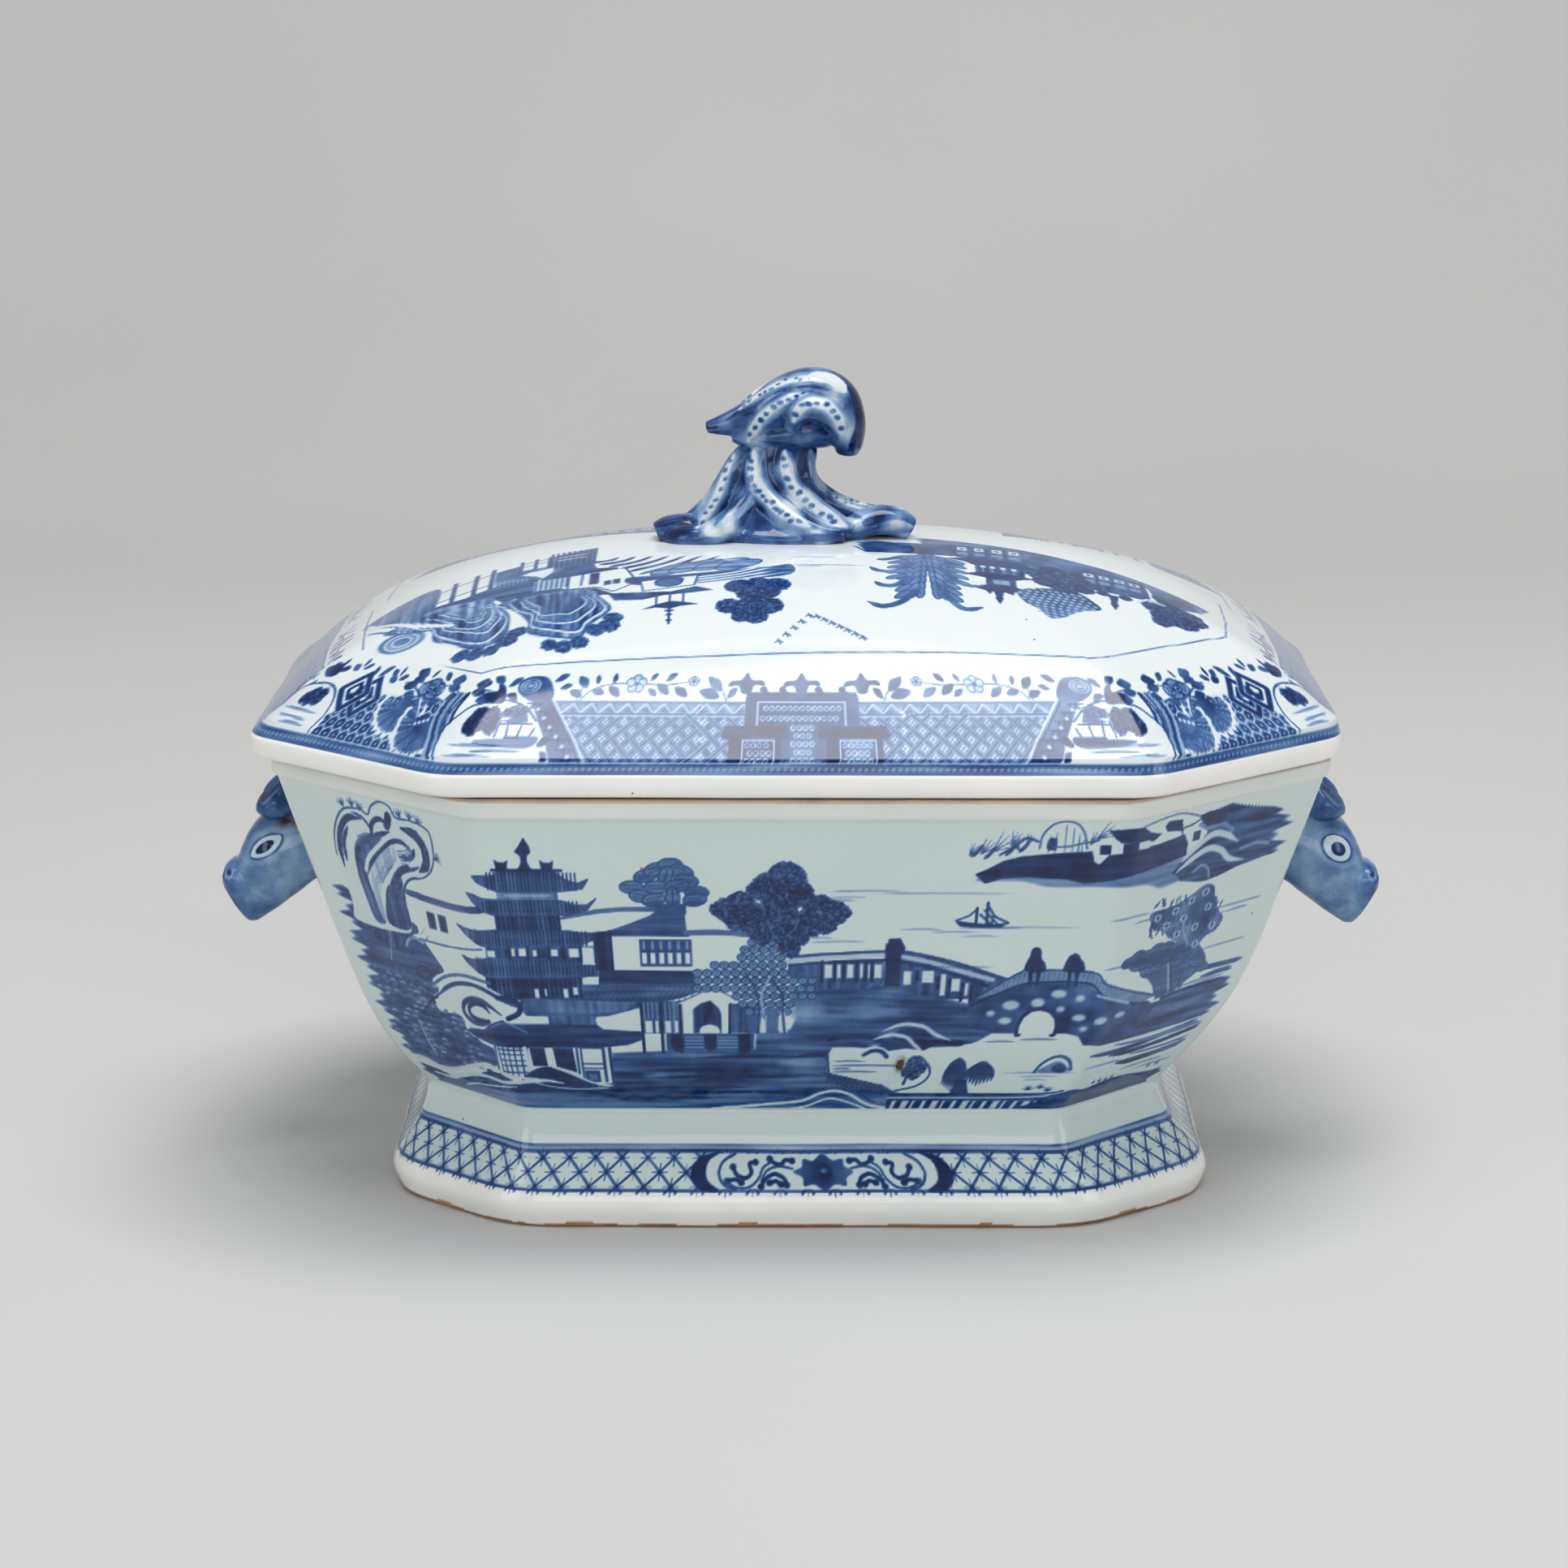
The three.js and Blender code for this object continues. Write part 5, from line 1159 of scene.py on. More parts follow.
def half_border(pen, end, pitch):
    """One half of the border, from the gate to the middle of the end wall."""
    quatrefoils(pen, 24, 80, pitch)
    triangle_strip(pen, 20, 82, pitch)
    quatrefoils(pen, 186, end + 1, pitch)
    triangle_strip(pen, 186, end + 1, pitch)
    scroll_roll(pen)
    petal_fan(pen)
    lozenge_fret(pen)
    ribbon_folds(pen)
    scalloped_view(pen)
    rose(pen, 125.6, 14.8)
    sprigs(
        pen,
        [(26, 16.6, -50, 4), (31.4, 19.2, 42, 6), (32.8, 16.3, 14, 6.4), (41.4, 16.8, 30, 5),
         (45, 21, -40, 3.8), (47, 17.6, 35, 5), (50.4, 21, -55, 2.8), (50, 16.6, 35, 3.6),
         (61.6, 16.8, 35, 4.8), (62.4, 20.6, 85, 3), (66.4, 16.6, 10, 4), (67.6, 20.2, 70, 3),
         (71.8, 19.4, 42, 5), (73, 16.2, 20, 4.4), (76.6, 18, -18, 3.4), (79, 20.6, -30, 4.2),
         (93, 19.2, -40, 4), (98.6, 19.8, 20, 4.4), (103.6, 18.4, -8, 5.6), (104, 16, -4, 5),
         (92, 15.2, 20, 3.6), (100.6, 14.4, -12, 6), (115.6, 18.4, -10, 6), (115.6, 16.2, -4, 5.4),
         (114.6, 13.8, -24, 4.4), (122, 18.8, 30, 4), (129, 18.8, -60, 2.8), (135, 18.4, 8, 6),
         (134.6, 16.6, 0, 5), (136.4, 14.6, -8, 5.6), (134, 12.2, 4, 5), (121.6, 11.6, -6, 4.6),
         (142.6, 16.2, -20, 3.6), (145.4, 17.8, 70, 3), (148.4, 17, 30, 3.8), (146.6, 15.2, 10, 4),
         (153.2, 17, -45, 4.8), (158, 16.6, 50, 3.4), (163.6, 17.2, -30, 3.4), (166.4, 18.2, 60, 3),
         (168.6, 16.4, 20, 4), (173, 15.4, -10, 4), (176, 17, 70, 3), (178.6, 15.6, 20, 4.6),
         (186, 17, -30, 4), (191, 17.6, 30, 5), (197, 16.4, -20, 4.6), (204, 19.4, 40, 4.6),
         (206, 16.2, 10, 5), (212, 20, -35, 4), (219, 16.6, 30, 4.6), (222, 20, -50, 3.4),
         (228, 17.4, 20, 5), (233, 19.4, 50, 3.6)],
        [[(27.6, 14.4), (29, 17), (32, 19.6)], [(40, 19.6), (46, 18.8), (54, 19), (62, 19),
         (68, 17.4), (71, 14.6)], [(72, 14.6), (71.4, 17.6)], [(90, 14), (96, 16), (104, 17)],
         [(111, 15), (118, 16.6), (122, 15.6)], [(129, 15.6), (134, 16), (140, 15)],
         [(186, 15), (196, 17), (208, 18), (220, 18), (236, 16)]],
        [(55.4, 19, 3), (38, 19.9, 1.6), (212, 17.6, 2.8)])
    for points in ([(94, 13.6), (95.4, 17.6), (98, 18.6), (97.4, 16.6), (101.4, 15.6), (98.6, 13.6)],
                   [(174, 13.6), (176, 16.6), (179.6, 16), (183, 14.4), (178, 12.6)]):
        pen.fill(points, 0.82, smooth=True, grain="blot")
    end_view = [(162, BORDER_LOW), (163.4, 6), (167, 9.6), (172, 11), (178, 10.6), (184, 8.6),
                (187, 4), (187, BORDER_LOW)]
    pen.fill(end_view, 0.03, smooth=True)
    pen.line(end_view, 0.4, DEEP)
    leafy_puffs(pen, [(171.4, 7.6, 2), (174.6, 7.4, 2.2), (177, 6.6, 1.4)], 0.74, 24)
    ripples(pen, [(166, 184, 3.6), (168, 182, 1.8), (166, 178, 0.6)], tone=0.5, width=0.4)


def paint_lid_border(pen, half):
    """half is how far the sheet reaches each way from the middle of the front."""
    pitch = 2 * half / 89
    half_border(pen, half, pitch)
    half_border(pen.at(9, wide=-1, high=1), half + 9, pitch)
    quatrefoils(pen, -24, 32, pitch)
    triangle_strip(pen, -24, 32, pitch)
    garden_gate(pen)
    pen.box(-half, half, -3.1, BORDER_LOW, 0.5, grain="flat", amount=0.4)
    for x in np.arange(-half, half, 2 * half / 260):
        pen.oval(x, -2.1, 0.5, 0.4, 0.26)
    for y, width, tone in ((-3.15, 0.4, 0.5), (BORDER_LOW - 0.1, 0.4, 0.56),
                           (BORDER_LOW + 0.35, 0.3, 0.12)):
        pen.line([(-half, y), (half, y)], width, tone, smooth=False, grain="flat", amount=0.3)


# ---- The landscape on top of the cover ------------------------------------------------------
# x and y are level, from the middle of the cover; the front of the cover is towards -y.

def terraced_rock(pen, outline, middle, rings):
    """Nested rounded terraces, each a wash with a white and a dark edge."""
    outline, middle = np.asarray(outline, float), np.asarray(middle, float)
    chance = np.random.default_rng(rings)
    for i in range(rings):
        part = middle + (outline - middle) * (1 - i * 0.16) + chance.normal(0, 0.55, outline.shape)
        pen.fill(part, (0.5, 0.66, 0.56, 0.7, 0.4)[i % 5], smooth=True, grain="tall", amount=0.6)
        edge = part[:-1]
        pen.line(edge, 1.2, 0.1, taper=(0.5, 0.5))
        pen.line(middle + (edge - middle) * 0.965, 0.5, 0.82, taper=(0.4, 0.4))
        for point in smooth_path(edge, steps=4)[1:-1:2]:
            inward = (middle - point) / np.linalg.norm(middle - point)
            pen.line([point + inward * 1.4, point + inward * 4], 0.35, 0.66, smooth=False)


def lid_left_rocks(pen):
    pen.fill([(-123.6, -28), (-121.6, -38), (-116, -46), (-108, -52), (-103, -46), (-104, -20)], 0.6,
             smooth=True, grain="tall", amount=0.3)
    pen.fill([(-106, -46), (-100, -44), (-92, -46), (-90, -54), (-95, -58), (-102, -54)], 0.4,
             smooth=True, grain="tall", amount=0.4)
    for rx, ry, tone in ((7.6, 5.4, 0.5), (5.2, 3.8, 0.4), (3, 2.2, 0.6)):
        pen.oval(-111, -58.6, rx, ry, tone, turn=-25, grain="blot")
        pen.ring(-111, -58.6, rx, ry, 0.8, 0.14, turn=-25)
    terraced_rock(pen, [(-116, -49), (-107, -56), (-103, -59), (-101, -65), (-96, -71.6), (-90, -77),
                        (-84, -79.6), (-80.4, -75), (-79.4, -68), (-80, -60), (-84.4, -51),
                        (-88, -45)], (-92, -49), 5)
    terraced_rock(pen, [(-84, -52), (-79.6, -60), (-75, -65), (-73.6, -71), (-72.6, -77.6),
                        (-66, -81.4), (-59, -81.4), (-55.6, -77), (-51, -71), (-50.4, -65.6),
                        (-54, -58), (-60, -51)], (-66, -55), 4)
    leafy_puffs(pen, [(-92.6, -78.6, 2.4), (-88.4, -80.6, 2.4), (-84, -81.4, 2.2), (-79.6, -78.4, 2.8),
                      (-77, -74.6, 2.6), (-67.4, -83, 2), (-63.6, -84, 2.2), (-59, -82.4, 2.2),
                      (-54.6, -77.4, 2.4), (-51, -75.6, 2.8), (-50, -72, 2.4)], 0.74, 31)
    pen.line([(-123, -32), (-119.6, -40), (-113, -47), (-105, -53.6), (-97, -58.4)], 1.8, 0.06)
    pen.line([(-122, -44), (-113, -52.6), (-105, -57)], 0.9, 0.6)


def lid_left_buildings(pen):
    pen.fill([(-86, -22), (-57, -12), (-57, -36), (-72, -38), (-86, -36)], 0.64, grain="blot")
    hatch(pen, -70, -57.6, -29, -13, 1.6, 0.6, 0.86)
    pen.box(-78.6, -70.6, -26, -17, 0.05)
    for x in (-78.8, -74.6, -70.6):
        pen.line([(x, -27), (x, -16)], 0.9, 0.8, smooth=False)
    for y in (-18.6, -21.8):
        pen.line([(-78, y), (-70, y + 1.2)], 0.6, 0.5)
        pen.line([(-68, y), (-60, y)], 0.6, 0.1)
    pen.fill([(-104.4, -42.6), (-104, -22), (-87.6, -18), (-87, -36.6), (-96, -40)], 0.04)
    for x, low, high in ((-104, -42, -24), (-98, -42, -22), (-91.8, -40, -20), (-87, -38, -18)):
        pen.line([(x, low), (x, high)], 1.3, 0.78, smooth=False)
    for shift in (0, 11):
        pen.line([(-104, -39.6 + shift), (-96, -37 + shift), (-87, -34 + shift)], 0.5, DARK)
    pen.fill([(-110, -44.4), (-104, -42.6), (-94, -41), (-86, -37), (-76, -32), (-73, -37.6),
              (-74, -48), (-82, -52), (-86, -46), (-95, -45), (-104, -46.4)], 0.74, grain="flat")
    hatch(pen, -85.6, -76, -38, -33.6, 1.3, 0.4, 0.2)
    pen.fill([(-78.6, -31), (-74, -34), (-71.6, -37), (-69, -32), (-69, -28), (-76, -29)], 0.06)
    pen.fill([(-72, -37.6), (-68, -31), (-58, -29), (-56, -35), (-50, -36.4), (-50, -38.4),
              (-72, -39.4)], 0.78, grain="blot")
    pen.box(-74, -64, -47.6, -39, 0.14)
    hatch(pen, -73.4, -64.4, -47, -39, 1.5, 0.5, 0.8)
    pen.fill([(-64, -39), (-48, -38), (-47.4, -49.4), (-50.4, -55.4), (-56, -50.4), (-64, -50)], 0.04)
    for left, right, low, high in ((-57.8, -55.2, -48, -39), (-53.4, -51.6, -49.8, -46.2),
                                   (-50.9, -49, -49.4, -45.8)):
        pen.box(left, right, low, high, 0.92)
    pen.line([(-60, -39), (-60.2, -48)], 0.5, 0.8)
    pen.line([(-64, -39), (-64, -50), (-56, -50.6), (-50.6, -55.6), (-44, -49.6), (-47.6, -38)], 0.5,
             0.85, smooth=False)
    pen.fill([(-79, -47), (-66, -47.8), (-64, -50), (-56, -51.6), (-50.4, -57.6), (-58, -57.6),
              (-70, -54), (-78, -54)], 0.88, grain="flat")


def lid_waves(pen):
    for i in range(7):
        start = (-58 + 3 * i, -27.6 - 3 * i)
        end = (-50 + 4.9 * i, -25.4 - 0.9 * i)
        middle = ((start[0] + end[0]) / 2 + 0.6, (start[1] + end[1]) / 2 - 1.4)
        under = [(x, y - 1.5) for x, y in (start, middle, end)]
        pen.line(under, 2.2, 0.8, taper=(0.5, 0.1), grain="blot")
        pen.line([start, middle, end], 1.2, 0.06, taper=(0.6, 0.2))
    for x, y, rx in ((-33, -42, 8), (-27, -40.6, 9), (-20, -40, 9), (-15, -41, 7.4)):
        pen.oval(x, y, rx, 3.4, 0.5, turn=28, grain="flat", amount=0.4)
        pen.ring(x, y, rx, 3.4, 0.5, 0.76, turn=28)
    pen.fill([(-47, -46), (-30, -47), (-8, -44), (0, -42), (0, -50), (-14, -53), (-28, -54),
              (-44, -52)], 0.7, smooth=True, grain="flat", amount=0.3)
    for i in range(4):
        pen.line([(-27, -50 - 1.6 * i), (-16, -47.6 - 1.8 * i), (-8 + 2 * i, -43 - 2 * i)], 1.1, 0.08,
                 taper=(0.6, 0.2))
    wall = [(-43, -49.6), (-26.6, -48.4), (-27.4, -55), (-42, -57)]
    pen.fill(wall, 0.04)
    pen.line(wall + wall[:1], 0.4, 0.85, smooth=False)
    pen.fill([(-38.4, -49.8), (-31, -49.4), (-31.6, -54), (-35, -55), (-38, -53.6)], 0.62, smooth=True)
    pen.ring(-34.8, -52, 3.8, 2.9, 0.5, 0.9)
    pen.fill([(-52, -57), (-44, -57.6), (-34, -58.6), (-27, -56), (-22, -59), (-28, -60), (-36, -60.6),
              (-42, -62.6), (-50, -62)], 0.84, grain="blot")
    for x in (-38, -34.2, -30.4):
        pen.line([(x, -60), (x, -66)], 0.5, 0.8)
    pen.fill([(-42, -68.4), (-38, -66), (-34, -64.4), (-30, -65.4), (-26, -66.8), (-31, -67.4),
              (-34, -68.6), (-38, -67.6)], 0.84)
    pen.line([(-34.2, -67), (-34.2, -76)], 0.6, 0.85)
    for y, size in ((-69.6, 1.4), (-71.6, 1), (-74.4, 0.9)):
        pen.oval(-34.2, y, size, 0.5, 0.85)


def lid_trees_and_birds(pen):
    leafy_puffs(pen, [(-14.6, -57.4, 3.8), (-9, -56.6, 4), (-4, -57, 3.8), (-11, -62, 4),
                      (-6.4, -61.4, 3.4), (-11.4, -69.6, 4.6), (-6, -69, 3.8), (-17.4, -68.6, 3.4),
                      (-9.6, -74, 3), (-13.6, -73.4, 2.6), (-10, -65.4, 3)], 0.8, 32)
    for i in range(12):
        share = i / 11
        x = -3 + 23.6 * share
        y = -84.6 + 11.4 * min(1, share * 2.6) - 9.6 * max(0, (share - 0.385) / 0.615)
        pen.line([(x - 1.1, y - 0.5), (x, y + 0.3), (x + 1.1, y - 0.6)], 0.42, 0.62)
        pen.line([(x - 0.4, y + 0.9), (x + 0.4, y - 1)], 0.42, 0.62)
    for side in (-1, 1):
        for i in range(8):
            y = -30.5 - 4.1 * i
            for reach, turn in ((0.6, 84), (2.6, 66), (5.6, 50), (8, 30)):
                if i > 4 and reach > 7:
                    continue
                x = 39.4 + side * (reach + 0.25 * i)
                pen.oval(x, y - reach * 0.35, 3.4, 1.2, 0.5, turn=side * -turn, grain="blot")
                pen.ring(x, y - reach * 0.35, 3.4, 1.2, 0.4, 0.8, turn=side * -turn)
    for path in ([(33, -31), (28.4, -35), (25, -36)], [(36, -38), (30.4, -45), (25.6, -45.8), (22.8, -43)],
                 [(35, -48), (30.6, -55), (26.4, -56), (24.2, -54)],
                 [(37, -56), (32, -65), (26.4, -68.4), (22, -66.4)], [(43, -32), (47, -36), (50, -36)],
                 [(43, -40), (47.4, -49), (51, -52), (55, -51.4)],
                 [(42, -54), (47, -65), (50.4, -67.6), (54.6, -66.2)]):
        pen.line(path, 2.2, 0.66, taper=(0.6, 0.25), grain="blot")


def dotted_windows(pen, xs, low, high):
    for x in xs:
        pen.box(x - 1.5, x + 1.5, low, high, 0.05)
        pen.oval(x, (low + high) / 2, 0.75, 0.8, 0.92)
        pen.box(x - 1.7, x + 1.7, low - 5.4, low - 2, 0.42)


def lid_spire(pen, x, base, tip):
    pen.fill([(x - 1.5, base), (x - 0.8, (base + tip) / 2), (x - 1.2, tip + 4), (x, tip),
              (x + 1.2, tip + 4), (x + 0.8, (base + tip) / 2), (x + 1.5, base)], 0.9)


def lid_right_town(pen):
    pen.fill([(38, -6), (66, -12), (92, -18), (122, -27), (119, -36), (112, -42), (106, -40),
              (104, -28), (84, -30), (68, -32), (48, -28), (38, -16)], 0.62, grain="blot", amount=0.3)
    pen.fill([(19.6, -18), (22, -13), (39, -14), (48, -14), (48, -27.4), (22, -28), (21, -24)], 0.8,
             grain="blot")
    pen.fill([(26.4, -14.4), (29, -8.4), (32, -6.6), (39, -14.8)], 0.04)
    pen.line([(19, -22), (22, -28), (47, -27.6)], 0.7, DARK, smooth=False)
    pen.fill([(45, -30.4), (51, -28), (68, -27), (70, -32), (66, -35.6), (54, -35.6), (50, -32)], 0.86)
    pen.box(47.6, 68, -28, -14.4, 0.76, grain="tall")
    dotted_windows(pen, (50, 55, 60.2, 65.2), -20.4, -16.4)
    pen.box(53.4, 67.6, -42, -34, 0.78, grain="tall")
    pen.box(56.2, 64.8, -51, -42, 0.84)
    pen.box(58.2, 63, -48.8, -45, 0.34, grain="tall")
    for x in (55.6, 58.4, 61.4, 64.6):
        pen.box(x - 0.8, x + 0.8, -36.4, -34.6, 0.08)
        pen.line([(x, -41), (x, -37)], 0.6, 0.45)
    pen.fill([(49.6, -42.8), (55, -40), (66, -40), (70.6, -41), (64.6, -43.8), (56, -44)], 0.94)
    pen.fill([(51.6, -52.2), (56, -49.8), (64.6, -49.8), (67, -51), (64, -54.4), (63.6, -56.4),
              (61.6, -55), (57.6, -55), (57, -57), (55.8, -54.4)], 0.94)
    lid_spire(pen, 59.6, -54.4, -63.4)
    pen.fill([(84, -27), (103, -24), (104, -38.6), (101, -41), (86, -41.6), (84, -38)], 0.76,
             grain="tall")
    dotted_windows(pen, (86.6, 91, 95.6, 100), -30.2, -27)
    pen.fill([(80.4, -31.6), (83.4, -30), (83.8, -33.4), (81, -33.4)], 0.05)
    lid_spire(pen, 93, -43, -54)
    for x in (90, 96.6):
        pen.oval(x, -43, 2, 1.9, 0.86)
    scales = [(65, -52.6), (71, -48), (82, -46.6), (87, -52), (88.6, -56.6), (83.6, -60), (80, -64),
              (77, -68), (73.4, -69.2), (70.6, -64), (67, -60.6)]
    pen.fill(scales, 0.72, smooth=True, grain="blot")
    for j in range(10):
        y = -49 - 2.1 * j
        left = np.interp(y, (-69, -60.6, -52.6, -48), (72.6, 67.4, 65.6, 71))
        right = np.interp(y, (-69, -60, -56.6, -48), (76, 84, 88, 83))
        for x in np.arange(left + 1.1 * (j % 2), right, 2.2):
            pen.oval(x, y, 0.72, 0.66, 0.2)
    leafy_puffs(pen, [(72, -35, 4), (78, -37, 5), (83, -37, 4), (74, -41, 4), (79, -43.6, 4.6),
                      (84.4, -43, 3), (76, -31, 4), (82, -32, 3), (105, -44, 3.6), (111, -43, 4),
                      (117, -47, 2.8), (108, -49.6, 4.4), (113, -50, 4), (106.4, -53.6, 2.6),
                      (116, -44, 2.6), (109, -36, 4), (114, -34, 4)], 0.84, 33)
    pen.line([(100, -43.6), (103, -41), (108, -41.4)], 0.9, 0.1)


def paint_lid_scene(pen):
    lid_waves(pen)
    lid_left_buildings(pen)
    lid_left_rocks(pen)
    lid_right_town(pen)
    lid_trees_and_birds(pen)
    pen.line([(-124.6, -2), (-124, -30), (-122.4, -57), (-86, -91.4), (-60, -90.2), (-20, -89.4),
              (0, -89), (50, -87.2), (84, -87.4), (90, -84.6), (125, -50), (126.6, -32), (127, -2)],
             0.42, 0.6, smooth=False)
    ripples(pen, [(0, 14, -35), (0, 22, -42.4), (2, 10, -43.6)], tone=0.35, width=0.7)


# ==== Shapes ==========================================================================

def node_points(node):
    """A CAD node's corner points, in mm."""
    mesh = frame["nodes"][node].data
    flat = np.empty(len(mesh.vertices) * 3, np.float32)
    mesh.vertices.foreach_get("co", flat)
    return flat.reshape(-1, 3).astype(float) / MM


def canted_section(level):
    """[half length, half width, corner x, corner y] of a level canted rectangle."""
    level = np.unique(level.round(3), axis=0)
    half_length, half_width = level.max(0)
    ring = level[convex_hull_2d([tuple(p) for p in level])]
    quarter = ring[(ring[:, 0] > 0) & (ring[:, 1] > 0)]
    quarter = quarter[np.argsort(np.arctan2(quarter[:, 1], quarter[:, 0]))]
    steps = np.diff(quarter, axis=0)
    cant = np.argmax(np.where(np.abs(steps).min(1) > 0.5, np.hypot(*steps.T), 0))
    (x, y), (dx, dy) = quarter[cant], steps[cant]
    return [half_length, half_width, x + (half_width - y) * dx / dy, y + (half_length - x) * dy / dx]


def node_sections(node, growing=False):
    """Heights and outer sections of a CAD node that is lofted through level rings.
    growing leaves out rings of an inner wall, which are smaller than one below them."""
    points = node_points(node)
    heights, sections = [], []
    for z in np.unique(points[:, 2].round(2)):
        section = canted_section(points[np.abs(points[:, 2] - z) < 0.02, :2])
        if not growing or not sections or section[0] > sections[-1][0]:
            heights.append(z)
            sections.append(section)
    return np.array(heights), np.array(sections)


def curve_through(knots, values, at):
    """A smooth curve through values at knots, read at any places."""
    knots, values, at = (np.asarray(v, float) for v in (knots, values, at))
    slopes = np.gradient(values, knots, axis=0)
    i = np.clip(np.searchsorted(knots, at) - 1, 0, len(knots) - 2)
    width = knots[i + 1] - knots[i]
    t = (at - knots[i]) / width
    if values.ndim > 1:
        width, t = width[:, None], t[:, None]
    return ((1 + 2 * t) * (1 - t) ** 2 * values[i] + width * t * (1 - t) ** 2 * slopes[i]
            + t * t * (3 - 2 * t) * values[i + 1] + width * t * t * (t - 1) * slopes[i + 1])


def inset(sections, by):
    """Sections moved inwards by a distance, one for all or one each."""
    by = np.broadcast_to(by, len(sections))
    trim = by * math.tan(math.pi / 8)
    return sections - np.stack([by, by, trim, trim], 1)


class Girth:
    """Distances round a canted rectangle, from the middle of its front towards +X.
    Each facet has one length at every level, so a facet's share is the same all the way up."""

    def __init__(self, front, cant, end):
        self.front, self.cant, self.end = front, cant, end
        lengths = [2 * front, cant, 2 * end, cant, 2 * front, cant, 2 * end, cant]
        self.corners = np.cumsum([-front] + lengths)
        self.total = sum(lengths)

    def columns(self, gaps):
        """Places for a mesh's columns: gaps are (from, to, spacing) in order round the girth."""
        parts = [np.linspace(a, b, max(2, round((b - a) / gap)), endpoint=False) for a, b, gap in gaps]
        return np.concatenate(parts)

    def points(self, sections, around, rounding, oval=None):
        """Level points, an array of rows by columns by 2, on each section. rounding is the
        reach of the rounded corners, one for all rows or one each, and oval turns each
        outline towards an ellipse."""
        a, b = sections[:, 0], sections[:, 1]
        x, y = sections[:, 2], sections[:, 3]
        corner = np.stack([np.stack(pair, 1) for pair in
                           ((-x, -b), (x, -b), (a, -y), (a, y), (x, b), (-x, b), (-a, y), (-a, -y))], 1)
        rows = np.arange(len(sections))[:, None]

        def flat(u):
            u = (u - self.corners[0]) % self.total + self.corners[0]
            k = np.clip(np.searchsorted(self.corners, u, side="right") - 1, 0, 7)
            t = ((u - self.corners[k]) / (self.corners[k + 1] - self.corners[k]))[..., None]
            return corner[rows, k] * (1 - t) + corner[rows, (k + 1) % 8] * t

        shape = (len(sections), len(around))
        u = np.broadcast_to(around, shape)
        reach = np.broadcast_to(np.reshape(rounding, (-1, 1)), shape)
        nearest = np.broadcast_to(self.corners[np.abs(around[:, None] - self.corners).argmin(1)], shape)
        s = np.clip((u - nearest + reach) / (2 * reach), 0, 1)[..., None]
        curve = ((1 - s) ** 2 * flat(nearest - reach) + 2 * s * (1 - s) * flat(nearest)
                 + s * s * flat(nearest + reach))
        points = np.where((np.abs(u - nearest) < reach)[..., None], curve, flat(u))
        if oval is not None:
            ab = sections[:, None, :2]
            angle = np.arctan2(points[..., 1] / ab[..., 1], points[..., 0] / ab[..., 0])
            ellipse = ab * np.stack([np.cos(angle), np.sin(angle)], -1)
            points += (ellipse - points) * oval[:, None, None]
        return points


def at_heights(points, z):
    """Adds a height for each row, or for each point, to level points."""
    z = np.broadcast_to(np.asarray(z, float).reshape(len(points), -1), points.shape[:2])
    return np.concatenate([points, z[..., None]], -1)


def grid_piece(name, points, body, nodes, closed_rows=False, poles=(None, None), tones=None):
    """A smooth closed mesh from rows of points, each a ring, in mm. The rows close on
    each other, or each end closes on a pole. tones are numbers for each point."""
    rows, cols = points.shape[:2]
    index = np.arange(rows * cols).reshape(rows, cols)
    index = np.concatenate([index, index[:, :1]], 1)
    if closed_rows:
        index = np.concatenate([index, index[:1]], 0)
    faces = np.stack([index[:-1, :-1], index[:-1, 1:], index[1:, 1:], index[1:, :-1]], -1)
    faces = faces.reshape(-1, 4).tolist()
    places = points.reshape(-1, 3)
    for pole, ring, order in ((poles[0], index[0], 1), (poles[1], index[-1], -1)):
        if pole is not None:
            top = len(places)
            places = np.vstack([places, [pole]])
            faces += [(top, int(b), int(a))[::order] for a, b in zip(ring[:-1], ring[1:])]
    mesh = bpy.data.meshes.new(name)
    mesh.from_pydata((places * MM).tolist(), [], faces)
    mesh.shade_smooth()
    for key, values in (tones or {}).items():
        flat = np.zeros(len(places), np.float32)
        flat[:rows * cols] = np.broadcast_to(values, (rows, cols)).ravel()
        mesh.attributes.new(key, "FLOAT", "POINT").data.foreach_set("value", flat)
    return add_piece(name, mesh, body, nodes)


def add_piece(name, mesh, body, nodes):
    piece = bpy.data.objects.new(name, mesh)
    bpy.context.scene.collection.objects.link(piece)
    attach(piece, body)
    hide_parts(*nodes)
    return piece


def smoothstep(low, high, value):
    t = np.clip((value - low) / (high - low), 0, 1)
    return t * t * (3 - 2 * t)


def steps_between(low, high, gap):
    return np.linspace(low, high, max(2, round(abs(high - low) / gap) + 1))


# ---- Bowl ------------------------------------------------------------------------------

BOWL_GIRTH = Girth(front=88, cant=80, end=56)
BOWL_WALL = 7
BOWL_FLOOR = 39.0  # height of the floor's upper side
COVE_TOP = 47  # where the inner wall starts to round into the floor
CORNER_REACH = 5
GLAZE_WAVE = 0.16  # how far the hand-pressed walls wander from true


def wander(points, seed, reach=GLAZE_WAVE):
    """Moves points a little up and down their wall, as hand-pressed clay does."""
    x, y, z = (points[..., i] for i in range(3))
    phase = np.random.default_rng(seed).uniform(0, 6, 6)
    wave = (np.sin(x / 23 + y / 31 + phase[0]) + np.sin(x / 11 - z / 17 + phase[1])
            + np.sin(y / 14 + z / 21 + phase[2]) + 0.6 * np.sin(x / 6.1 + y / 7.3 + phase[3]))
    size = np.hypot(x, y)[..., None] + 1
    points[..., :2] += points[..., :2] / size * (wave * reach)[..., None]
    return points


def settle(points):
    """The waist has slumped a little towards -X in the kiln."""
    points[..., 0] -= 2.2 * np.exp(-((points[..., 2] - 36) / 21) ** 2)
    return points


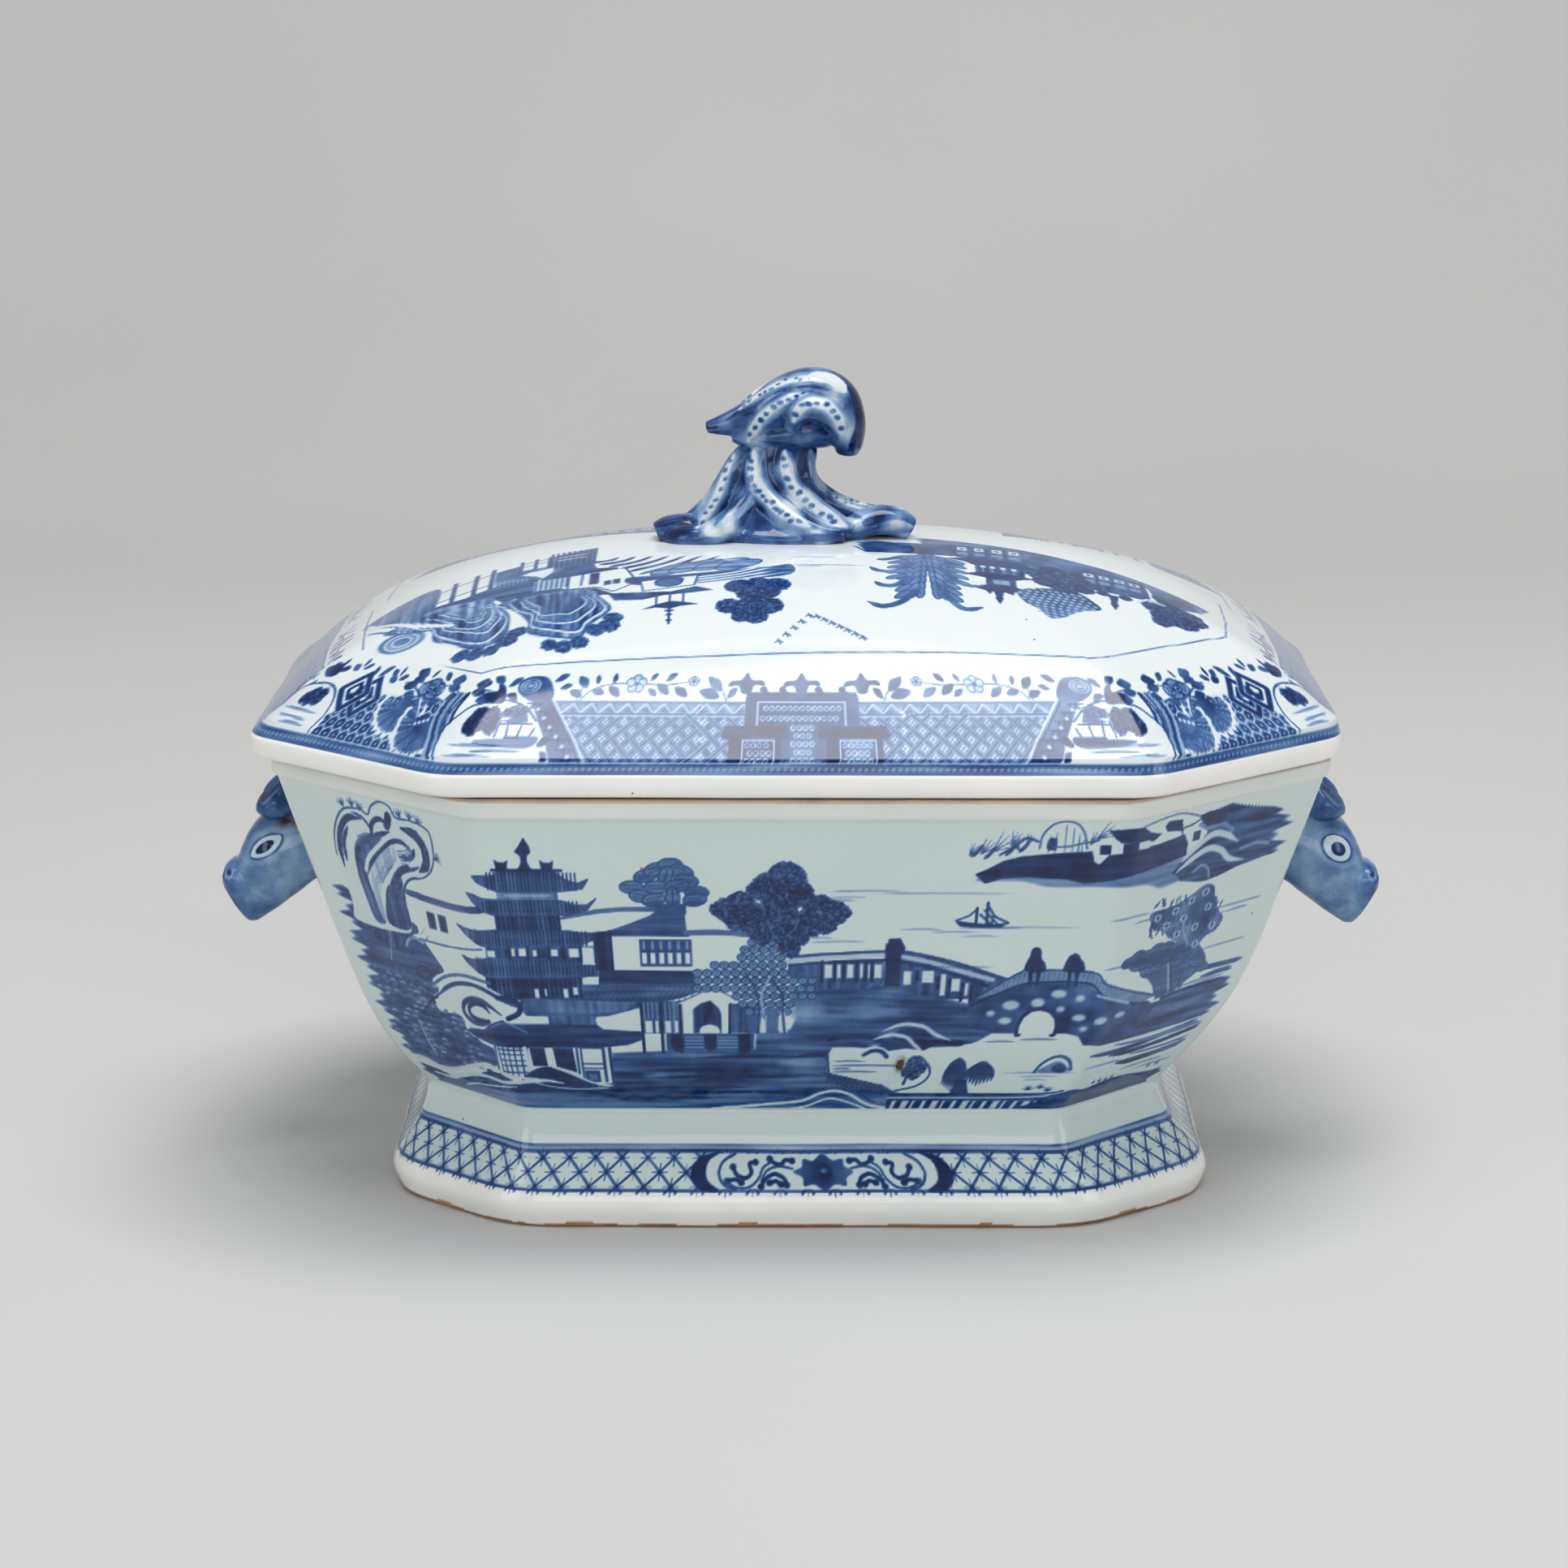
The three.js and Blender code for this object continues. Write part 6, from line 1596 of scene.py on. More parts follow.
def painted_columns(girth, fine):
    """Columns for a painted wall: finest where the painting is, coarser at the ends and back.
    fine are (from, to, spacing) for the front."""
    corners = girth.corners
    return girth.columns([
        *fine,
        (corners[1], corners[2], 0.5), (corners[2], corners[3], 0.7), (corners[3], corners[4], 0.62),
        (corners[4], corners[5], 0.62), (corners[5], corners[6], 0.62), (corners[6], corners[7], 0.7),
        (corners[7], corners[8], 0.45)])


def make_bowl():
    heights, sections = node_sections("bowl", growing=True)
    mouth, bottom = heights[-1], heights[0]
    around = painted_columns(BOWL_GIRTH, [(-BOWL_GIRTH.front, -40, 0.3), (-40, BOWL_GIRTH.front, 0.4)])

    waist = heights[1]
    outer_z = np.concatenate([[bottom, bottom + 0.6], steps_between(waist - 0.6, mouth - 1.2, 0.4)])
    lip_z = mouth - 1.2 + np.array([0.5, 0.9, 1.12, 1.2, 1.2, 1.12, 0.8, 0.2])
    lip_inset = np.array([0.1, 0.35, 0.8, 1.5, 4.9, 5.8, 6.5, 6.9])
    inner_z = np.array([125, 118, 108, 98, 88, 78, 68, 60, 54, 50, COVE_TOP])
    cove = np.radians([8, 24, 40, 56, 72, 90])
    floor = np.array([0.9, 0.75, 0.55, 0.35, 0.15])

    step = 1.1 * smoothstep(124.2, 126.2, outer_z) - 1.1 * smoothstep(125.6, 131.5, outer_z)
    rows = [(outer_z, outer_z, -step), (lip_z, lip_z, lip_inset), (inner_z, inner_z, BOWL_WALL)]
    z = np.concatenate([r[1] for r in rows])
    where = np.concatenate([r[0] for r in rows])
    by = np.concatenate([np.broadcast_to(r[2], len(r[0])) for r in rows])
    by[:2] += (2.2, 0.8)
    ring = inset(curve_through(heights, sections, np.clip(where, bottom, mouth)), by)
    cove_ring = inset(np.repeat(ring[-1:], len(cove), 0), 9 * (1 - np.cos(cove)))
    floor_ring = cove_ring[-1:] * floor[:, None]
    ring = np.vstack([floor_ring[::-1] * (1.02, 1.02, 1, 1), ring, cove_ring, floor_ring])
    cove_z = COVE_TOP - (COVE_TOP - BOWL_FLOOR) * np.sin(cove)
    z = np.concatenate([np.full(len(floor), bottom), z, cove_z, np.full(len(floor), BOWL_FLOOR)])
    points = settle(wander(at_heights(BOWL_GIRTH.points(ring, around, CORNER_REACH), z), 3))

    tone = read_bowl_side(around, z)
    clay = np.where((z > mouth - 1.0)[:, None], 0.6, 0.0) * np.ones(len(around))
    inside = np.arange(len(z)) >= len(floor) + len(outer_z)
    tone[inside] = 0
    tone[:len(floor)] = 0
    speck = 3.2 * np.exp(-((around - 32.5) / 1.3) ** 2 - ((z[:, None] - 49.5) / 2) ** 2)
    tones = {"cobalt": tone, "clay": clay, "stain_and_shade": speck * ~inside[:, None],
             "pale": (smoothstep(123.6, 126, z) + inside)[:, None] * np.ones(len(around))}
    return grid_piece("bowl_painted", points, "bowl", ["bowl"],
                      poles=((0, 0, bottom), (0, 0, BOWL_FLOOR)), tones=tones)


def read_bowl_side(around, z):
    """The landscape, once on the front and once on the back."""
    sheet = Sheet(-172, 172, 30, 131, 7)
    paint_bowl_side(Pen(sheet))
    half = BOWL_GIRTH.total / 2
    u = (around + half / 2) % half - half / 2
    tone = sheet.read(np.broadcast_to(u, (len(z), len(u))), np.broadcast_to(z[:, None], (len(z), len(u))))
    brush_end = (155 + 2.6 * np.sin(0.9 * z) + 1.8 * np.sin(2.3 * z))[:, None]
    fade = 1 - smoothstep(brush_end - 1.5, brush_end + 3, np.abs(u))
    return tone * fade * ((z > 33.2) & (z < 129))[:, None]


# ---- Foot --------------------------------------------------------------------------------

FOOT_GIRTH = Girth(front=80, cant=55, end=50)
SOLE_WIDTH = 9


def make_foot():
    heights, sections = node_sections("foot")
    top = 33.0
    around = painted_columns(FOOT_GIRTH, [(-80, 80, 0.42)])
    outer_z = np.concatenate([[0, 0.15, 0.5, 1.0], steps_between(1.5, 10.5, 0.75),
                              steps_between(10.8, 24, 0.36), steps_between(24.8, top, 0.8)])
    outer = curve_through(heights, sections, np.minimum(outer_z, heights[-1]))
    outer = inset(outer, -0.35 * (outer_z - heights[-1]).clip(0) * 0.8)
    outer = inset(outer, np.interp(outer_z, [0, 0.15, 0.5, 1.0], [0.9, 0.5, 0.15, 0]))
    bulge = 0.5 * np.exp(-((outer_z - 6) / 3.0) ** 2)
    outer = inset(outer, -bulge)
    inner_z = np.array([top, 30, 24, 18, 12, 6, 1, 0.2, 0])
    inner = inset(curve_through(heights, sections, np.clip(inner_z, 0.001, heights[-1])),
                  np.array([6, 7.6, 8, 8, 8, 8.4, 8.6, 8.8, SOLE_WIDTH]))
    z = np.concatenate([outer_z, inner_z])
    ring = np.vstack([outer, inner])
    splay = 1 - smoothstep(9, 20, z)
    ring[:, 2:] += splay[:, None] * (2.4, 3.4)
    reach = CORNER_REACH + 9 * splay
    points = settle(wander(at_heights(FOOT_GIRTH.points(ring, around, reach), z), 4))
    edge = 0.75 + 0.5 * np.sin(around / 13) * np.sin(around / 5.1 + 1)
    sole = z[:, None] < edge + 0.4
    tone = read_foot_band(around, z)
    tone[len(outer_z):] = 0
    # The pale colour on the lower roll of the foot is partly thinner glaze and partly painted light.
    tones = {"cobalt": tone, "clay": sole * np.ones(points.shape[:2]),
             "pale": (1 - smoothstep(9.6, 12, z))[:, None] * np.ones(len(around))}
    return grid_piece("foot_painted", points, "bowl", ["foot"],
                      closed_rows=True, tones=tones)


def read_foot_band(around, z):
    half = FOOT_GIRTH.total / 4
    sheet = Sheet(-half, half, 8, 26, 9)
    paint_foot_band(Pen(sheet), half)
    u = (around + half) % (2 * half) - half
    shape = (len(z), len(u))
    return sheet.read(np.broadcast_to(u, shape), np.broadcast_to(z[:, None], shape)) \
        * ((z > 8.4) & (z < 25.6))[:, None]


# ---- Cover --------------------------------------------------------------------------------

LID_GIRTH = Girth(front=98.2, cant=79, end=62.2)
DOME_BASE = 142.5
DOME_FOOT = np.array([154.0, 118.0, 98.2, 62.2])  # section of the dome at its base
DOME_SHIFT = 0.5  # its middle, along X
COVER_SOLE = 131.4  # the cover's underside, where it rests on the bowl
SHOULDER = 137.4  # where the flange's flat side starts to turn in towards the dome
FLANGE_REACH = 8  # of its rounded corners
BORDER_DEPTH = 25  # of the painted border, measured inwards from the dome's foot


def dome_shape(t, foot, rise):
    """Sections, heights and roundness of the dome's outlines, with t from its foot to its crown."""
    half_length, half_width, corner_x, corner_y = foot
    width = half_width * (1 - t)
    length = (1 - t) * (half_length + (half_length - half_width) * t)
    trim = half_width * t * math.tan(math.pi / 8)
    soft = smoothstep(0, 0.5, t)
    x = (corner_x - trim) * (1 - soft) + 0.7 * length * soft
    y = (corner_y - trim) * (1 - soft) + 0.5 * width * soft
    oval = np.minimum(1, 0.1 * np.minimum(1, t / 0.03) + 0.9 * (t / 0.5) ** 2.4)
    z = DOME_BASE + rise * (1 - (1 - t) ** 2.28 * (1 - 0.55 * t))
    return np.stack([length, width, x, y], 1), z, oval


def make_cover():
    low, high = (np.array(corner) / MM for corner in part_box("lid"))
    shift = (low[0] + high[0]) / 2
    crown = high[2] + 0.4
    rise = crown - DOME_BASE
    flange = np.array([[(high[0] - low[0]) / 2 - 0.3, high[1] - 0.4, 99, 63]])
    around = painted_columns(LID_GIRTH, [(-LID_GIRTH.front, LID_GIRTH.front, 0.4)])

    t = np.concatenate([steps_between(0.002, BORDER_DEPTH / DOME_FOOT[1], 0.0032),
                        steps_between(0.215, 0.78, 0.0036), steps_between(0.79, 0.985, 0.02)])
    outer, outer_z, outer_oval = dome_shape(t, DOME_FOOT, rise)
    roll_z = COVER_SOLE + np.array([0, 0.02, 0.3, 1, 2, 3.4, 4.8])
    roll_in = np.array([5.5, 4.2, 2.6, 1.2, 0.4, 0.05, 0])
    turn_z = steps_between(SHOULDER, DOME_BASE - 0.2, 0.32)
    turn = ((turn_z - SHOULDER) / (DOME_BASE - SHOULDER)) ** 1.3
    under = np.linspace(0.93, 0.02, 24)
    inner, inner_z, inner_oval = dome_shape(under, DOME_FOOT, rise)
    thick = 5.6 * (1 - under)
    inner = inset(inner, np.minimum(thick, inner[:, 1] * 0.3))
    inner_z = np.maximum(inner_z - 4.6 - 1.9 * under, 140)
    wall_in = np.array([24, 22.4, 20.6, 20])
    wall_z = COVER_SOLE + np.array([7.6, 4.6, 1, 0])
    keep = inner[:, 1] < inset(flange, 24.6)[0, 1]
    inner, inner_z, inner_oval = inner[keep], inner_z[keep], inner_oval[keep]

    flat_in = np.concatenate([wall_in, roll_in])
    ring = np.vstack([inner, inset(np.repeat(flange, len(flat_in), 0), flat_in),
                      flange + (DOME_FOOT - flange) * turn[:, None], outer])
    z = np.concatenate([inner_z, wall_z, roll_z, turn_z, outer_z])
    oval = np.concatenate([inner_oval, np.zeros(len(flat_in)), 0.02 * turn, outer_oval])
    points = at_heights(LID_GIRTH.points(ring, around, FLANGE_REACH, oval), z)
    points = wander(points, 5, 0.12)

    first = len(ring) - len(outer) - len(turn)
    depth = np.concatenate([0.85 * (turn_z - DOME_BASE), t * DOME_FOOT[1]])
    tone = np.zeros(points.shape[:2])
    tone[first:] = read_cover(points[first:], around, depth)
    share = np.concatenate([np.ones(len(inner)), np.zeros(len(flat_in)), turn, np.ones(len(outer))])
    points[..., 0] += (shift + (DOME_SHIFT - shift) * share)[:, None]
    clay = np.zeros(points.shape[:2])
    clay[len(inner) + 2:len(inner) + len(wall_in) + 1] = 1
    # The pale colour on the flange is partly thinner glaze and partly painted light.
    pale = 1 - smoothstep(SHOULDER + 1, SHOULDER + 3, z)
    tones = {"cobalt": tone, "clay": clay, "pale": pale[:, None] * np.ones(len(around))}
    return grid_piece("lid_painted", points, "lid", ["lid"],
                      poles=((DOME_SHIFT, 0, inner_z[0] + 0.4), (DOME_SHIFT, 0, crown)), tones=tones)


PAINTING_SHIFT = 3.2  # how far left of the cover's middle its painting is centred


def read_cover(points, around, depth):
    half = LID_GIRTH.total / 4
    border = Sheet(-half, half, -4, BORDER_DEPTH, 11)
    paint_lid_border(Pen(border), half)
    u = (around + PAINTING_SHIFT + half) % (2 * half) - half
    depth = np.broadcast_to(depth[:, None], points.shape[:2])
    tone = border.read(np.broadcast_to(u, depth.shape), depth) * (depth < BORDER_DEPTH - 0.5)
    tone = np.clip(tone * 1.18, 0, 1)
    scene = Sheet(-130, 130, -97, 2, 13)
    paint_lid_scene(Pen(scene))
    side = np.where(points[..., 1] > 0, -1, 1)
    inner = scene.read(points[..., 0] * side + PAINTING_SHIFT, points[..., 1] * side)
    return np.maximum(tone, inner * (depth > 21))


def make_seating_ring():
    low, high = (np.array(corner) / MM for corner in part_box("seating_ring"))
    shift, top = (low[0] + high[0]) / 2, high[2] + 0.3
    outer = canted_section(node_points("seating_ring")[:, :2] - (shift, 0))
    outer = np.array([outer])
    around = LID_GIRTH.columns([(-LID_GIRTH.front, LID_GIRTH.total - LID_GIRTH.front, 1.6)])
    profile = np.array([[4.4, 0.5], [3.6, 0.1], [2.6, 0], [1.9, 0.3], [1.5, 1], [0.9, 4], [0, 7.5],
                        [-0.2, top - low[2]], [5.2, top - low[2]], [5, 7.5], [4.8, 3]])
    ring = inset(np.repeat(outer, len(profile), 0), profile[:, 0])
    points = at_heights(LID_GIRTH.points(ring, around, CORNER_REACH), low[2] + profile[:, 1])
    points = wander(points, 6, 0.15)
    points[..., 0] += shift
    return grid_piece("seating_ring_bare", points, "lid", ["seating_ring"],
                      closed_rows=True)


# ---- Handle heads ---------------------------------------------------------------------------

LOOK_DOWN = 0.21  # how far a point in front of the middle looks lower, from a little above

# Sections of a head from the wall to the muzzle, for the +X end:
# [crown x, crown z, jaw x, jaw z, half width]
HEAD_SECTIONS = np.array([
    [150, 106.4, 141.5, 84.5, 12.6],
    [156.4, 104.6, 146, 82.2, 13.4],
    [162.2, 101.4, 150, 79.1, 13.8],
    [165.8, 97, 153.5, 76.5, 13.2],
    [168, 92.6, 157, 73.8, 12],
    [169.5, 89, 160, 71.8, 11],
    [171.4, 87.9, 161.8, 70.6, 10.6],
    [173.4, 86, 163.4, 69.6, 10.2],
    [173.8, 83.4, 164.6, 69.4, 9.8],
])
EYES = {
    -1: {"x": 159.6, "z": 91.8, "long": 6, "short": 2.9, "tilt": 33, "power": 1.4, "pupil": (3.3, 1.35)},
    1: {"x": 160.2, "z": 91.8, "long": 5, "short": 3.8, "tilt": 38, "power": 2, "pupil": (2.4, 2)},
}


def bump(points, normal, centre, reach, height):
    """Pushes points near a centre along their normals."""
    gap = ((points - centre) ** 2).sum(-1)
    return points + normal * (height * np.exp(-gap / reach**2))[..., None]


def ring_normals(points):
    along = np.gradient(points, axis=0)
    around = np.roll(points, -1, 1) - np.roll(points, 1, 1)
    normal = np.cross(around, along)
    return normal / (np.linalg.norm(normal, axis=-1, keepdims=True) + 1e-9)


def seen_height(points):
    """Height as it looks from a little above, on either side."""
    return points[..., 2] - LOOK_DOWN * np.abs(points[..., 1])


def eye_places(points, eye):
    """An almond's measure, 1 on its edge, and a pupil's, for points of a head's side."""
    tilt = math.radians(eye["tilt"])
    dx, dz = points[..., 0] - eye["x"], seen_height(points) - eye["z"]
    along = -dx * math.cos(tilt) + dz * math.sin(tilt)
    across = dx * math.sin(tilt) + dz * math.cos(tilt)
    almond = (along / eye["long"]) ** 2 + np.abs(across / eye["short"]) ** eye["power"]
    pupil = np.hypot((along + 0.4) / eye["pupil"][0], across / eye["pupil"][1])
    return almond, pupil


def make_head(name, side):
    share = np.linspace(0, 1, len(HEAD_SECTIONS))
    section = curve_through(share, HEAD_SECTIONS, np.linspace(0, 1, 150))
    angle = np.linspace(0, 2 * math.pi, 320, endpoint=False)
    crown = np.stack([section[:, 0], section[:, 1]], 1)
    jaw = np.stack([section[:, 2], section[:, 3]], 1)
    centre, reach = (crown + jaw) / 2, (crown - jaw) / 2
    up = np.sign(np.sin(angle)) * np.abs(np.sin(angle)) ** 0.8
    out = np.sign(np.cos(angle)) * np.abs(np.cos(angle)) ** 0.66
    taper = 1 - 0.16 * np.clip(np.sin(angle), 0, 1) - 0.05 * np.clip(-np.sin(angle), 0, 1)
    x = centre[:, :1] + reach[:, :1] * up
    z = centre[:, 1:] + reach[:, 1:] * up
    y = section[:, 4:] * (out * taper)
    points = np.stack([x, y, z], -1)
    muzzle = points[-1].mean(0)
    forward = np.array([0.8, 0, -0.55])
    caps = [muzzle + (points[-1] - muzzle) * shrink + forward * push
            for shrink, push in ((0.975, 0.45), (0.94, 0.75), (0.88, 0.95), (0.76, 1.05), (0.6, 1.1),
                                 (0.4, 1.1), (0.2, 1.1))]
    points = np.concatenate([points, np.array(caps)], 0)
    normal = ring_normals(points)
    eye = EYES[side]
    for y_side in (-1, 1):
        for spot, reach_mm, height in (
                ((171.6, y_side * 7.4, 84), 2.6, 1.3), ((172.6, y_side * 9.4, 84.6), 1.0, -0.8),
                ((eye["x"], y_side * 13, eye["z"] + 2.7), 4.6, 0.7), ((155, y_side * 13, 86), 7, 0.5),
                ((164.4, y_side * 10.5, 80), 4, -0.35)):
            points = bump(points, normal, np.array(spot), reach_mm, height)
    almond, pupil = eye_places(points, eye)
    on_side = smoothstep(6.5, 8, np.abs(points[..., 1]))
    rim = np.exp(-((almond - 1.06) / 0.13) ** 2) * on_side
    points = points - normal * (0.3 * rim)[..., None]
    points[..., 0] = np.minimum(points[..., 0], cad_box[1][0] / MM - 0.05)

    seen = seen_height(points)
    edge = smoothstep(0.6, 1, np.abs(np.sin(angle)))[None, :]
    tone = 0.44 + 0.14 * smoothstep(166, 173, points[..., 0]) + 0.12 * edge
    tone = tone - 0.12 * np.exp(-((points[..., 0] - 152) / 5) ** 2)
    tone = tone - 0.1 * np.exp(-((almond - 1.7) / 0.5) ** 2)
    eye_tone = tone + (0.72 - tone) * (1 - smoothstep(1.0, 1.3, almond))
    eye_tone = eye_tone + (0.06 - eye_tone) * (1 - smoothstep(0.82, 0.98, almond))
    eye_tone = eye_tone + (1.0 - eye_tone) * (1 - smoothstep(0.9, 1.06, pupil))
    tone = tone + (eye_tone - tone) * on_side
    nostril = np.hypot((points[..., 0] - 171.3) / 1.1, (seen - 83.8) / 1.7)
    # A pale ring round each nostril is a painted highlight on its rim.
    ring = 0.75 * np.exp(-((nostril - 1) / 0.34) ** 2) * on_side
    tone = tone + (0.22 - tone) * ring
    tone = tone + (0.85 - tone) * (1 - smoothstep(0.3, 0.75, nostril)) * on_side
    scorch = np.exp(-((points[..., 0] - 153) / 3.6) ** 2 - ((seen - 99.4) / 2.1) ** 2)
    scorch = 1.2 * scorch * (side < 0) * (points[..., 1] < 0)
    flip = np.array([side, 1, 1])
    tail, pole = points[0].mean(0) * flip, (muzzle + forward * 1.1) * flip
    return grid_piece(name + "_glazed", wound(points * flip, side), "bowl", [name],
                      poles=(tail, pole),
                      tones={"cobalt": wound(tone, side), "stain_and_shade": wound(scorch, side)})


def wound(rows, side):
    """Rows of points or tones, turned round so that their faces look outwards."""
    return rows[:, ::-1] if side > 0 else rows


EAR_SECTIONS = np.array([  # [centre x, centre z, radius along x, radius along y]
    [157, 102.6, 3.2, 2.6],
    [157.2, 103.8, 4.9, 4.2],
    [157.3, 105, 5.5, 4.9],
    [157.2, 107, 5.3, 5],
    [156.9, 109, 4.6, 4.4],
    [156.4, 111, 3.3, 3.2],
    [156, 112.5, 1.8, 1.8],
    [155.9, 113.5, 0.5, 0.5],
])


EAR_SIDE = 8.4  # how far an ear's middle stands from the middle of the head, along Y


def make_ear(name, side, front):
    share = np.linspace(0, 1, len(EAR_SECTIONS))
    section = curve_through(share, EAR_SECTIONS, np.linspace(0, 1, 90))
    angle = np.linspace(0, 2 * math.pi, 120, endpoint=False)
    x = section[:, :1] + section[:, 2:3] * np.cos(angle)
    y = EAR_SIDE * front + section[:, 3:] * np.sin(angle)
    z = np.broadcast_to(section[:, 1:2], x.shape)
    points = np.stack([x, y, z], -1)
    normal = -ring_normals(points)
    slit = np.linspace((160.3, 105.8), (156.2, 110.2), 16)
    seen = np.stack([points[..., 0], seen_height(points)], -1)
    gap = np.min(np.linalg.norm(seen[:, :, None] - slit, axis=-1), -1)
    outside = (points[..., 1] - EAR_SIDE * front) * front > -0.5
    gap = np.where(outside, gap, 9)
    points = points + normal * (0.55 * np.exp(-((gap - 1.3) / 0.6) ** 2)
                                - 1.1 * np.exp(-(gap / 0.75) ** 2))[..., None]
    tone = 0.7 - 0.36 * np.exp(-((gap - 0.95) / 0.3) ** 2) + 0.25 * (1 - smoothstep(102, 103.4, z))
    # Dark brown along each ear's slit, deepest in its groove, is painted shade in the ear's opening.
    stain_and_shade = 0.9 * np.exp(-(gap / 0.5) ** 2)
    flip = np.array([side, 1, 1])
    poles = [np.array((p[0], EAR_SIDE * front, p[1] + lift)) * flip
             for p, lift in ((EAR_SECTIONS[0], -0.5), (EAR_SECTIONS[-1], 0.3))]
    return grid_piece(name + "_glazed", wound(points * flip, -side), "bowl", [name],
                      poles=poles, tones={"cobalt": wound(tone, -side), "stain_and_shade": wound(stain_and_shade, -side)})


# ---- Finial -----------------------------------------------------------------------------------

def tube(path, radii, flatten=1.0, sides=24):
    """A tapered round strand along a path: the points of its rings."""
    path, radii = np.asarray(path, float), np.asarray(radii, float)
    knots = np.linspace(0, 1, len(path))
    at = np.linspace(0, 1, len(path) * 8)
    centres = curve_through(knots, path, at)
    radius = curve_through(knots, radii, at)
    along = np.gradient(centres, axis=0)
    along /= np.linalg.norm(along, axis=1)[:, None]
    across = np.cross(along, (0.0, 1.0, 0.0))
    across /= np.linalg.norm(across, axis=1)[:, None] + 1e-9
    deep = np.cross(across, along)
    angle = np.linspace(0, 2 * math.pi, sides, endpoint=False)
    ring = across[:, None] * np.cos(angle)[:, None] + deep[:, None] * np.sin(angle)[:, None] * flatten
    return centres, centres[:, None] + ring * radius[:, None, None]


def strand_mesh(strands):
    """Closed tapered tubes in one mesh, to be fused."""
    places, faces = [], []
    for strand in strands:
        centres, rings = tube(*strand)
        start, (rows, cols) = len(places), rings.shape[:2]
        places += rings.reshape(-1, 3).tolist() + [centres[0].tolist(), centres[-1].tolist()]
        for i in range(rows - 1):
            row = start + i * cols
            faces += [[row + j, row + (j + 1) % cols, row + cols + (j + 1) % cols, row + cols + j]
                      for j in range(cols)]
        ends = start + rows * cols
        last = ends - cols
        faces += [[ends, start + (j + 1) % cols, start + j] for j in range(cols)]
        faces += [[ends + 1, last + j, last + (j + 1) % cols] for j in range(cols)]
    mesh = bpy.data.meshes.new("strands")
    mesh.from_pydata((np.array(places) * MM).tolist(), [], faces)
    return mesh


def fused(mesh, voxel, smooth_steps):
    """One smooth skin over overlapping closed shapes."""
    holder = bpy.data.objects.new("fusing", mesh)
    bpy.context.scene.collection.objects.link(holder)
    remesh = holder.modifiers.new("remesh", "REMESH")
    remesh.mode = "VOXEL"
    remesh.voxel_size = voxel * MM
    relax = holder.modifiers.new("relax", "SMOOTH")
    relax.factor = 0.5
    relax.iterations = smooth_steps
    graph = bpy.context.evaluated_depsgraph_get()
    result = bpy.data.meshes.new_from_object(holder.evaluated_get(graph))
    bpy.data.objects.remove(holder)
    result.shade_smooth()
    return result


def seen(*places):
    """Points given as (x, y, height as seen from a little above)."""
    return [(x, y, z + LOOK_DOWN * abs(y)) for x, y, z in places]


CURL_STRANDS = [
    ([(-28, 0, 218.8), (-21.6, 0, 219.8), (-13, 0, 222), (-5, 0, 225.4), (3, 0, 227.4), (9, 0, 225.8),
      (12.6, 0, 221), (13.8, 0, 214.6), (13.6, 0, 210.6)], [1.7, 3.6, 6, 8.4, 9.3, 8.8, 6.8, 5, 3], 1.25),
    ([(-20, 0, 217.2), (-12, 0, 216), (-4, 0, 216.6), (3, 0, 217.6), (9, 0, 216.6)],
     [2.8, 4.8, 5.8, 5.6, 3.8], 1.4),
    (seen((-20, -4, 221), (-12, -7.4, 225.8), (-3, -9.4, 229.6), (5, -9.6, 230.4), (11, -8.4, 228)),
     [1.4, 2.3, 2.7, 2.7, 1.8], 1),
    (seen((-15, -6.4, 215.6), (-11, -9.6, 220.2), (-6, -11, 224), (-1, -11, 226.4), (5, -10, 227)),
     [1.8, 2.8, 3, 2.6, 1.6], 1),
    (seen((-3, -9, 217.6), (-1.2, -11.6, 221.6), (3, -12.8, 223.4), (7.6, -12.4, 222), (11.4, -10.8, 218.4),
          (12.6, -8.8, 214.8)), [2.4, 3.4, 3.9, 3.9, 3.4, 2.6], 1),
]
STEM_STRANDS = [
    ([(-6, 0, 215), (-6.6, 0, 211.6), (-8.4, 0, 205.6), (-9, 0, 199.2), (-8.6, 0, 193.4), (-8, 0, 188.6),
      (-7.6, 0, 186)], [10.6, 11, 12, 14.4, 18.4, 22.4, 21], 0.86),
    (seen((-15.6, -3, 212), (-19, -4, 207), (-22.4, -5, 200.6), (-25.6, -6, 194.6), (-30.4, -7, 189),
          (-35, -7, 186.6)), [2.4, 3, 3.2, 3.6, 3.8, 3], 1),
    (seen((-12, -7, 212), (-13.4, -8.6, 205.6), (-12.2, -9.8, 200), (-8, -12, 194.6), (-1.4, -15.4, 189),
          (6, -17.4, 185.8), (13, -16.6, 185.6)), [2.8, 3.4, 3.7, 4.2, 4.2, 3.4, 2.2], 1),
    (seen((-4.4, -8, 212), (-4, -9, 205.6), (-1.8, -9.8, 200.2), (3, -11, 194.8), (9.6, -13, 189.8),
          (15.4, -13.6, 187)), [2.8, 3.4, 3.6, 3.8, 3.6, 2.6], 1),
    (seen((2.4, -2, 213), (1.4, -3, 206), (3, -4, 200.6), (8.4, -4.6, 196), (15.4, -5, 193.2),
          (22, -5, 192.2), (27, -4, 191.2)), [2.8, 3.2, 3.4, 3.2, 2.6, 1.8, 0.9], 1),
    (seen((-14, -9, 201), (-17.4, -12, 194), (-22, -14.6, 188.4), (-28, -15, 185), (-32, -14, 184)),
     [2.2, 3.4, 4.2, 3.8, 2.4], 1),
    (seen((-20, -14, 185.2), (-10, -17, 184), (1, -17.8, 184), (10, -15, 185)), [2.4, 2.6, 2.6, 2.2], 1),
]
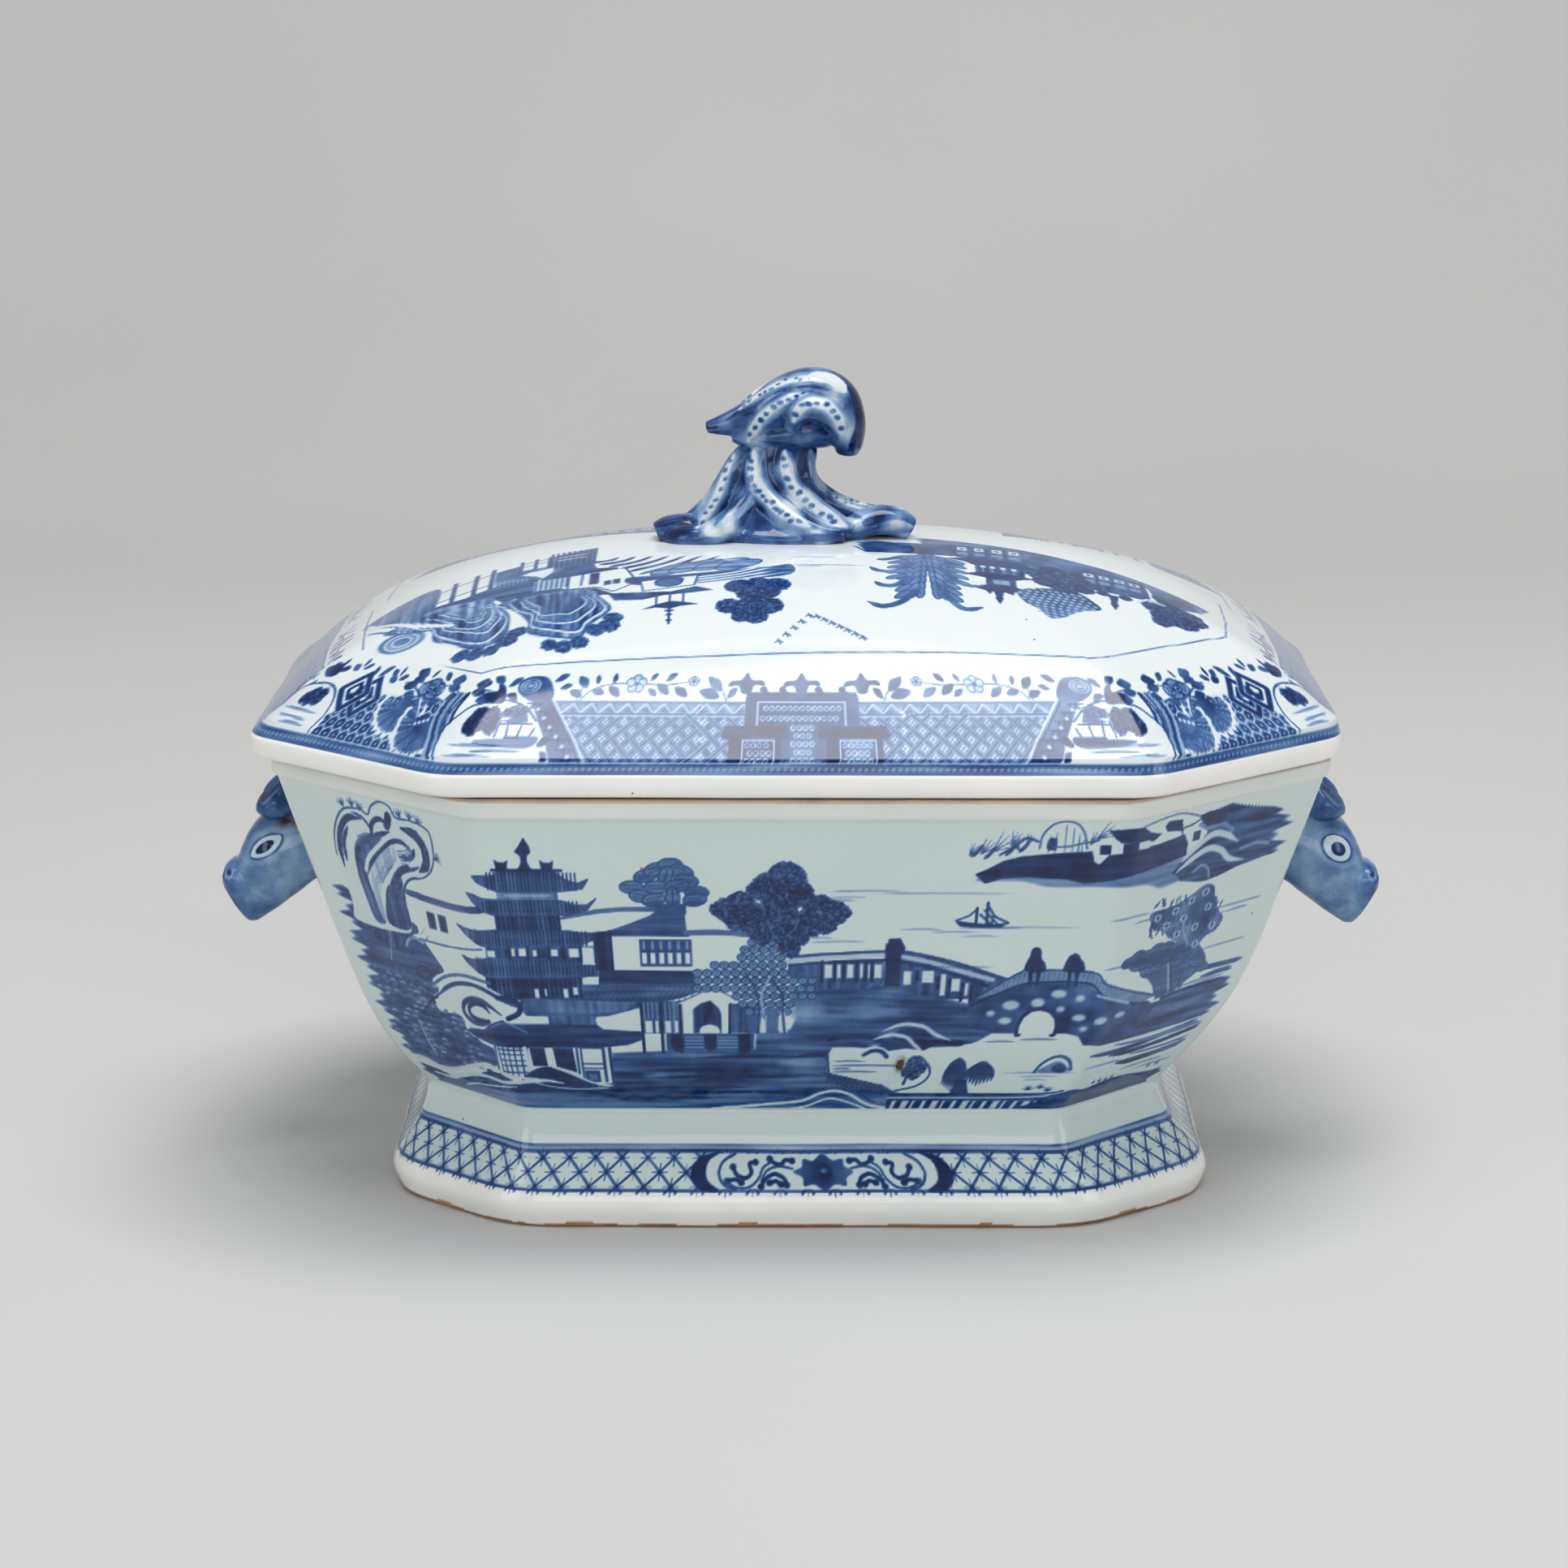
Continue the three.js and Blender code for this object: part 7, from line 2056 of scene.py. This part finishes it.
LOBE_STRANDS = {
    "finial_lobe_left": [
        ([(-26, -3, 189), (-32, -4, 189.4), (-38.4, -4.6, 189), (-42.4, -5, 187.4)],
         [3.8, 4.4, 4.3, 3.8], 1.6),
        ([(-22, -14, 187.6), (-28, -14.6, 187.6), (-34, -12.6, 187.4), (-38, -9, 187)],
         [2.6, 3.8, 4.2, 3.4], 1),
    ],
    "finial_lobe_right": [
        ([(9, -12, 187), (15, -9.6, 190), (21.6, -7, 192), (28, -5.4, 191.6), (32.6, -5, 189)],
         [2.8, 3.8, 4.4, 4.4, 3.8], 1.3),
        ([(17, 4, 189.6), (24, 3, 191.4), (29, 3, 189)], [3, 4, 3.4], 1.5),
    ],
}


def both_sides(strands):
    """The strands and their mirror images at the back."""
    back = [([(x, -y, z) for x, y, z in path], radii, flatten) for path, radii, flatten in strands
            if any(place[1] for place in path)]
    return list(strands) + back


def dotted_band(pen, path, width, gap, tone=0.07, size=0.62, offset=0.0):
    """A white band with a row of cobalt dabs along it."""
    for spread, shade in ((2.4, 0.42), (1.2, 0.3), (0.2, 0.18)):
        pen.line(path, width * 0.8 + spread, shade, taper=(0.3, 0.3), grain="blot", amount=0.8)
    pen.line(path, width * 0.62, tone, taper=(0.3, 0.3))
    line = smooth_path(np.asarray(path, float), steps=30)
    run = np.concatenate([[0], np.cumsum(np.hypot(*np.diff(line, axis=0).T))])
    wobble = np.random.default_rng(len(path) + int(width * 10))
    for at in np.arange(gap * 0.7, run[-1] - gap * 0.4, gap):
        i = int(np.searchsorted(run, at))
        x, y = line[min(i, len(line) - 1)] + wobble.normal(0, 0.36, 2) + (offset, 0)
        pen.oval(x, y, size * wobble.uniform(0.8, 1.5), size * wobble.uniform(0.6, 0.95),
                 wobble.uniform(0.45, 0.85), turn=wobble.uniform(-40, 40))


def paint_finial(pen):
    """x and height as seen from a little above."""
    pen.box(-48, 40, 182, 242, 0.5, grain="blot", amount=1.0)
    # The first of these pale lines, along the top of the curl, is a painted highlight.
    for path in ([(-12, 224), (-4, 228.5), (5, 228.9), (12, 224)], [(-22, 189), (-14, 196.8), (-16, 203.6)],
                 [(12, 191), (22, 189)], [(3, 211.4), (4, 205.6), (7, 199.7)]):
        pen.line(path, 2.6, 0.24, taper=(0.5, 0.5), grain="blot", amount=0.6)
    for path, width, tone in (
            ([(-27, 220.7), (-20, 224.6), (-12, 230.4), (-3, 234.7), (5, 236.2), (12, 234.3)], 2.4, 0.74),
            ([(9, 235.7), (15, 231.8), (18, 224), (17.8, 216.2), (14.6, 211.8)], 4.4, 0.95),
            ([(-27.6, 218.6), (-25, 218.6)], 3.4, 0.98),
            ([(-27, 217), (-20, 213.9), (-14, 210.8)], 2.2, 0.86),
            ([(-22, 220.5), (-14, 225.4), (-6, 228.9), (2, 230), (8, 228.9)], 1.3, 0.8),
            ([(-18, 216.8), (-12, 222.1), (-4, 227.3), (4, 228.5)], 0.9, 0.7),
            ([(-9, 211.4), (-4, 213.9), (3, 214.7), (9, 212.7)], 3.2, 0.62),
            ([(-17.2, 210.4), (-19.4, 202.6), (-21, 195.8), (-25, 188.7)], 2.4, 0.72),
            ([(-8.4, 210.8), (-8.8, 204.2), (-5.4, 198.8), (0.6, 193.5), (8, 188.9)], 1.8, 0.8),
            ([(0.4, 211.4), (0.8, 204.6), (3.6, 199.3), (9.4, 194.9), (18, 191)], 3, 0.82),
            ([(-45, 186.1), (-30, 183.8), (-12, 183.8), (6, 184.6), (20, 186.1), (36, 187.7)], 2.4, 0.62)):
        pen.line(path, width, tone, taper=(0.3, 0.3), grain="blot", amount=0.3)
    dotted_band(pen, [(-18, 223.6), (-11, 228.7), (-4, 231.6), (4, 232.7), (10, 231.8)], 3, 2.4)
    # A white stroke at the right end of the upper band, by the crest: a painted highlight.
    pen.line([(3, 233.1), (9, 232.4), (13, 228.9)], 4, 0.06, taper=(0.5, 0.3))
    dotted_band(pen, [(-15.4, 214.3), (-12.4, 219.5), (-8, 223.4), (-3, 226.3), (3, 227.5)],
                3.6, 2.5, size=0.75)
    # The dark wash in the hollow under the inner coil is partly cobalt and partly painted shade.
    pen.fill([(-3, 218.8), (1, 221.5), (5, 220.9), (9.6, 217.6), (11, 213.9), (7, 212.8), (1, 214.3)],
             0.66, smooth=True, grain="blot", amount=0.6)
    dotted_band(pen, [(-2, 219.5), (-0.4, 222.8), (3.4, 225), (7.6, 223.8), (11, 220.1), (12, 216.2)],
                5, 2.6, size=0.8)
    dotted_band(pen, [(-19.6, 210.4), (-22.6, 203.6), (-24.8, 197.2), (-27.6, 191.8), (-30.4, 187.9)], 3, 3,
                size=0.7)
    dotted_band(pen, [(-13.6, 210.8), (-13.8, 204.6), (-12, 199.7), (-7.6, 194.9), (-2.4, 191),
                      (2.6, 188.1)], 5.4, 1.9, size=0.85, offset=-1.2)
    dotted_band(pen, [(-4.6, 210.8), (-4, 205), (-1.6, 199.7), (3.2, 194.9), (9.2, 190.6),
                      (13.4, 188.3)], 5, 2.9, size=0.85, offset=-0.5)
    dotted_band(pen, [(9.4, 198.2), (13.4, 196), (19.6, 194.7)], 1.3, 2.4, size=0.5)
    pen.line([(-44, 189), (-38, 190.6), (-31, 189.6)], 3.4, 0.86, taper=(0.2, 0.6), grain="blot",
             amount=0.4)
    pen.line([(19, 189.4), (25, 192), (31, 192), (35, 189)], 3.6, 0.82, taper=(0.5, 0.2), grain="blot",
             amount=0.5)


def make_finial():
    sheet = Sheet(-48, 40, 182, 242, 17)
    paint_finial(Pen(sheet))
    groups = {"finial_stem": (both_sides(STEM_STRANDS), 0.6),
              "finial_curl": (both_sides(CURL_STRANDS), 0.55)}
    groups.update({name: (strands, 0.55) for name, strands in LOBE_STRANDS.items()})
    for name, (strands, voxel) in groups.items():
        mesh = fused(strand_mesh(strands), voxel, 9)
        flat = np.empty(len(mesh.vertices) * 3, np.float32)
        mesh.vertices.foreach_get("co", flat)
        points = flat.reshape(-1, 3).astype(float) / MM
        tone = sheet.read(points[:, 0], seen_height(points))
        mesh.attributes.new("cobalt", "FLOAT", "POINT").data.foreach_set("value", tone.astype(np.float32))
        add_piece(name + "_glazed", mesh, "lid", [name])


# ==== Looks =============================================================================

def srgb(red, green, blue):
    """A display colour, 0 to 255, as linear numbers."""
    share = [v / 255 for v in (red, green, blue)]
    return tuple(v / 12.92 if v < 0.04045 else ((v + 0.055) / 1.055) ** 2.4 for v in share) + (1,)


COBALT_RAMP = [(0.0, (206, 216, 226)), (0.22, (142, 170, 200)), (0.45, (86, 122, 170)),
               (0.65, (48, 86, 140)), (0.85, (20, 52, 106)), (1.0, (10, 26, 70))]


class Graph:
    """Shader nodes with short names."""

    def __init__(self, name):
        self.material = bpy.data.materials.new(name)
        self.material.use_nodes = True
        self.tree = self.material.node_tree
        self.shader = self.tree.nodes["Principled BSDF"]

    def node(self, kind, **sockets):
        made = self.tree.nodes.new(kind)
        for key, value in sockets.items():
            if key in made.inputs:
                self.feed(made.inputs[key], value)
            else:
                setattr(made, key, value)
        return made

    def feed(self, socket, value):
        if isinstance(value, bpy.types.NodeSocket):
            self.tree.links.new(value, socket)
        else:
            socket.default_value = value

    def place(self):
        return self.node("ShaderNodeTexCoord").outputs["Object"]

    def noise(self, scale, detail=3.0, roughness=0.5, place=None):
        made = self.node("ShaderNodeTexNoise", Vector=place or self.place(), Scale=scale,
                         Detail=detail, Roughness=roughness)
        return made.outputs["Fac"]

    def math(self, operation, a, b=0.0, c=0.0, clamp=False):
        made = self.tree.nodes.new("ShaderNodeMath")
        made.operation, made.use_clamp = operation, clamp
        for socket, value in zip(made.inputs, (a, b, c)):
            self.feed(socket, value)
        return made.outputs[0]

    def ramp(self, fac, stops, interpolation="LINEAR"):
        made = self.tree.nodes.new("ShaderNodeValToRGB")
        made.color_ramp.interpolation = interpolation
        points = made.color_ramp.elements
        for i, (at, colour) in enumerate(stops):
            point = points[i] if i < 2 else points.new(at)
            point.position, point.color = at, colour
        self.feed(made.inputs["Fac"], fac)
        return made.outputs["Color"]

    def level(self, fac, low, high):
        """0 below low and 1 above high."""
        made = self.node("ShaderNodeMapRange")
        for key, value in (("Value", fac), ("From Min", low), ("From Max", high)):
            self.feed(made.inputs[key], value)
        return made.outputs["Result"]

    def mix(self, fac, a, b, blend="MIX"):
        made = self.tree.nodes.new("ShaderNodeMix")
        made.data_type, made.blend_type = "RGBA", blend
        for key, value in ((0, fac), (6, a), (7, b)):
            self.feed(made.inputs[key], value)
        return made.outputs[2]

    def tone(self, name):
        made = self.tree.nodes.new("ShaderNodeAttribute")
        made.attribute_name = name
        return made.outputs["Fac"]


def glaze(name, body, pale, pinholes=0.0, wash=0.16, iron=0.5, streaks=0.5):
    """Cobalt painting under a clear glaze. body and pale are the porcelain's colours,
    pale where the glaze is thin, and on the foot's roll and the cover's flange also lighter
    as painted light; pinholes is how many dark pits the glaze has."""
    g = Graph(name)
    cloud, fine = g.noise(150, 4), g.noise(1500, 2)
    streak = g.noise(1.0, 3, place=g.node("ShaderNodeMapping", Vector=g.place(),
                                          Scale=(55, 55, 420)).outputs["Vector"])
    cloud = g.math("MULTIPLY_ADD", streak, streaks, g.math("MULTIPLY", cloud, 1 - streaks))
    spread = g.math("MULTIPLY_ADD", g.math("SUBTRACT", cloud, 0.5), 3 * wash, 0.97)
    grain = g.math("MULTIPLY_ADD", g.math("SUBTRACT", fine, 0.5), 0.5 * wash, spread)
    cobalt = g.math("MULTIPLY", g.tone("cobalt"), grain, clamp=True)
    ground = g.mix(g.tone("pale"), body, pale)
    patch = g.math("MULTIPLY", g.level(g.noise(28, 2), 0.3, 0.75), 0.35)
    ground = g.mix(patch, ground, g.mix(0.5, body, (0.9, 0.95, 0.96, 1), "MULTIPLY"))
    ink = g.ramp(cobalt, [(at, srgb(*colour)) for at, colour in COBALT_RAMP])
    colour = g.mix(g.level(cobalt, 0.0, 0.2), ground, ink)
    cell = g.node("ShaderNodeTexVoronoi", Vector=g.place(), Scale=115.0)
    lucky = g.math("LESS_THAN", g.node("ShaderNodeSeparateColor",
                                       Color=cell.outputs["Color"]).outputs[0], 0.05 * iron)
    speck = g.math("MULTIPLY", g.math("LESS_THAN", cell.outputs["Distance"], 0.055), lucky)
    colour = g.mix(g.math("MULTIPLY", speck, 0.65), colour, srgb(92, 72, 58))
    if pinholes:
        pit = g.node("ShaderNodeTexVoronoi", Vector=g.place(), Scale=210.0)
        some = g.math("LESS_THAN", g.node("ShaderNodeSeparateColor",
                                          Color=pit.outputs["Color"]).outputs[1], 0.06 * pinholes)
        hole = g.math("MULTIPLY", g.math("LESS_THAN", pit.outputs["Distance"], 0.075), some)
        colour = g.mix(g.math("MULTIPLY", hole, 0.8), colour, srgb(70, 60, 55))
    clay = g.tone("clay")
    biscuit = g.mix(g.level(g.noise(90, 3), 0.35, 0.7), srgb(196, 150, 98), srgb(150, 104, 62))
    colour = g.mix(clay, colour, biscuit)
    # stain_and_shade is dark brown: real stains and a scorch, and painted shade in the ears' slits.
    stain_and_shade = g.math("MULTIPLY", g.tone("stain_and_shade"), g.level(g.noise(260, 3), 0.3, 0.6), clamp=True)
    colour = g.mix(stain_and_shade, colour, srgb(74, 52, 40))
    g.feed(g.shader.inputs["Base Color"], colour)
    g.feed(g.shader.inputs["Roughness"], g.math("MULTIPLY_ADD", clay, 0.5, 0.09))
    g.shader.inputs["IOR"].default_value = 1.5
    g.shader.inputs["Specular IOR Level"].default_value = 0.5
    orange_peel = g.node("ShaderNodeBump", Strength=0.06, Distance=0.0006)
    g.feed(orange_peel.inputs["Height"], g.noise(120, 2))
    ripple = g.node("ShaderNodeBump", Strength=0.05, Distance=0.0002)
    g.feed(ripple.inputs["Height"], g.noise(900, 2))
    g.feed(ripple.inputs["Normal"], orange_peel.outputs["Normal"])
    g.feed(g.shader.inputs["Normal"], ripple.outputs["Normal"])
    return g.material


def bare_clay():
    g = Graph("bare_clay")
    cloud = g.noise(60, 4)
    g.feed(g.shader.inputs["Base Color"],
           g.ramp(cloud, [(0.3, srgb(214, 200, 178)), (0.62, srgb(190, 160, 122)),
                          (0.8, srgb(160, 120, 82))]))
    g.feed(g.shader.inputs["Roughness"], g.level(g.noise(800, 3), -0.6, 1.3))
    grit = g.node("ShaderNodeBump", Strength=0.3, Distance=0.0003)
    g.feed(grit.inputs["Height"], g.noise(1400, 3))
    g.feed(g.shader.inputs["Normal"], grit.outputs["Normal"])
    return g.material


def floor_paper():
    g = Graph("studio_paper")
    g.feed(g.shader.inputs["Base Color"],
           g.mix(g.level(g.noise(3.0, 2), 0.3, 0.7), (0.565, 0.565, 0.56, 1), (0.585, 0.585, 0.58, 1)))
    g.shader.inputs["Roughness"].default_value = 0.75
    g.shader.inputs["Specular IOR Level"].default_value = 0.25
    return g.material


# ==== Stage ===============================================================================

def make_stage():
    """A paper sweep: a floor that curves up into a backdrop."""
    half_width, front, bend, radius, top = 3200, -2600, 1100, 900, 3400
    profile = [(front, 0), (bend, 0)]
    profile += [(bend + radius * math.sin(a), radius * (1 - math.cos(a)))
                for a in np.linspace(0, math.pi / 2, 25)[1:]]
    profile.append((bend + radius, top))
    places = [(x, y, z) for y, z in profile for x in (-half_width, half_width)]
    faces = [(2 * i, 2 * i + 1, 2 * i + 3, 2 * i + 2) for i in range(len(profile) - 1)]
    mesh = bpy.data.meshes.new("studio_sweep")
    mesh.from_pydata([tuple(v * MM for v in p) for p in places], [], faces)
    mesh.shade_smooth()
    sweep = bpy.data.objects.new("studio_sweep", mesh)
    bpy.context.scene.collection.objects.link(sweep)
    mesh.materials.append(floor_paper())


def softbox(name, place, aim, size, power, colour=(1, 1, 1)):
    """An area light in mm, turned to face a point."""
    lamp = bpy.data.lights.new(name, "AREA")
    lamp.shape = "RECTANGLE"
    lamp.size, lamp.size_y = size[0] * MM, size[1] * MM
    lamp.energy = power
    lamp.color = colour
    holder = bpy.data.objects.new(name, lamp)
    bpy.context.scene.collection.objects.link(holder)
    holder.location = Vector(place) * MM
    holder.rotation_euler = (Vector(aim) - Vector(place)).to_track_quat("-Z", "Y").to_euler()


def light_studio():
    softbox("key_overhead", (160, -180, 2000), (0, 0, 100), (1500, 1000), 31)
    softbox("front_bounce", (0, -2700, 1100), (0, 0, 100), (2600, 900), 13)
    softbox("fill_left", (-1900, -1500, 800), (0, 0, 100), (900, 1200), 7)
    softbox("fill_right", (2000, -1300, 900), (0, 0, 100), (800, 1200), 6)
    softbox("backdrop", (0, 700, 2300), (0, 1900, 1500), (2400, 400), 5)
    world = bpy.data.worlds.new("studio_air")
    bpy.context.scene.world = world
    world.use_nodes = True
    air = world.node_tree.nodes["Background"]
    air.inputs["Color"].default_value = (1.0, 1.0, 1.0, 1)
    air.inputs["Strength"].default_value = 0.36


def place_camera():
    """The view: a long lens a little above the rim, square to the long side."""
    azimuth, elevation, distance = math.radians(0.41), math.radians(11.84), 1374.5
    target = Vector((-4.9, 0, 111.1))
    back = Vector((math.sin(azimuth) * math.cos(elevation), -math.cos(azimuth) * math.cos(elevation),
                   math.sin(elevation)))
    camera = bpy.data.cameras.new("view")
    camera.lens, camera.sensor_width = 105.06, 36
    holder = bpy.data.objects.new("view", camera)
    bpy.context.scene.collection.objects.link(holder)
    holder.location = (target + back * distance) * MM
    holder.rotation_euler = (-back).to_track_quat("-Z", "Y").to_euler()
    bpy.context.scene.camera = holder


# ==== Assembly ==============================================================================

BODY_GLAZE = srgb(206, 222, 220)
LID_WHITE = srgb(219, 226, 228)
# Near white for the foot's roll and the cover's flange: thinner glaze, made lighter still as painted light.
THIN_GLAZE_AND_PAINTED_LIGHT_WHITE = srgb(253, 251, 246)

make_bowl()
make_foot()
make_cover()
make_seating_ring()
for end, side in (("left", -1), ("right", 1)):
    make_head(f"head_{end}", side)
    for row, front in (("front", -1), ("back", 1)):
        make_ear(f"ear_{end}_{row}", side, front)
make_finial()

SURFACES = {
    "bowl_painted": glaze("bowl_glaze", BODY_GLAZE, srgb(224, 229, 224), wash=0.24),
    "foot_painted": glaze("foot_glaze", BODY_GLAZE, THIN_GLAZE_AND_PAINTED_LIGHT_WHITE, pinholes=0.5),
    "lid_painted": glaze("lid_glaze", LID_WHITE, THIN_GLAZE_AND_PAINTED_LIGHT_WHITE, pinholes=0.5),
    "seating_ring_bare": bare_clay(),
}
head_glaze = glaze("head_glaze", srgb(196, 212, 220), srgb(196, 212, 220), wash=0.55, streaks=0)
finial_glaze = glaze("finial_glaze", LID_WHITE, LID_WHITE, wash=0.42, streaks=0)
for piece in list(bpy.context.scene.objects):
    if piece.name in SURFACES:
        piece.data.materials.append(SURFACES[piece.name])
    elif piece.name.startswith(("head_", "ear_")) and piece.name.endswith("_glazed"):
        piece.data.materials.append(head_glaze)
    elif piece.name.startswith("finial_") and piece.name.endswith("_glazed"):
        piece.data.materials.append(finial_glaze)

make_stage()
light_studio()
place_camera()
bpy.context.scene.view_settings.view_transform = "Standard"
